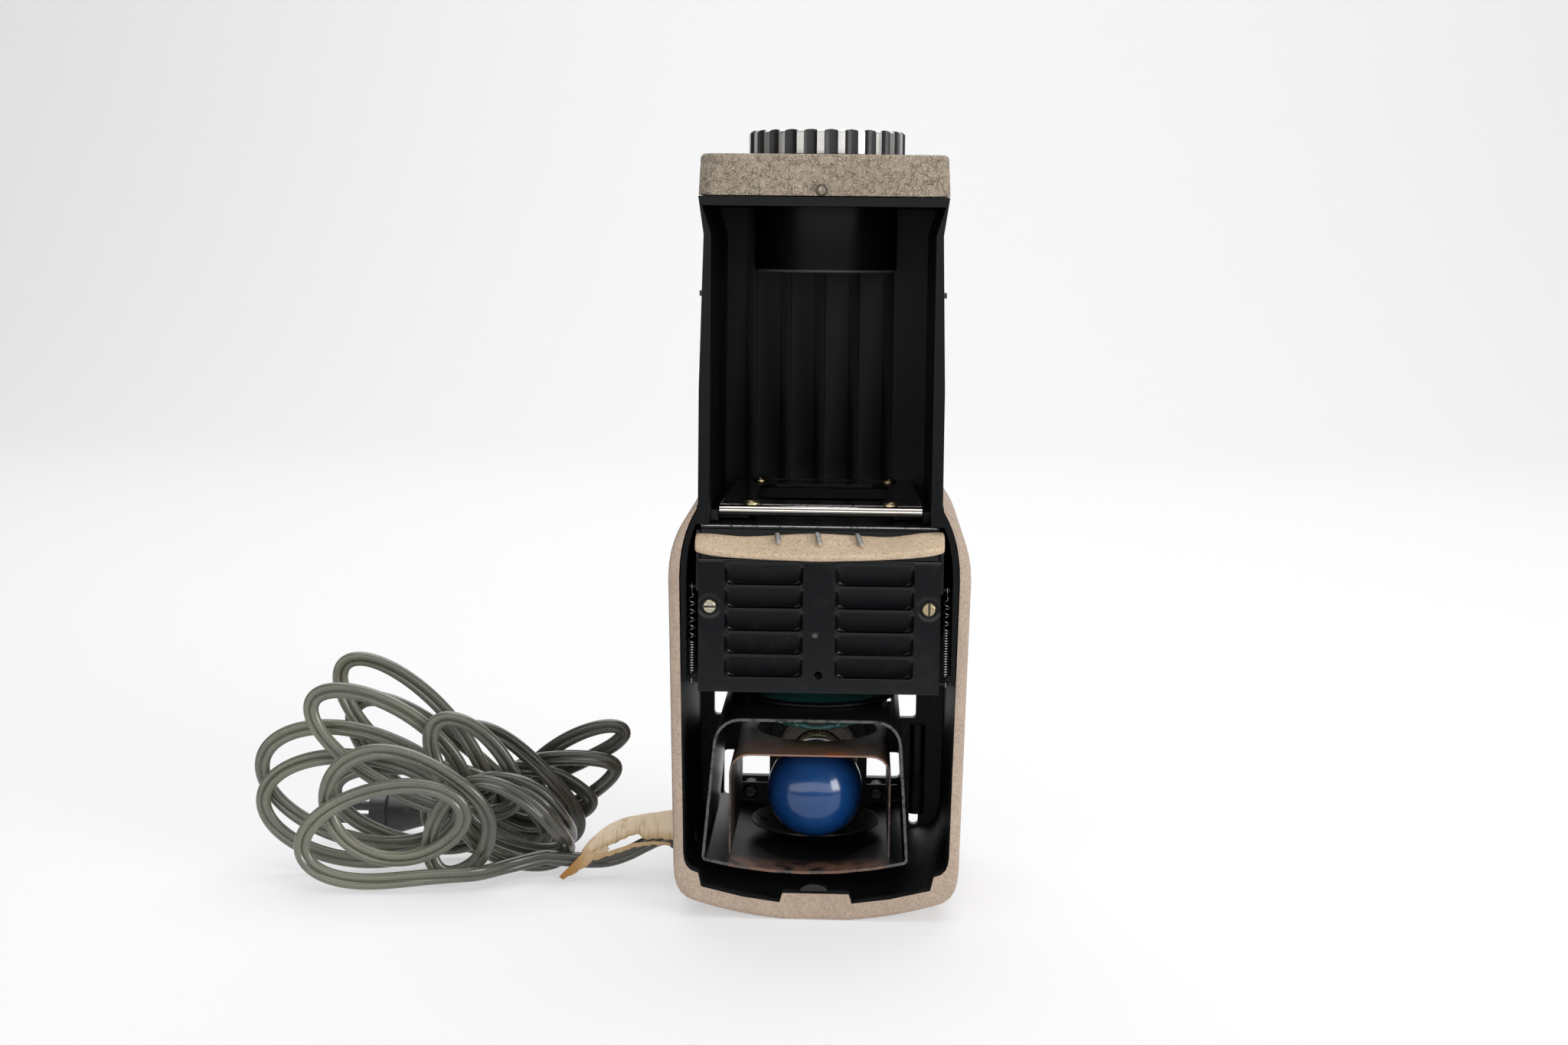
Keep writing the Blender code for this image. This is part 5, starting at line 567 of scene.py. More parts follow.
def refined(node, finish, edge=0.00025):
    """Stands for a node by its own solid: triangles merged to flat faces, its edges rounded by edge."""
    mesh = nodes[node].data.copy()
    piece = bpy.data.objects.new("dressed_" + node, mesh)
    bpy.context.scene.collection.objects.link(piece)
    work = bmesh.new()
    work.from_mesh(mesh)
    bmesh.ops.remove_doubles(work, verts=work.verts, dist=MERGE)
    bmesh.ops.dissolve_limit(work, angle_limit=FLAT_ANGLE, use_dissolve_boundaries=False,
                             verts=work.verts, edges=work.edges)
    work.to_mesh(mesh)
    work.free()
    mesh.shade_smooth()
    mesh.set_sharp_from_angle(angle=SHARP_EDGE)
    if edge:
        bevelled(piece, edge, SHARP_EDGE).harden_normals = True
    stand_for(piece, finish, node)


def turned(name, profile, sides, centre, axis="z"):
    """A profile of radius and height pairs turned about an axis through centre: x = r cos a, y = r sin a.
    The axis is z, or y for a piece that looks out of the open side, whose heights are then world y."""
    profile = np.asarray(profile, float)
    angle = np.linspace(0, 2 * math.pi, sides, endpoint=False)[None]
    a = profile[:, :1] * np.cos(angle) + centre[0]
    b = profile[:, :1] * np.sin(angle) + centre[1]
    height = profile[:, 1:] + 0 * angle
    parts = (a, b, height) if axis == "z" else (a, height, b)
    return tidy(surface(name, np.stack(parts, axis=-1), loop_columns=True), 0.5)


def softened(corners, radius, steps, closed=False):
    """Rounds the corners of lines of points (..., corners, values): each becomes the quadratic curve
    between the points at a distance of radius, or half the side if less, on both of its sides."""
    corners = np.asarray(corners, float)
    back = np.roll(corners, 1, axis=-2) - corners
    ahead = np.roll(corners, -1, axis=-2) - corners
    radius = np.asarray(radius, float).reshape(-1, 1)
    enter = corners + back * np.minimum(radius / np.linalg.norm(back, axis=-1, keepdims=True), 0.5)
    leave = corners + ahead * np.minimum(radius / np.linalg.norm(ahead, axis=-1, keepdims=True), 0.5)
    t = np.linspace(0, 1, steps)[:, None]
    curve = (enter[..., None, :] * (1 - t) ** 2 + 2 * corners[..., None, :] * t * (1 - t)
             + leave[..., None, :] * t ** 2)
    if not closed:
        curve = curve[..., 1:-1, :, :]
    curve = curve.reshape(*corners.shape[:-2], -1, corners.shape[-1])
    if closed:
        return curve
    return np.concatenate((corners[..., :1, :], curve, corners[..., -1:, :]), axis=-2)


# Torn tape: cream cloth tape folded over the flex beside the body. It has split along its lower
# edge, where a narrow lip hangs loose, and it ends in a frayed brown tail that reaches the floor.

MM = 0.001
# Edges seen from the front, x and z in millimetres
TAPE_TOP = ((-51.6, 25.0), (-60.7, 23.9), (-69.1, 22.6), (-74.6, 21.4), (-80.2, 18.8), (-85.6, 14.4),
            (-88.5, 10.4))
TAPE_TEAR = ((-51.6, 15.6), (-60.5, 15.0), (-65.2, 14.3), (-67.6, 16.8), (-70.0, 16.2), (-76.8, 13.2),
             (-82.0, 11.6), (-88.5, 8.2))
LIP_TOP = ((-52.0, 13.2), (-60.5, 13.9), (-69.0, 13.3), (-77.3, 10.4), (-84.0, 9.4))
LIP_LOW = ((-52.0, 12.2), (-60.5, 12.5), (-69.0, 11.6), (-76.8, 8.9), (-84.0, 7.2))
TAIL_TOP = ((-80.5, 16.0), (-86.5, 12.2), (-90.2, 8.0), (-96.6, 1.5))
TAIL_LOW = ((-78.5, 10.8), (-83.4, 8.0), (-87.2, 4.8), (-95.2, 0.5))
LIP_AHEAD = 3.4             # in front of the flex's middle
TAIL_AHEAD = 3.1
TAIL_LEAN = 0.6
TAPE_CORNER = 3.0
TEAR_CORNER = 0.9
TAPE_SWELL = 3.6            # half the fold's depth, more at the wall and less at the tail
WALL_SWELL = 3.0
TAIL_SHRINK = 1.2
FOLD_POWER = 0.62
TAPE_FLOOR = 0.4
TAPE_THICK = 0.00042        # metres
TAIL_BROWN_X = (-0.082, -0.095)
NEAR_LINE = 40              # points of the flex that the tape can meet


def flex_depth(x):
    """Depth in millimetres of the flex at x."""
    near = flex_line[:NEAR_LINE]
    near = near[np.argsort(near[:, 0])]
    return (np.interp(x * MM, near[:, 0], near[:, 1]) - RIM_Y) / MM


def ribbon(top, low, columns, rows, ahead, lean=0.0):
    """Grid between two edges: rows across, its depth ahead of the flex, leaning back towards the top. The
    lower edge is frayed and the face creased by sums of two sines each."""
    t = np.linspace(0, 1, columns)[:, None]
    s = np.linspace(0, 1, rows)[None]
    upper = softened(top, TAPE_CORNER, 5)
    lower = softened(low, TAPE_CORNER, 5)
    place = np.linspace(0, 1, len(upper))
    below = np.linspace(0, 1, len(lower))
    ux, uz = (np.interp(t, place, upper[:, k]) for k in range(2))
    lx, lz = (np.interp(t, below, lower[:, k]) for k in range(2))
    fray = 0.16 * np.sin(ux * 1.7) + 0.12 * np.sin(ux * 4.1 + 1)
    x = ux + (lx - ux) * s
    z = uz + (lz + fray - uz) * s
    crease = 0.18 * np.sin(x * 0.8 + z * 0.6) + 0.10 * np.sin(x * 1.7 - z + 1)
    depth = flex_depth(x) - ahead + lean * (1 - s) ** 2 + crease
    return np.stack((x, depth + RIM_Y / MM, np.maximum(z, TAPE_FLOOR)), axis=-1) * MM


def tape_surface():
    """The folded part goes from the torn front edge over the top to the back edge: at an angle a from
    its middle, the depth is the swell times sin a and the height a power of cos a. The lip and the tail
    are ribbons. Each vertex keeps how near it lies to a torn edge."""
    x = np.linspace(TAPE_TOP[0][0], TAPE_TOP[-1][0], 130)[:, None]
    u = np.linspace(-1, 1, 45)[None]
    upper = softened(TAPE_TOP, TAPE_CORNER, 6)
    lower = softened(TAPE_TEAR, TEAR_CORNER, 6)
    top = np.interp(-x, -upper[:, 0], upper[:, 1])
    low = np.interp(-x, -lower[:, 0], lower[:, 1]) + 0.12 * np.sin(x * 2.1) + 0.1 * np.sin(x * 5.3 + 1)
    near_wall = np.clip((x + 60) / 4, 0, 1)
    near_tail = np.clip((-x - 78) / 10, 0, 1)
    swell = TAPE_SWELL + WALL_SWELL * near_wall - TAIL_SHRINK * near_tail
    angle = u * math.pi / 2
    crease = (0.22 * np.sin(x * 0.7 + top * 0.4) + 0.16 * np.sin(x * 1.6 + 6 * u + 1)
              + 0.08 * np.sin(x * 3.7 - 4 * u))
    depth = flex_depth(x) + np.sin(angle) * swell + crease
    z = low + (top - low) * np.cos(angle) ** FOLD_POWER
    fold = np.stack((x + 0 * u, depth + RIM_Y / MM, z), axis=-1) * MM
    lip = ribbon(LIP_TOP, LIP_LOW, 70, 7, LIP_AHEAD)
    tail = ribbon(TAIL_TOP, TAIL_LOW, 60, 12, TAIL_AHEAD, TAIL_LEAN)
    piece = surface("torn_cloth_tape", fold, lip, tail)
    fold_edge = np.clip((np.abs(u) - 0.86) / 0.14, 0, 1) + 0 * x
    lip_edge = np.ones(lip.shape[:2])
    tail_edge = np.clip(np.linspace(0.25, 1.3, tail.shape[0])[:, None] + 0 * tail[..., 0], 0, 1)
    keep(piece, "torn", np.concatenate([edge.ravel() for edge in (fold_edge, lip_edge, tail_edge)]))
    thickened(tidy(piece, 1.5, closed=False), TAPE_THICK, 0)
    return piece


def tape_finish():
    """Aged cloth tape: cream with a fine weave, tan along its torn edges and orange-brown on its tail."""
    finish = Finish("tape_cloth")
    torn = finish.kept("torn")
    tail = finish.x.rise(*TAIL_BROWN_X)
    blot = finish.noise(170, 4, 0.6).rise(0.60, 0.70)
    cream = finish.noise(60, 3).between((0.80, 0.68, 0.51), (0.70, 0.55, 0.37))
    edged = (torn * 0.75).between(cream, (0.52, 0.34, 0.14))
    browned = tail.between(edged, (0.42, 0.19, 0.045))
    base = (blot * 0.35).between(browned, (0.34, 0.17, 0.06))
    weave = finish.noise(3200, 2) * 0.4 + finish.noise(500, 3)
    return finish.set(Base_Color=base, Roughness=0.8, Normal=finish.bumps(weave, 0.00022, 0.6))


stand_for(tape_surface(), tape_finish(), "torn_tape")


# Grommet: the black rubber bush that the flex passes through in the wall of the body. Its old rubber
# is a dull charcoal with pale dust in patches.

rubber = patched("aged_rubber", (260, 5, 0.6, 0.5, 0.75), ((0.021, 0.021, 0.020), (0.16, 0.15, 0.13)),
                 (0.55, 0.8), 0.35, (900, 3, 0.0001, 0.5))
refined("flex_grommet", rubber)


# Mains plug: a two-pin plug on the far end of the flex, behind the tangle. It is moulded in dark
# grey plastic with a soft gloss and faint scuffs.

plug_plastic = patched("plug_moulding", (500, 4, 0.6, 0.58, 0.7), ((0.035, 0.036, 0.034), (0.13, 0.13, 0.12)),
                       (0.38, 0.6), 0.4, (700, 3, 0.00006, 0.5))
refined("mains_plug", plug_plastic, 0.0005)


# Lamp-house shell: a moulded box, open in front, in sandy tan enamel outside and on its rim and
# black inside. The bay slides into its top, and it stands on its bowed rear end here.

SHELL_MIDDLE = (0, 0.003, 0.080)
INSIDE_FADE = 0.0012


def tan_enamel(name, light, dark, grain_height, scale):
    """Sandy textured enamel: fine pebbles with pale tops and darker hollows, grime in patches, scuffs."""
    finish = Finish(name)
    pebble = finish.noise(1150 * scale, 4, 0.7)
    cells = finish.cells(1000 * scale, feature='SMOOTH_F1')
    patch = finish.noise(45, 4, 0.6).rise(0.35, 0.7)
    hollow = pebble.rise(0.52, 0.36)
    base = patch.between(light, tuple(0.86 * v for v in light))
    base = (hollow * 0.7).between(base, dark)
    base = (pebble.rise(0.54, 0.68) * 0.5).between(base, tuple(min(1.28 * v, 0.9) for v in light))
    chip = finish.noise(620, 5, 0.7).rise(0.70, 0.74)
    base = (chip * 0.5).between(base, (0.62, 0.55, 0.42))
    return finish.set(Base_Color=base, Roughness=hollow.toward(0.5, 0.66),
                      Normal=finish.bumps(pebble * 0.7 + cells * 0.6, grain_height, 0.8))


def shell_finish():
    """Tan enamel where the surface faces out from the middle of the shell, black paint where it faces in."""
    finish = tan_enamel("shell_enamel", (0.42, 0.325, 0.25), (0.27, 0.195, 0.145), 0.00030, 1.25)
    from_middle = finish.place.vector('SUBTRACT', SHELL_MIDDLE)
    inside = finish.facing.vector('DOT_PRODUCT', from_middle, "Value").rise(INSIDE_FADE, -INSIDE_FADE)
    dust = finish.noise(150, 5, 0.65).rise(0.5, 0.8)
    black = (dust * 0.10).between((0.0150, 0.0160, 0.0168), (0.09, 0.083, 0.07))
    return finish.set(Base_Color=inside.between(finish.base(), black), Roughness=inside.toward(0.58, 0.40))


refined("lamp_house_shell", shell_finish(), 0.0004)


# Slot shade strip: a narrow strip of blackened steel on the inside of the underside wall, before its
# upright slot, that stands in for the shade in the slot and leaves only its lowest end open. It has a
# satin sheen and dusty patches.

STRIP_LOW = 0.0135
STRIP_HIGH = 0.0495
STRIP_HALF = 0.0030
STRIP_DEPTH = 0.0014
STRIP_FROM_SIDE = 0.0148    # its middle to the shell's right side
UNDERSIDE_WALL = 0.0035


def slot_shade_strip():
    """A shallow channel: its section is the arch 1 - share^4, carried straight up, and its ends are
    closed."""
    share = np.linspace(-1, 1, 25)
    arch = np.stack((share * STRIP_HALF, -STRIP_DEPTH * (1 - share ** 4)))
    back = np.stack((share[::-1] * STRIP_HALF, 0 * share))[:, 1:-1]
    across, deep = np.concatenate((arch, back), axis=1)
    z = np.linspace(STRIP_LOW, STRIP_HIGH, 30)
    z = np.concatenate((z[:1], z, z[-1:]))[:, None]
    size = np.ones(z.shape)
    size[[0, -1]] = 0
    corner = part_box("lamp_house_shell")[1]
    x = corner.x - STRIP_FROM_SIDE + across * size
    y = corner.y - UNDERSIDE_WALL + deep * size
    return tidy(surface("rear_slot_strip", np.stack((x, y, z + 0 * x), axis=-1), loop_columns=True), 0.9)


blackened = patched("blackened_steel", (260, 4, 0.6, 0.5, 0.8), ((0.012, 0.012, 0.012), (0.10, 0.095, 0.085)),
                    (0.32, 0.5), 0.25, (500, 3, 0.00002, 0.4), Metallic=0.5)
# a dark strip that stands in for shade in the slot
strip = slot_shade_strip()
strip.data.materials.append(blackened.material)
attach(strip, nodes["lamp_house_shell"]["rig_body"])


# Bay chassis: one black moulding. Its side walls, ribbed underside wall and bulkhead close the
# lens bay, its shelf carries the slide gate, and its skirt reaches down inside the shell.

EDGE_FADE = 0.0007


def moulding_finish(name="black_moulding", streaks=1.0, highlight_below=None):
    """Black plastic with a satin skin, fine dust, and faint paler streaks that run along the bay. Below a
    height, where one is given, its edge carries a painted highlight, a pale line."""
    finish = Finish(name)
    dust = finish.noise(210, 6, 0.65).rise(0.55, 0.85)
    streak = finish.noise(1.0, 4, 0.6, finish.stretched(420, 420, 9)).rise(0.55, 0.85)
    base = (dust * 0.03).between((0.0020, 0.0024, 0.0028), (0.09, 0.09, 0.085))
    base = (streak * (0.05 * streaks)).between(base, (0.10, 0.105, 0.10))
    if highlight_below:
        # painted highlight: a pale line along the edge below the height
        rubbed = finish.z.rise(highlight_below, highlight_below - EDGE_FADE)
        base = (rubbed * 0.45).between(base, (0.24, 0.24, 0.23))
    rough = dust.toward(0.36, 0.46) + streak * 0.05
    return finish.set(Base_Color=base, Roughness=rough, Specular_IOR_Level=0.16,
                      Normal=finish.bumps(finish.noise(950, 3), 0.00003, 0.4))


refined("bay_chassis", moulding_finish(), 0.0003)


# Front panel: a tan cap over the bay's front end in crackled enamel, held by screws. One of
# them sits at the panel's edge and is painted over.

CELL_BEND = (0.0040, 0.0040, 0.0040)
RING_BELOW = 0.0009         # the darker ring's middle, below the screw's
RING_INNER = (0.0011, 0.0015)
RING_OUTER = (0.0023, 0.0019)
PANEL_FACE = (-0.045, -0.047)


def crackled_enamel():
    """Crackle enamel: flat wrinkled islands of 1 to 3 mm, dark hairline cracks between them, and a fine
    sparkling grain. The cells are bent by a coarse noise so that no edge runs straight. Round the screw the
    colour is darker in a ring, set a little below the screw's middle."""
    finish = Finish("crackled_enamel")
    bend = finish.noise(500, 4, 0.5, output="Color").vector('MULTIPLY', CELL_BEND)
    place = finish.place.vector('ADD', bend)
    web = finish.cells(520, place)
    fine = finish.cells(1250, place)
    broken = finish.noise(420, 3).rise(0.40, 0.54)
    crack = web.rise(0.065, 0.015) * broken
    fissure = fine.rise(0.10, 0.02)
    grain = finish.noise(1900, 4, 0.75)
    patch = finish.noise(38, 4).rise(0.38, 0.66)
    base = patch.between((0.72, 0.595, 0.450), (0.63, 0.515, 0.385))
    base = (grain.rise(0.53, 0.66) * 0.6).between(base, (0.80, 0.70, 0.58))
    base = (grain.rise(0.48, 0.38) * 0.5).between(base, (0.22, 0.16, 0.11))
    base = (fissure * 0.5).between(base, (0.22, 0.16, 0.105))
    base = (crack * 0.7).between(base, (0.11, 0.077, 0.052))
    low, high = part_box("panel_screw")
    across = finish.x - (low.x + high.x) / 2
    up = finish.z - (low.z + high.z) / 2 + RING_BELOW
    from_screw = (across * across + up * up) ** 0.5
    # a darker ring round the screw, set a little below its middle
    sunk = from_screw.rise(*RING_INNER) * from_screw.rise(*RING_OUTER) * finish.y.rise(*PANEL_FACE)
    base = (sunk * 0.75).between(base, (0.06, 0.045, 0.032))
    height = web.rise(0.0, 0.12) * broken + fine.rise(0.0, 0.25) * 0.5 + grain * 0.8
    return finish.set(Base_Color=base, Roughness=crack.toward(0.46, 0.75),
                      Normal=finish.bumps(height, 0.0008, 1.0))


crackle = crackled_enamel()
refined("front_panel", crackle, 0.0012)
refined("panel_screw", crackle, 0.0002)


# Lens: a black moulded sleeve fixed to the front end, a barrel that slides in it, and two
# lenses. A thin black ring holds the front lens.

SLEEVE_HIGHLIGHT = 0.0011        # height of its painted edge highlight
LENS_SIDES = 128
FRONT_CROWN = 0.0022
REAR_CROWN = 0.0016
CONDENSER_CROWN = 0.0085    # of both condensers' bulging faces
HEAT_GLASS_CROWN = 0.0028   # of the green condenser's upper face

sleeve_plastic = moulding_finish("sleeve_moulding", 0.2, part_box("lens_sleeve")[0].z + SLEEVE_HIGHLIGHT)
refined("lens_sleeve", sleeve_plastic, 0.0004)


def barrel_finish():
    """Anodised black tube with turning marks that run round it."""
    finish = Finish("black_anodised")
    ring = finish.noise(1.0, 3, 0.6, finish.stretched(60, 60, 5200)).rise(0.3, 0.7)
    base = (ring * 0.3).between((0.010, 0.010, 0.011), (0.035, 0.035, 0.036))
    return finish.set(Base_Color=base, Roughness=ring.toward(0.28, 0.42), Metallic=0.4,
                      Normal=finish.bumps(ring, 0.00002, 0.6))


anodised = barrel_finish()
refined("lens_barrel", anodised)
refined("lens_retaining_ring", anodised, 0.0001)


def lens_glass(name, tint, dusty=0.12, clearness=1.0):
    """Polished glass, dusty in patches. A body that is thick and coloured is less clear."""
    finish = Finish(name)
    dust = finish.noise(320, 5, 0.65).rise(0.55, 0.8)
    base = (dust * dusty).between(tint, (0.75, 0.73, 0.68))
    return finish.set(Base_Color=base, Roughness=dust.toward(0.01, 0.14),
                      Transmission_Weight=clearness, IOR=1.52)


def lens_surface(name, node, low_crown, high_crown):
    """A lens of two spherical faces and a ground edge, filling its node's box. Each face's height is
    its crown times one minus the square of the share of the radius, near enough to a sphere."""
    low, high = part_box(node)
    radius = (high.x - low.x) / 2
    centre = ((high.x + low.x) / 2, (high.y + low.y) / 2)
    share = np.linspace(0, 1, 24)
    lower = np.stack((share * radius, low.z + low_crown * share ** 2), axis=1)
    upper = np.stack((share[::-1] * radius, high.z - high_crown * share[::-1] ** 2), axis=1)
    return turned(name, np.concatenate((lower, upper)), LENS_SIDES, centre)


clear = lens_glass("lens_glass", (0.97, 0.985, 0.98))
stand_for(lens_surface("front_projection_lens", "front_lens", 0.0, FRONT_CROWN), clear, "front_lens")
stand_for(lens_surface("rear_projection_lens", "rear_lens", REAR_CROWN, 0.0), clear, "rear_lens")


# Focusing ring: a turned aluminium ring with 24 flutes milled into its rim. The flutes are
# painted black and the lands between them are bare metal.

FLUTES = 24
FLUTE_START = 0.25          # of a pitch
FLUTE_CUT = 0.0011
FLUTE_CUTTER = 0.0033
FLUTE_STEPS = 24            # points round a pitch
RING_CLEARANCE = 0.0006
RING_HUB = 0.0011           # beyond the bore, where no flute reaches
# Chamfers, across and along the axis: bore and rim at the low end, rim and bore at the high end
RING_CHAMFERS = ((0.0012, 0.0008), (0.0010, 0.0006), (0.0011, 0.0009), (0.0016, 0.0014))
RING_EDGE = 0.00022
RING_STEP = 0.0011
BARE_DEPTH = 0.0014
FLUTE_NEAR = 0.00004
LAND_NEAR = 0.00002


def ring_surface():
    """The ring's profile turned about the axis. Beyond the bore, the radius is the lesser of the
    profile's and the flute's: reach cos a - sqrt(cutter^2 - (reach sin a)^2), a from the flute's middle.
    Each vertex keeps whether it is bare metal."""
    low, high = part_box("focus_ring")
    radius = (high.x - low.x) / 2
    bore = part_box("lens_barrel")[1].x + RING_CLEARANCE
    bore_low, rim_low, rim_high, bore_high = RING_CHAMFERS
    corners = ((bore + bore_low[0], low.z), (radius - rim_low[0], low.z), (radius, low.z + rim_low[1]),
               (radius, high.z - rim_high[1]), (radius - rim_high[0], high.z), (bore + bore_high[0], high.z),
               (bore, high.z - bore_high[1]), (bore, low.z + bore_low[1]))
    profile = softened(corners, RING_EDGE, 4, closed=True)
    rows = []
    for start, end in zip(profile, np.roll(profile, -1, axis=0)):
        count = max(1, int(abs(end[1] - start[1]) / RING_STEP))
        rows.append(start + (end - start) * (np.arange(count) / count)[:, None])
    outer, z = np.concatenate(rows).T[..., None]
    angle = np.linspace(0, 2 * math.pi, FLUTES * FLUTE_STEPS, endpoint=False)[None]
    pitch = 2 * math.pi / FLUTES
    off = (angle / pitch - FLUTE_START + 0.5) % 1 * pitch - pitch / 2
    reach = radius - FLUTE_CUT + FLUTE_CUTTER
    inside = FLUTE_CUTTER ** 2 - (reach * np.sin(off)) ** 2
    flute = np.where(inside > 0, reach * np.cos(off) - np.sqrt(np.maximum(inside, 0)), radius)
    hub = bore + RING_HUB
    r = np.where(outer < hub, outer, np.minimum(outer, np.maximum(flute, hub)))
    places = np.stack((r * np.cos(angle), r * np.sin(angle) + AXIS_Y, z + 0 * angle), axis=-1)
    piece = surface("fluted_focus_ring", places, loop_rows=True, loop_columns=True)
    milled = (r > flute - FLUTE_NEAR) & (r < outer - LAND_NEAR)
    keep(piece, "bare", ~milled & (outer > radius - BARE_DEPTH))
    return tidy(piece, 0.5)


def ring_finish():
    """Bare turned aluminium on the lands and their chamfers, black paint in the flutes and on the front."""
    finish = Finish("fluted_aluminium")
    bare = finish.kept("bare").rise(0.75, 0.97)
    line = finish.noise(1.0, 3, 0.6, finish.stretched(90, 90, 6500)).rise(0.25, 0.75)
    wear = finish.noise(520, 4, 0.65).rise(0.60, 0.72)
    metal = line.between((0.44, 0.43, 0.41), (0.58, 0.57, 0.55))
    black = (wear * 0.15).between((0.005, 0.005, 0.006), (0.10, 0.10, 0.10))
    return finish.set(Base_Color=bare.between(black, metal), Metallic=bare, Roughness=bare.toward(0.42, 0.36),
                      Normal=finish.bumps(line, 0.00002, 0.5))


stand_for(ring_surface(), ring_finish(), "focus_ring")


# Slide gate: a fixed upper plate and a sprung lower plate of black steel sheet, with a window
# each. A bright rolled lip leads the slide in, and brass rivets hold the upper plate.

# Distances from an edge over which enamel gives way to a pale edge: on the outlines a painted
# highlight and rubbed metal, along the front rubbed metal
GLINT_AND_WEAR_SIDES = ((0.0008, 0.0004), (-0.0008, -0.0004))
GLINT_AND_WEAR_ENDS = ((0.0008, 0.0004), (-0.0014, -0.0008))
GLINT_AND_WEAR_TOP = (-0.0005, -0.0003)
RUBBED_FRONT = (0.0007, 0.0003)


def near(place, edge, distances):
    """Rises from 0 to 1 towards an edge, from the first distance to the second."""
    return place.rise(edge + distances[0], edge + distances[1])


def sheet_paint(name, shine, wear=0.35, dusty=0.18, outline=None, front=None):
    """Black stove enamel on sheet: thin gloss, dust that has settled, and rubbed spots. Round the top of the
    node named by outline the edges get a pale line, painted highlight and rubbed bare metal; along front,
    bare metal shows where the edge has been rubbed."""
    finish = Finish(name)
    dust = finish.noise(300, 6, 0.68).rise(0.55, 0.85)
    rub = finish.noise(90, 5, 0.7).rise(0.62, 0.75)
    speck = finish.noise(2300, 2).rise(0.70, 0.75)
    base = (dust * dusty * 0.3).between((0.0065, 0.0072, 0.0080), (0.14, 0.135, 0.12))
    base = (rub * wear * 0.08).between(base, (0.10, 0.10, 0.095))
    base = (speck * dusty).between(base, (0.34, 0.33, 0.30))
    broken = finish.noise(700, 3).rise(0.30, 0.52)
    if outline:
        low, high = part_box(outline)
        sides = near(finish.x, low.x, GLINT_AND_WEAR_SIDES[0]).most(near(finish.x, high.x, GLINT_AND_WEAR_SIDES[1]))
        ends = near(finish.y, low.y, GLINT_AND_WEAR_ENDS[0]).most(near(finish.y, high.y, GLINT_AND_WEAR_ENDS[1]))
        edge = sides.most(ends) * near(finish.z, high.z, GLINT_AND_WEAR_TOP)
        # painted highlight and rubbed bare metal along the outline's edges
        base = (edge * broken * 0.8).between(base, (0.42, 0.42, 0.41))
    if front:
        edge = near(finish.y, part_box(front)[0].y, RUBBED_FRONT)
        base = (edge * broken * 0.35).between(base, (0.22, 0.22, 0.21))
    return finish.set(Base_Color=base, Roughness=dust.toward(shine, shine + 0.14), Specular_IOR_Level=0.3,
                      Normal=finish.bumps(finish.noise(300, 2), 0.00001, 0.3))


refined("gate_upper_plate", sheet_paint("upper_gate_enamel", 0.16, 0.3, 0.2, "gate_upper_plate"), 0.0002)
refined("gate_lower_plate", sheet_paint("lower_gate_enamel", 0.24, 0.4, 0.4, "gate_lower_plate"), 0.0002)


def bright_steel(name, bright, rough):
    """Nickelled steel, dulled a little in patches."""
    dull = tuple(0.5 * value for value in bright)
    return patched(name, (120, 3, 0.5, 0.5, 0.85), (bright, dull), (rough, rough + 0.08), 0.5,
                   (160, 2, 0.000006, 0.3), Metallic=1.0)


dark_steel = bright_steel("dark_steel", (0.085, 0.083, 0.08), 0.40)
refined("gate_lip", bright_steel("rolled_steel", (0.60, 0.56, 0.51), 0.16), 0.0)

EYELET_ROLL = 0.00065       # radius of the rolled rim
EYELET_HIGH = 0.0009
EYELET_STEM = 0.0016
EYELET_SINK = (0.0009, 0.0001)
EYELET_FLOOR = 0.0006
EYELET_SIDES = 48

brass = patched("brass", (700, 4, 0.6, 0.4, 0.7), ((0.62, 0.50, 0.29), (0.34, 0.26, 0.14)), (0.26, 0.44), 1.0,
                (1800, 3, 0.00003, 0.6), Metallic=1.0)


def eyelet(node):
    """A rolled eyelet turned about the rivet's axis: its rim is a half ellipse, and its middle is sunk."""
    low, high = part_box(node)
    centre = ((low.x + high.x) / 2, (low.y + high.y) / 2)
    radius = (high.x - low.x) / 2
    angle = np.linspace(0, math.pi, 14)
    middle = radius - EYELET_ROLL
    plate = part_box("gate_upper_plate")[1].z
    rim = np.stack((middle + EYELET_ROLL * np.cos(angle), plate + EYELET_HIGH * np.sin(angle)), axis=1)
    sunk = ((middle - EYELET_SINK[0], plate + EYELET_SINK[1]), (EYELET_FLOOR, plate), (0.0, plate))
    profile = np.concatenate((((0.0, low.z), (EYELET_STEM, low.z), (radius, plate)), rim[1:-1], sunk))
    stand_for(turned("rolled_" + node, profile, EYELET_SIDES, centre), brass, node)


for end in ("front", "back"):
    for side in ("left", "right"):
        eyelet(f"gate_rivet_{end}_{side}")


# Condenser carriage: a black sheet frame that hangs below the lower gate plate, slides between
# the rails, and carries the front condenser.

refined("carriage_frame", sheet_paint("carriage_enamel", 0.30), 0.0002)
stand_for(lens_surface("front_condenser", "front_condenser_lens", 0.0, CONDENSER_CROWN), clear,
          "front_condenser_lens")


# Louvred cover: one black steel sheet with ten louvres pressed inwards, five to a side. Each is
# open along its lower edge, where the cut lip has sprung away from the sheet.

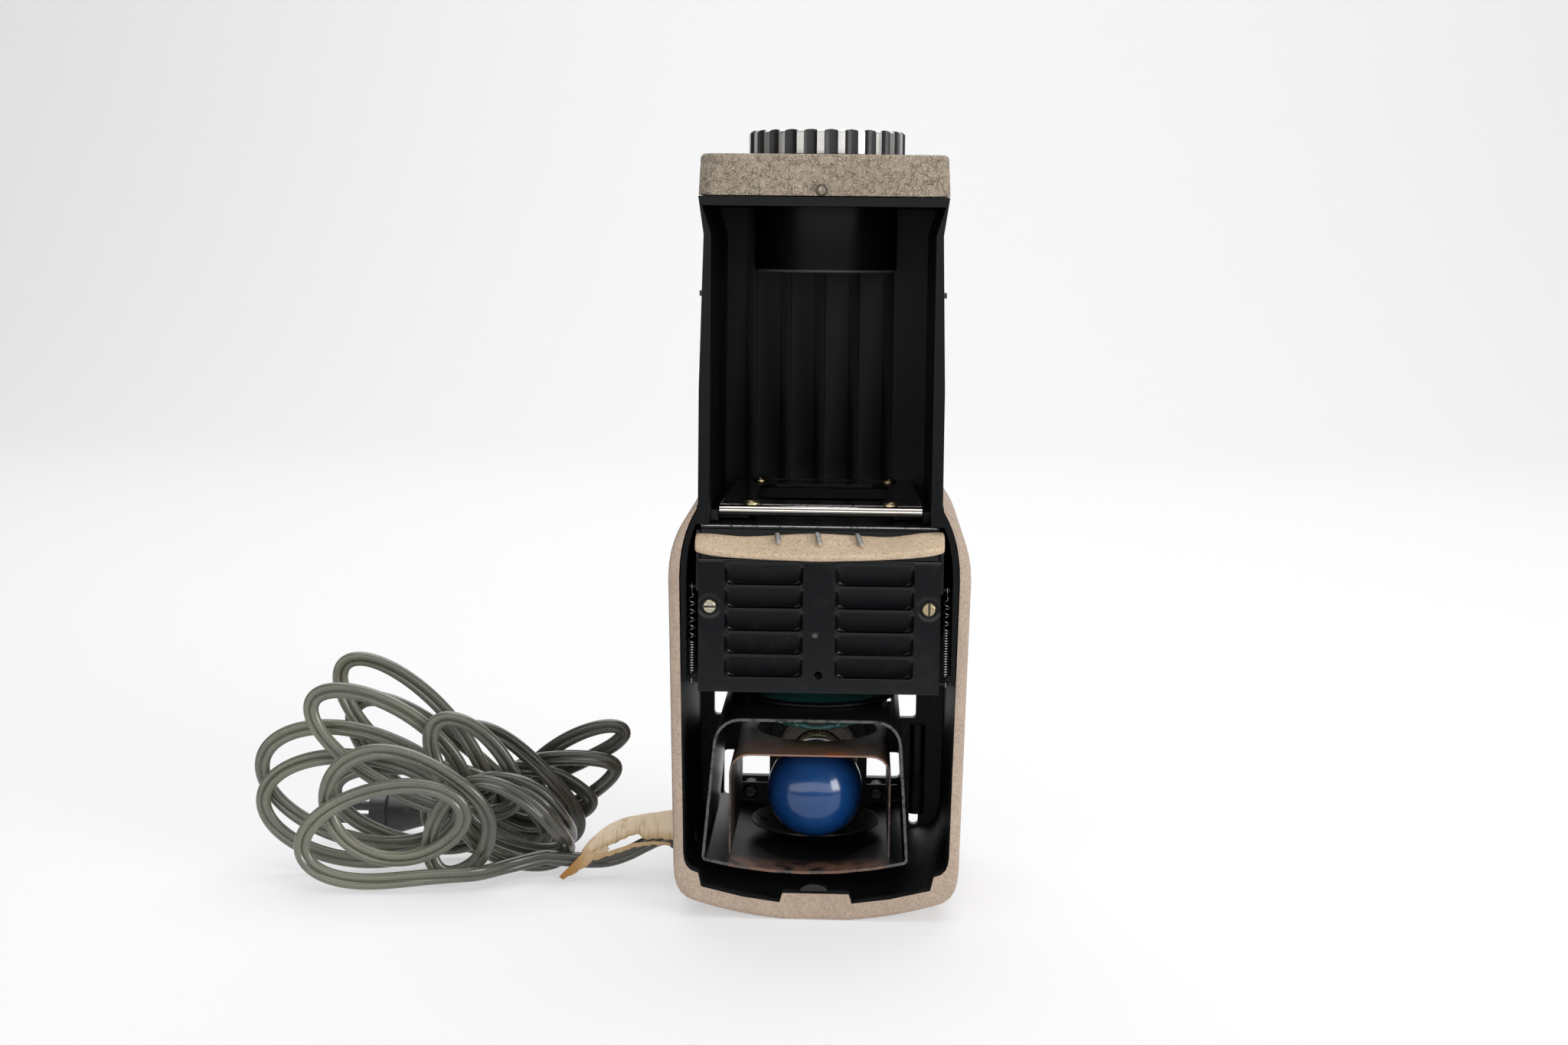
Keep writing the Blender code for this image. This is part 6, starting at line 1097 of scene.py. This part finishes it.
COVER_FRONT_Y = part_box("louvred_cover")[0].y
COVER_THICK = 0.0008
COVER_EDGE = 0.00015
COVER_HALF = 0.0422         # half its width
COVER_TOP = 0.1285
COVER_BOTTOM = 0.0814
LOUVRE_ROWS = 5
LOUVRE_TOP = 0.1270
LOUVRE_PITCH = 0.00818
LOUVRE_TALL = 0.0076
LOUVRE_NEAR = 0.0056
LOUVRE_FAR = 0.0331
LOUVRE_DEEP = 0.0034
LOUVRE_CORNER = 0.0014
LOUVRE_END_SHARE = 0.075
COVER_SCREW = (0.0383, 0.1118)
SEAT_RADIUS = 0.0039
SEAT_DEEP = 0.0003
SEAT_SLOPE = 0.0006
COVER_HOLE = (0.0, 0.0877)
HOLE_RADIUS = 0.0015
DENT = (-0.0013, 0.1019)
DENT_DEEP = 0.0003
DENT_RADIUS = 0.0010
DENT_FLATNESS = 1.8
CHIP_EDGE = (0.0019, 0.0012)
CHIP_RAGGED = 0.0012
SETTLING = 0.003            # beyond a louvre's ends, over which its rounding dies out
LAST_SETTLING = 0.0015      # below the lowest cut
DRILL_REACH = (0.002, 0.003)
SLOT_EDGE = (0.00046, 0.00034)


def sheet_depth(x, z):
    """Depth of the flat parts of the cover: a shallow seat round each screw, and one small dent."""
    from_screw = np.hypot(np.abs(x) - COVER_SCREW[0], z - COVER_SCREW[1])
    seat = np.clip((SEAT_RADIUS + SEAT_SLOPE / 2 - from_screw) / SEAT_SLOPE, 0, 1)
    from_dent = np.hypot(x - DENT[0], (z - DENT[1]) * DENT_FLATNESS)
    return SEAT_DEEP * eased(seat) + DENT_DEEP * np.exp(-(from_dent / DENT_RADIUS) ** 2)


def cover_surface():
    """Strips of sheet between one cut and the next. Within a louvre the sheet goes back by its depth
    times f(u) g(v): f rises from 0 to 1 in a quarter circle at both ends of the width, and
    g = 1 - (1 - v)^1.9 from the top down. Near the cut the louvre narrows by R - sqrt(R^2 - t^2), which
    rounds its lower corners. The strips weld together except along the cuts."""
    louvre = np.linspace(LOUVRE_NEAR, LOUVRE_FAR, 57)
    right = np.concatenate((np.linspace(0, LOUVRE_NEAR, 12)[:-1], louvre,
                            np.linspace(LOUVRE_FAR, COVER_HALF, 21)[1:]))
    x = np.concatenate((-right[:0:-1], right))[None]
    u = np.clip((np.abs(x) - LOUVRE_NEAR) / (LOUVRE_FAR - LOUVRE_NEAR), 0, 1)
    end = np.clip(np.minimum(u, 1 - u) / LOUVRE_END_SHARE, 0, 1)
    across = np.sqrt(1 - (1 - end) ** 2)
    middle = (LOUVRE_NEAR + LOUVRE_FAR) / 2
    half = (LOUVRE_FAR - LOUVRE_NEAR) / 2
    reach = np.clip((np.abs(x) - middle) / half, -1, 1)
    past = np.clip((np.abs(x) - LOUVRE_FAR) / SETTLING, 0, 1)
    beyond = past + np.clip((LOUVRE_NEAR - np.abs(x)) / SETTLING, 0, 1)
    strips = []
    top = COVER_TOP
    narrowed = 0.0 * x
    for row in range(LOUVRE_ROWS):
        start = LOUVRE_TOP - row * LOUVRE_PITCH
        v = np.concatenate(([0.0], 1 - (1 - np.linspace(0, 1, 20)) ** 1.3))[:, None]
        z = start - v * LOUVRE_TALL
        z[0] = top
        t = np.clip(1 - (1 - v) * LOUVRE_TALL / LOUVRE_CORNER, 0, 1)
        inset = LOUVRE_CORNER * (1 - np.sqrt(1 - t ** 2))
        moved = -np.sign(x) * reach * inset * (1 - beyond)
        moved[0] = narrowed
        narrowed = moved[-1]
        depth = LOUVRE_DEEP * across * (1 - (1 - v) ** 1.9)
        depth[0] = 0
        strips.append((x + moved, z, depth))
        top = start - LOUVRE_TALL
    z = np.linspace(top, COVER_BOTTOM, 12)[:, None]
    strips.append((x + narrowed * np.clip(1 - (top - z) / LAST_SETTLING, 0, 1), z, 0))
    grids = [np.stack((at_x, COVER_FRONT_Y + deep + sheet_depth(at_x, at_z), at_z + 0 * x), axis=-1)
             for at_x, at_z, deep in strips]
    piece = surface("pressed_louvre_cover", *grids)
    work = bmesh.new()
    work.from_mesh(piece.data)
    bmesh.ops.remove_doubles(work, verts=work.verts, dist=1e-7)
    bmesh.ops.reverse_faces(work, faces=[face for face in work.faces if face.normal.y > 0])
    work.to_mesh(piece.data)
    work.free()
    piece.data.shade_smooth()
    thickened(piece, COVER_THICK, -1)
    bevelled(piece, COVER_EDGE, 1.0)
    return piece


def pierced(piece, centre, radius):
    """Drills a round hole through a sheet along the depth, and settles its modifiers into the mesh."""
    front = COVER_FRONT_Y - DRILL_REACH[0]
    back = COVER_FRONT_Y + DRILL_REACH[1]
    drill = turned("drill", [(0.0, front), (radius, front), (radius, back), (0.0, back)], 32, centre, "y")
    hole = piece.modifiers.new("hole", 'BOOLEAN')
    hole.object = drill
    settled = bpy.data.meshes.new_from_object(piece.evaluated_get(bpy.context.evaluated_depsgraph_get()))
    piece.modifiers.clear()
    piece.data = settled
    bpy.data.objects.remove(drill)
    return piece


def cover_enamel():
    """Black enamel on the pressed sheet: a smooth satin gloss, a little dust, and chips at the dent."""
    finish = Finish("cover_enamel")
    dust = finish.noise(120, 4, 0.6).rise(0.5, 0.8)
    speck = finish.noise(2100, 2).rise(0.72, 0.76)
    base = (dust * 0.02).between((0.0030, 0.0036, 0.0044), (0.16, 0.15, 0.14))
    base = (speck * 0.15).between(base, (0.34, 0.33, 0.30))
    across = finish.x - DENT[0]
    up = (finish.z - DENT[1]) * 1.5
    ragged = finish.noise(1500, 2) * CHIP_RAGGED
    chip = ((across * across + up * up) ** 0.5 + ragged).rise(*CHIP_EDGE)
    base = (chip * 0.5).between(base, (0.14, 0.14, 0.135))
    return finish.set(Base_Color=base, Roughness=dust.toward(0.25, 0.32), Specular_IOR_Level=0.28,
                      Normal=finish.bumps(finish.noise(220, 2), 0.00001, 0.2))


stand_for(pierced(cover_surface(), COVER_HOLE, HOLE_RADIUS), cover_enamel(), "louvred_cover")


def screw_brass():
    """Brass with worn plating: silvery on the left screw and yellower on the right. The slots of both are
    near black and less metallic. The left slot lies level, and the right one stands upright."""
    finish = Finish("cover_screw_brass")
    side = finish.x.rise(-0.001, 0.001)
    level = abs(finish.z - COVER_SCREW[1]).rise(*SLOT_EDGE)
    upright = abs(finish.x - COVER_SCREW[0]).rise(*SLOT_EDGE)
    slot = side * upright + (1 - side) * level
    dull = finish.noise(800, 3, 0.6).rise(0.45, 0.75)
    bright = side.between((0.68, 0.63, 0.50), (0.66, 0.55, 0.33))
    base = (dull * 0.7).between(bright, (0.26, 0.20, 0.12))
    base = (slot * 0.92).between(base, (0.018, 0.014, 0.010))
    return finish.set(Base_Color=base, Metallic=slot.toward(1.0, 0.3), Roughness=dull.toward(0.28, 0.42),
                      Normal=finish.bumps(finish.noise(1500, 2), 0.00002, 0.5))


screw_metal = screw_brass()
for name in ("cover_screw_left", "cover_screw_right"):
    refined(name, screw_metal, 0.00015)


# Finger grip: a tan enamelled handle screwed to the carriage, with three pressed ribs whose
# tops are worn to the metal. Pulling it down opens the gate.

# Edges seen from the front, x and z in millimetres: the upper edge, the front edge and the lower edge
GRIP_TOP = ((-43.1, 137.6), (-38.1, 137.5), (-32.9, 137.0), (-26.2, 136.5), (-19.5, 136.9), (-12.2, 137.5),
            (-0.8, 138.1), (8.5, 137.7), (18.8, 137.2), (23.9, 137.1), (29.1, 137.7), (35.3, 138.8),
            (43.1, 139.2))
GRIP_FRONT = ((-43.1, 134.3), (-37.6, 132.6), (-27.3, 131.6), (-11.9, 131.2), (-0.2, 131.2), (18.8, 131.8),
              (34.1, 133.0), (43.1, 134.6))
GRIP_LOW = ((-43.1, 131.6), (-39.7, 130.6), (-32.5, 129.8), (-17.1, 129.3), (-0.2, 129.0), (18.8, 129.6),
            (32.1, 130.4), (39.3, 131.2), (43.1, 132.4))
GRIP_RIBS = (((-14.8, 137.6), (-14.1, 134.2)), ((-1.0, 138.1), (0.2, 134.0)), ((12.8, 137.8), (14.6, 133.8)))
GRIP_CORNERS = (0.3, 1.0, 1.1, 1.0, 0.8, 0.3)
LINE_CORNER = 4.0
GRIP_HALF = 43.1
GRIP_ENDS = 42.3
END_ROUND = 0.8
END_SHRINK = 0.32
GRIP_REACH = 5.6            # before the rim, in the middle
REACH_LOSS = 2.4            # less at the ends
GRIP_BACK = 2.7             # behind the rim
CREST = 1.6                 # the upper edge, behind the rim
CREST_FALL = 0.1
NOSE = (0.3, 0.9)           # the front edge's lower corner, back and down
CHIN = 1.3                  # the lower edge, back from the front edge
BACK_RISE = 0.2
RIB_WIDE = 0.95             # half its width
RIB_TALL = 0.85
RIB_OUT = 0.7
RIB_UP = 0.6
RIB_POWER = 0.6


def height_at(line, x):
    """Height of a line of points at x, with its corners eased."""
    curve = softened(line, LINE_CORNER, 8)
    return np.interp(x, curve[:, 0], curve[:, 1])


def grip_reach(x):
    """How far the grip stands before the rim: less towards the ends, by the square of the share."""
    return GRIP_REACH - REACH_LOSS * (x / GRIP_HALF) ** 2


def grip_body():
    """A six-cornered section with eased corners, carried along x. At the ends it shrinks on a quarter
    circle and closes to a point."""
    a = np.linspace(0, math.pi / 2, 7)[1:]
    straight = np.linspace(-GRIP_ENDS, GRIP_ENDS, 121)
    beyond = GRIP_ENDS + END_ROUND * np.sin(a)
    x = np.concatenate((-beyond[::-1], straight, beyond))
    shrink = np.concatenate((np.cos(a)[::-1], np.ones(len(straight)), np.cos(a)))
    shrink = 1 - END_SHRINK * (1 - shrink)
    top, front, low = (height_at(line, x) for line in (GRIP_TOP, GRIP_FRONT, GRIP_LOW))
    nose = -grip_reach(x)
    corners = ((GRIP_BACK, top), (CREST, top - CREST_FALL), (nose, front), (nose + NOSE[0], front - NOSE[1]),
               (nose + CHIN, low), (GRIP_BACK, low + BACK_RISE))
    corners = np.stack([np.stack((depth + 0 * x, height), axis=-1) for depth, height in corners], axis=1)
    sections = softened(corners, GRIP_CORNERS, 7, closed=True)
    middle = sections.mean(axis=1, keepdims=True)
    sections = middle + (sections - middle) * shrink[:, None, None]
    ends = 0 * sections[[0, -1]] + sections[[0, -1]].mean(axis=1, keepdims=True)
    sections = np.concatenate((ends[:1], sections, ends[1:]))
    x = np.concatenate((x[:1], x, x[-1:]))[:, None]
    return np.stack((x + 0 * sections[..., 0], sections[..., 0] + RIM_Y / MM, sections[..., 1]), axis=-1) * MM


def grip_rib(top, low):
    """A bar laid on the sloping face from its upper end to its lower one. Its section is a superellipse,
    and its tallest parts are the most worn."""
    t = np.linspace(0, 1, 21)[:, None]
    x = top[0] + (low[0] - top[0]) * t
    z = top[1] + (low[1] - top[1]) * t
    down = (height_at(GRIP_TOP, x) - z) / (height_at(GRIP_TOP, x) - height_at(GRIP_FRONT, x))
    depth = CREST - down * (CREST + grip_reach(x)) - RIB_OUT
    swell = np.sqrt(1 - np.abs(2 * t - 1) ** 6)
    angle = np.linspace(0, 2 * math.pi, 20, endpoint=False)[None]
    wide, tall = (half * np.sign(wave) * np.abs(wave) ** RIB_POWER * swell
                  for half, wave in ((RIB_WIDE, np.cos(angle)), (RIB_TALL, np.sin(angle))))
    grid = np.stack((x + wide, depth - RIB_OUT * tall + RIM_Y / MM, z + RIB_UP + RIB_OUT * tall), axis=-1)
    return grid * MM, np.clip(tall / RIB_TALL * 3 - 0.6, 0, 1)


def grip_surface():
    """The grip's body with its three ribs. Each vertex keeps how worn it is."""
    body = grip_body()
    ribs, wear = zip(*(grip_rib(top, low) for top, low in GRIP_RIBS))
    piece = surface("finger_grip_handle", body, *ribs, loop_columns=True)
    keep(piece, "worn", np.concatenate((np.zeros(body[..., 0].size), np.ravel(wear))))
    return tidy(piece, 0.9)


def grip_finish():
    """Sandy enamel, worn through to grey metal on the tops of the ribs."""
    finish = tan_enamel("grip_enamel", (0.60, 0.465, 0.32), (0.34, 0.25, 0.16), 0.00040, 1.1)
    bare = (finish.kept("worn") + (finish.noise(900, 3) - 0.5) * 0.6).rise(0.4, 0.6)
    metal = finish.noise(400, 3).between((0.30, 0.295, 0.29), (0.46, 0.45, 0.44))
    return finish.set(Base_Color=bare.between(finish.base(), metal), Metallic=bare * 0.8,
                      Roughness=bare.toward(0.6, 0.42))


stand_for(grip_surface(), grip_finish(), "finger_grip")


# Side rails: two black steel strips that guide the carriage and hold the springs' upper pegs.

rail_paint = sheet_paint("rail_enamel", 0.32, 0.4, 0.2)
for name in ("guide_rail_left", "guide_rail_right"):
    refined(name, rail_paint, 0.0002)


# Springs: two wound steel extension springs that pull the carriage up against the slide.

UPPER_PEG_Z = 0.1180
LOWER_PEG_Z = 0.0845
COIL_RADIUS = 0.0012
EYE_RADIUS = 0.00145
WIRE_RADIUS = 0.00021
WIRE_SIDES = 10
WIRE_START = (0.31, 0.17, 0.93)
CLOSE_PITCH = 0.00092
CURL_POINTS = 20


def spring_path(x, y, open_curls, close_curls):
    """An eye round the upper peg, a helix whose pitch is wide and then close, and an eye round the lower
    peg: (x + r cos a, y + r sin a, z) along the helix, and circles across X at the eyes."""
    top = UPPER_PEG_Z - EYE_RADIUS - COIL_RADIUS
    low = LOWER_PEG_Z + EYE_RADIUS + COIL_RADIUS
    open_pitch = (top - low - close_curls * CLOSE_PITCH) / open_curls
    k = np.arange((open_curls + close_curls) * CURL_POINTS + 1)
    turn = k / CURL_POINTS
    angle = 2 * math.pi * turn - math.pi / 2
    radius = COIL_RADIUS * np.minimum(1, np.minimum(turn, turn[::-1]) * 2)
    drop = np.minimum(turn, open_curls) * open_pitch + np.maximum(turn - open_curls, 0) * CLOSE_PITCH
    coil = np.stack((x + radius * np.cos(angle), y + radius * np.sin(angle), top - drop), axis=1)
    eye = np.radians(np.arange(-30, 241, 15))
    out = EYE_RADIUS * np.cos(eye)
    up = EYE_RADIUS * np.sin(eye)
    upper = np.stack((x + 0 * eye, y + out, UPPER_PEG_Z + up), axis=1)
    lower = np.stack((x + 0 * eye, y - out, LOWER_PEG_Z - up), axis=1)
    return np.concatenate((upper, coil, lower[::-1]))


def wire_surface(name, path):
    """Sweeps the wire's circle along a path, square to it everywhere."""
    along = np.gradient(path, axis=0)
    along /= np.linalg.norm(along, axis=1, keepdims=True)
    side = np.cross(along, WIRE_START)
    side /= np.linalg.norm(side, axis=1, keepdims=True)
    through = np.cross(side, along)
    angle = np.linspace(0, 2 * math.pi, WIRE_SIDES, endpoint=False)[None, :, None]
    grid = path[:, None] + WIRE_RADIUS * (side[:, None] * np.cos(angle) + through[:, None] * np.sin(angle))
    return tidy(surface(name, grid, loop_columns=True), 1.5)


def spring(name, open_curls, close_curls):
    """A wound spring in place of its node, stretched between the rail's peg and the carriage's."""
    low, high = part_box(name)
    x = (low.x + high.x) / 2
    y = (low.y + high.y) / 2
    piece = wire_surface("wound_" + name, spring_path(x, y, open_curls, close_curls))
    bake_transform(piece, nodes["guide_rail_left"]["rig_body"], nodes["carriage_frame"]["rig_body"],
             start=(x, y, UPPER_PEG_Z), end=(x, y, LOWER_PEG_Z))
    stand_for(piece, spring_steel, name)


spring_steel = bright_steel("spring_steel", (0.80, 0.79, 0.77), 0.3)
spring("spring_left", 6, 12)
spring("spring_right", 4, 18)


# Lamp shields: an outer black sheet hood, and an inner one of copper-coloured sheet with painted shade
# and a painted orange highlight.

# Where the hood's floor is brown: along the depth, by height, and at its left and right ends
BROWN_STRIP_Y = (-0.030, -0.0405)
BROWN_STRIP_Z = (0.0200, 0.0185)
BROWN_STRIP_LEFT = (-0.0335, -0.0295)
BROWN_STRIP_RIGHT = (0.0275, 0.0235)
# Where the inner sheet shows its copper, lit, with painted shade behind: the height and depth of its top's
# front, a painted orange highlight and its edge, and its bare edge
LIT_COPPER_Z = (0.0530, 0.0565)
LIT_COPPER_Y = (-0.012, -0.036)
ORANGE_HIGHLIGHT = (0.0065, -0.0385)
ORANGE_HIGHLIGHT_EDGE = (0.0042, 0.0012)
BARE_EDGE = (-0.0402, -0.0407)


def hood_enamel():
    """Black enamel like the gate's, brown in a blotchy strip along the front of the hood's floor."""
    finish = sheet_paint("shield_enamel", 0.34, 0.5, 0.2, front="outer_lamp_shield")
    blot = finish.noise(160, 5, 0.5).rise(0.30, 0.62)
    across = finish.x.rise(*BROWN_STRIP_LEFT) * finish.x.rise(*BROWN_STRIP_RIGHT)
    strip = finish.y.rise(*BROWN_STRIP_Y) * finish.z.rise(*BROWN_STRIP_Z) * across
    return finish.set(Base_Color=(strip * blot * 0.95).between(finish.base(), (0.17, 0.088, 0.060)))


refined("outer_lamp_shield", hood_enamel(), 0.0002)


def copper_painted_light():
    """Copper-coloured sheet: copper brown along the top's front, where it is lit, with an orange painted
    highlight over the lamp, and dark on the sides and behind, painted shade mottled by soot."""
    finish = Finish("heat_tinted_sheet")
    soot = finish.noise(75, 5, 0.65).rise(0.38, 0.7)
    top = finish.z.rise(*LIT_COPPER_Z) * finish.y.rise(*LIT_COPPER_Y)
    across = finish.x - ORANGE_HIGHLIGHT[0]
    along = finish.y - ORANGE_HIGHLIGHT[1]
    spot = ((across * across * 0.35 + along * along) ** 0.5).rise(*ORANGE_HIGHLIGHT_EDGE) * top
    edge = finish.y.rise(*BARE_EDGE) * finish.noise(700, 3).rise(0.40, 0.65)
    # painted shade: dark where the copper is not lit, mottled by soot
    base = soot.between((0.055, 0.036, 0.030), (0.022, 0.018, 0.017))
    base = (top * 0.9).between(base, (0.27, 0.15, 0.10))
    # painted highlight: the orange spot over the lamp
    base = (spot * 0.8).between(base, (0.52, 0.15, 0.045))
    base = (edge * 0.35).between(base, (0.22, 0.165, 0.135))
    return finish.set(Base_Color=base, Metallic=0.35, Roughness=soot.toward(0.42, 0.58),
                      Normal=finish.bumps(finish.noise(300, 3), 0.00003, 0.4))


refined("inner_lamp_shield", copper_painted_light(), 0.00015)


# Rear condenser: a thick lens of green heat glass on the hood, held by a black sprung clip.

stand_for(lens_surface("green_condenser", "rear_condenser_lens", CONDENSER_CROWN, HEAT_GLASS_CROWN),
          lens_glass("green_heat_glass", (0.07, 0.31, 0.28), 0.08, 0.55), "rear_condenser_lens")
refined("glass_clip_ring", sheet_paint("clip_enamel", 0.34), 0.00015)


# Lamp: a round glass bulb with a blue dome, lying along the depth. Its brass cap plugs into a
# pale ceramic holder on a bracket, and a dark concave reflector stands under it.

LAMP_X = -0.0011
LAMP_Z = 0.0404
BULB_RADIUS = 0.0173
BULB_TIP_DEPTH = 0.0115
NECK_RADIUS = 0.0098
NECK_DEPTH = 0.0715
BULB_END_DEPTH = 0.0718
DOME_FADE = (0.030, 0.0125)


def bulb_surface():
    """A sphere that draws in behind its widest part to a neck: radius sqrt(R^2 - t^2) in front, then
    a smooth step from R down to the neck's radius."""
    t = np.linspace(-1, 0.15, 48)
    round_front = BULB_RADIUS * np.sqrt(np.maximum(1 - t ** 2, 0))
    front = np.stack((round_front, BULB_TIP_DEPTH + BULB_RADIUS * (1 + t)), axis=1)
    share = np.linspace(0, 1, 30)[1:, None]
    r = front[-1, 0] + (NECK_RADIUS - front[-1, 0]) * eased(share)
    depth = front[-1, 1] + (NECK_DEPTH - front[-1, 1]) * share
    profile = np.concatenate((front, np.concatenate((r, depth), axis=1), [(0.0, BULB_END_DEPTH)]))
    profile[:, 1] += RIM_Y
    return turned("blue_domed_lamp", profile, 128, (LAMP_X, LAMP_Z), "y")


def bulb_finish():
    """Blue lacquered glass: deeper towards the edge and the neck, a little mottled, with a high gloss."""
    finish = Finish("blue_lacquer_glass")
    tip = finish.y.rise(at(DOME_FADE[0]), at(DOME_FADE[1]))
    mottle = finish.noise(240, 4, 0.6).rise(0.35, 0.7)
    base = tip.between((0.0015, 0.008, 0.040), (0.004, 0.042, 0.155))
    base = (mottle * 0.2).between(base, (0.006, 0.055, 0.19))
    return finish.set(Base_Color=base, Roughness=mottle.toward(0.14, 0.24), Coat_Weight=0.3,
                      Coat_Roughness=0.06)


stand_for(bulb_surface(), bulb_finish(), "lamp_bulb")
refined("lamp_base", brass, 0.0002)


# The holder is glazed cream ceramic, sooty in patches.
ceramic = patched("holder_ceramic", (130, 5, 0.6, 0.4, 0.75), ((0.52, 0.48, 0.40), (0.16, 0.13, 0.10)),
                  (0.25, 0.55), 0.7, (300, 4, 0.00006, 0.5))
refined("lamp_socket", ceramic, 0.0004)
refined("socket_bracket", sheet_paint("bracket_enamel", 0.4, 0.5, 0.3), 0.0002)
for name in ("bracket_screw_left", "bracket_screw_right"):
    refined(name, dark_steel, 0.0002)

# The reflector's dark silvering is sooty and has a dull gloss.
sooty_mirror = patched("sooty_mirror", (120, 5, 0.65, 0.35, 0.7), ((0.10, 0.085, 0.08), (0.02, 0.018, 0.018)),
                       (0.25, 0.5), 1.0, (400, 4, 0.00005, 0.5), Metallic=0.8)
refined("reflector", sooty_mirror, 0.0002)


# Small fittings: the covers' catch on the tab of the rim, two pins in the bay's walls, and
# four rubber feet on the underside.

refined("cover_catch", bright_steel("worn_catch_steel", (0.045, 0.044, 0.043), 0.45), 0.0002)
for name in ("cover_pin_left", "cover_pin_right"):
    refined(name, dark_steel, 0.0002)
for name in ("foot_rear_left", "foot_rear_right", "foot_front_left", "foot_front_right"):
    refined(name, rubber, 0.0005)


# Studio: a white sweep of paper and broad soft lamps. The paper looks near white to the camera
# and in gloss and glass, and still takes the object's shadow.

PAPER_FRONT = RIM_Y - 0.42
BEND_START = 1.6
BEND_RADIUS = 0.9
PAPER_HIGH = 6.0
PAPER_HALF = 6
PAPER_GLOW = 0.5
PAPER_SHADE_X = (-0.1, -1.2)
ROOM_LIGHT = 0.10


def paper_sweep():
    """Floor and back wall in one sheet: a quarter circle joins them well behind the object."""
    angle = np.linspace(0, math.pi / 2, 24)
    bend = np.stack((BEND_START + BEND_RADIUS * np.sin(angle), BEND_RADIUS * (1 - np.cos(angle))), axis=1)
    y, z = np.concatenate(([(PAPER_FRONT, 0.0)], bend, [(BEND_START + BEND_RADIUS, PAPER_HIGH)])).T
    x = np.linspace(-PAPER_HALF, PAPER_HALF, 3)[:, None]
    piece = surface("paper_sweep", np.stack((x + 0 * y, y + 0 * x, z + 0 * x), axis=-1))
    piece.data.shade_smooth()
    finish = Finish("white_paper")
    seen = finish.place.node("ShaderNodeLightPath", {}, "Is Camera Ray")
    gloss = finish.place.node("ShaderNodeLightPath", {}, "Is Glossy Ray")
    through = finish.place.node("ShaderNodeLightPath", {}, "Is Transmission Ray")
    finish.set(Base_Color=(0.86, 0.86, 0.87), Roughness=0.9, Specular_IOR_Level=0.0)
    white = finish.x.rise(*PAPER_SHADE_X).between((0.975, 0.977, 0.98), (0.87, 0.875, 0.88))
    glow = finish.place.node("ShaderNodeEmission", {"Color": white, "Strength": 1.0}, "Emission")
    share = seen.most(gloss).most(through) * PAPER_GLOW
    mix = finish.tree.nodes.new("ShaderNodeMixShader")
    finish.tree.links.new(share.socket, mix.inputs[0])
    finish.tree.links.new(finish.shader.outputs[0], mix.inputs[1])
    finish.tree.links.new(glow.socket, mix.inputs[2])
    finish.tree.links.new(mix.outputs[0], finish.tree.nodes["Material Output"].inputs[0])
    piece.data.materials.append(finish.material)


def soft_lamp(name, place, target, size, power):
    """A square area lamp at a place, turned to face its target."""
    data = bpy.data.lights.new(name, 'AREA')
    data.shape = 'RECTANGLE'
    data.size, data.size_y = size
    data.energy = power
    lamp = bpy.data.objects.new(name, data)
    lamp.matrix_world = (Matrix.Translation(place)
                         @ (Vector(target) - Vector(place)).to_track_quat('-Z', 'Y').to_matrix().to_4x4())
    bpy.context.scene.collection.objects.link(lamp)


def soft_room():
    """A dim room: only the camera and clear glass see it as white as the paper."""
    world = bpy.data.worlds.new("studio")
    bpy.context.scene.world = world
    world.use_nodes = True
    tree = world.node_tree
    start = Wire(tree, None)
    seen = start.node("ShaderNodeLightPath", {}, "Is Camera Ray")
    through = start.node("ShaderNodeLightPath", {}, "Is Transmission Ray")
    shown = seen.most(through)
    background = tree.nodes["Background"]
    background.inputs["Color"].default_value = (0.97, 0.97, 0.985, 1)
    tree.links.new(shown.toward(ROOM_LIGHT, 0.95).socket, background.inputs["Strength"])


paper_sweep()
soft_room()
soft_lamp("front_light", (0.25, -1.05, 0.36), (0.25, 0.0, 0.34), (5.0, 0.50), 16)
soft_lamp("right_lamp", (1.20, -0.80, 0.50), (0, 0, 0.12), (0.7, 0.6), 11)
soft_lamp("overhead_lamp", (0.1, -0.10, 1.5), (0, 0, 0.1), (1.5, 1.2), 13)
soft_lamp("backdrop_lamp", (0.0, 1.2, 1.7), (0, 1.4, 0), (2.4, 1.2), 26)
bpy.context.scene.view_settings.view_transform = 'Standard'
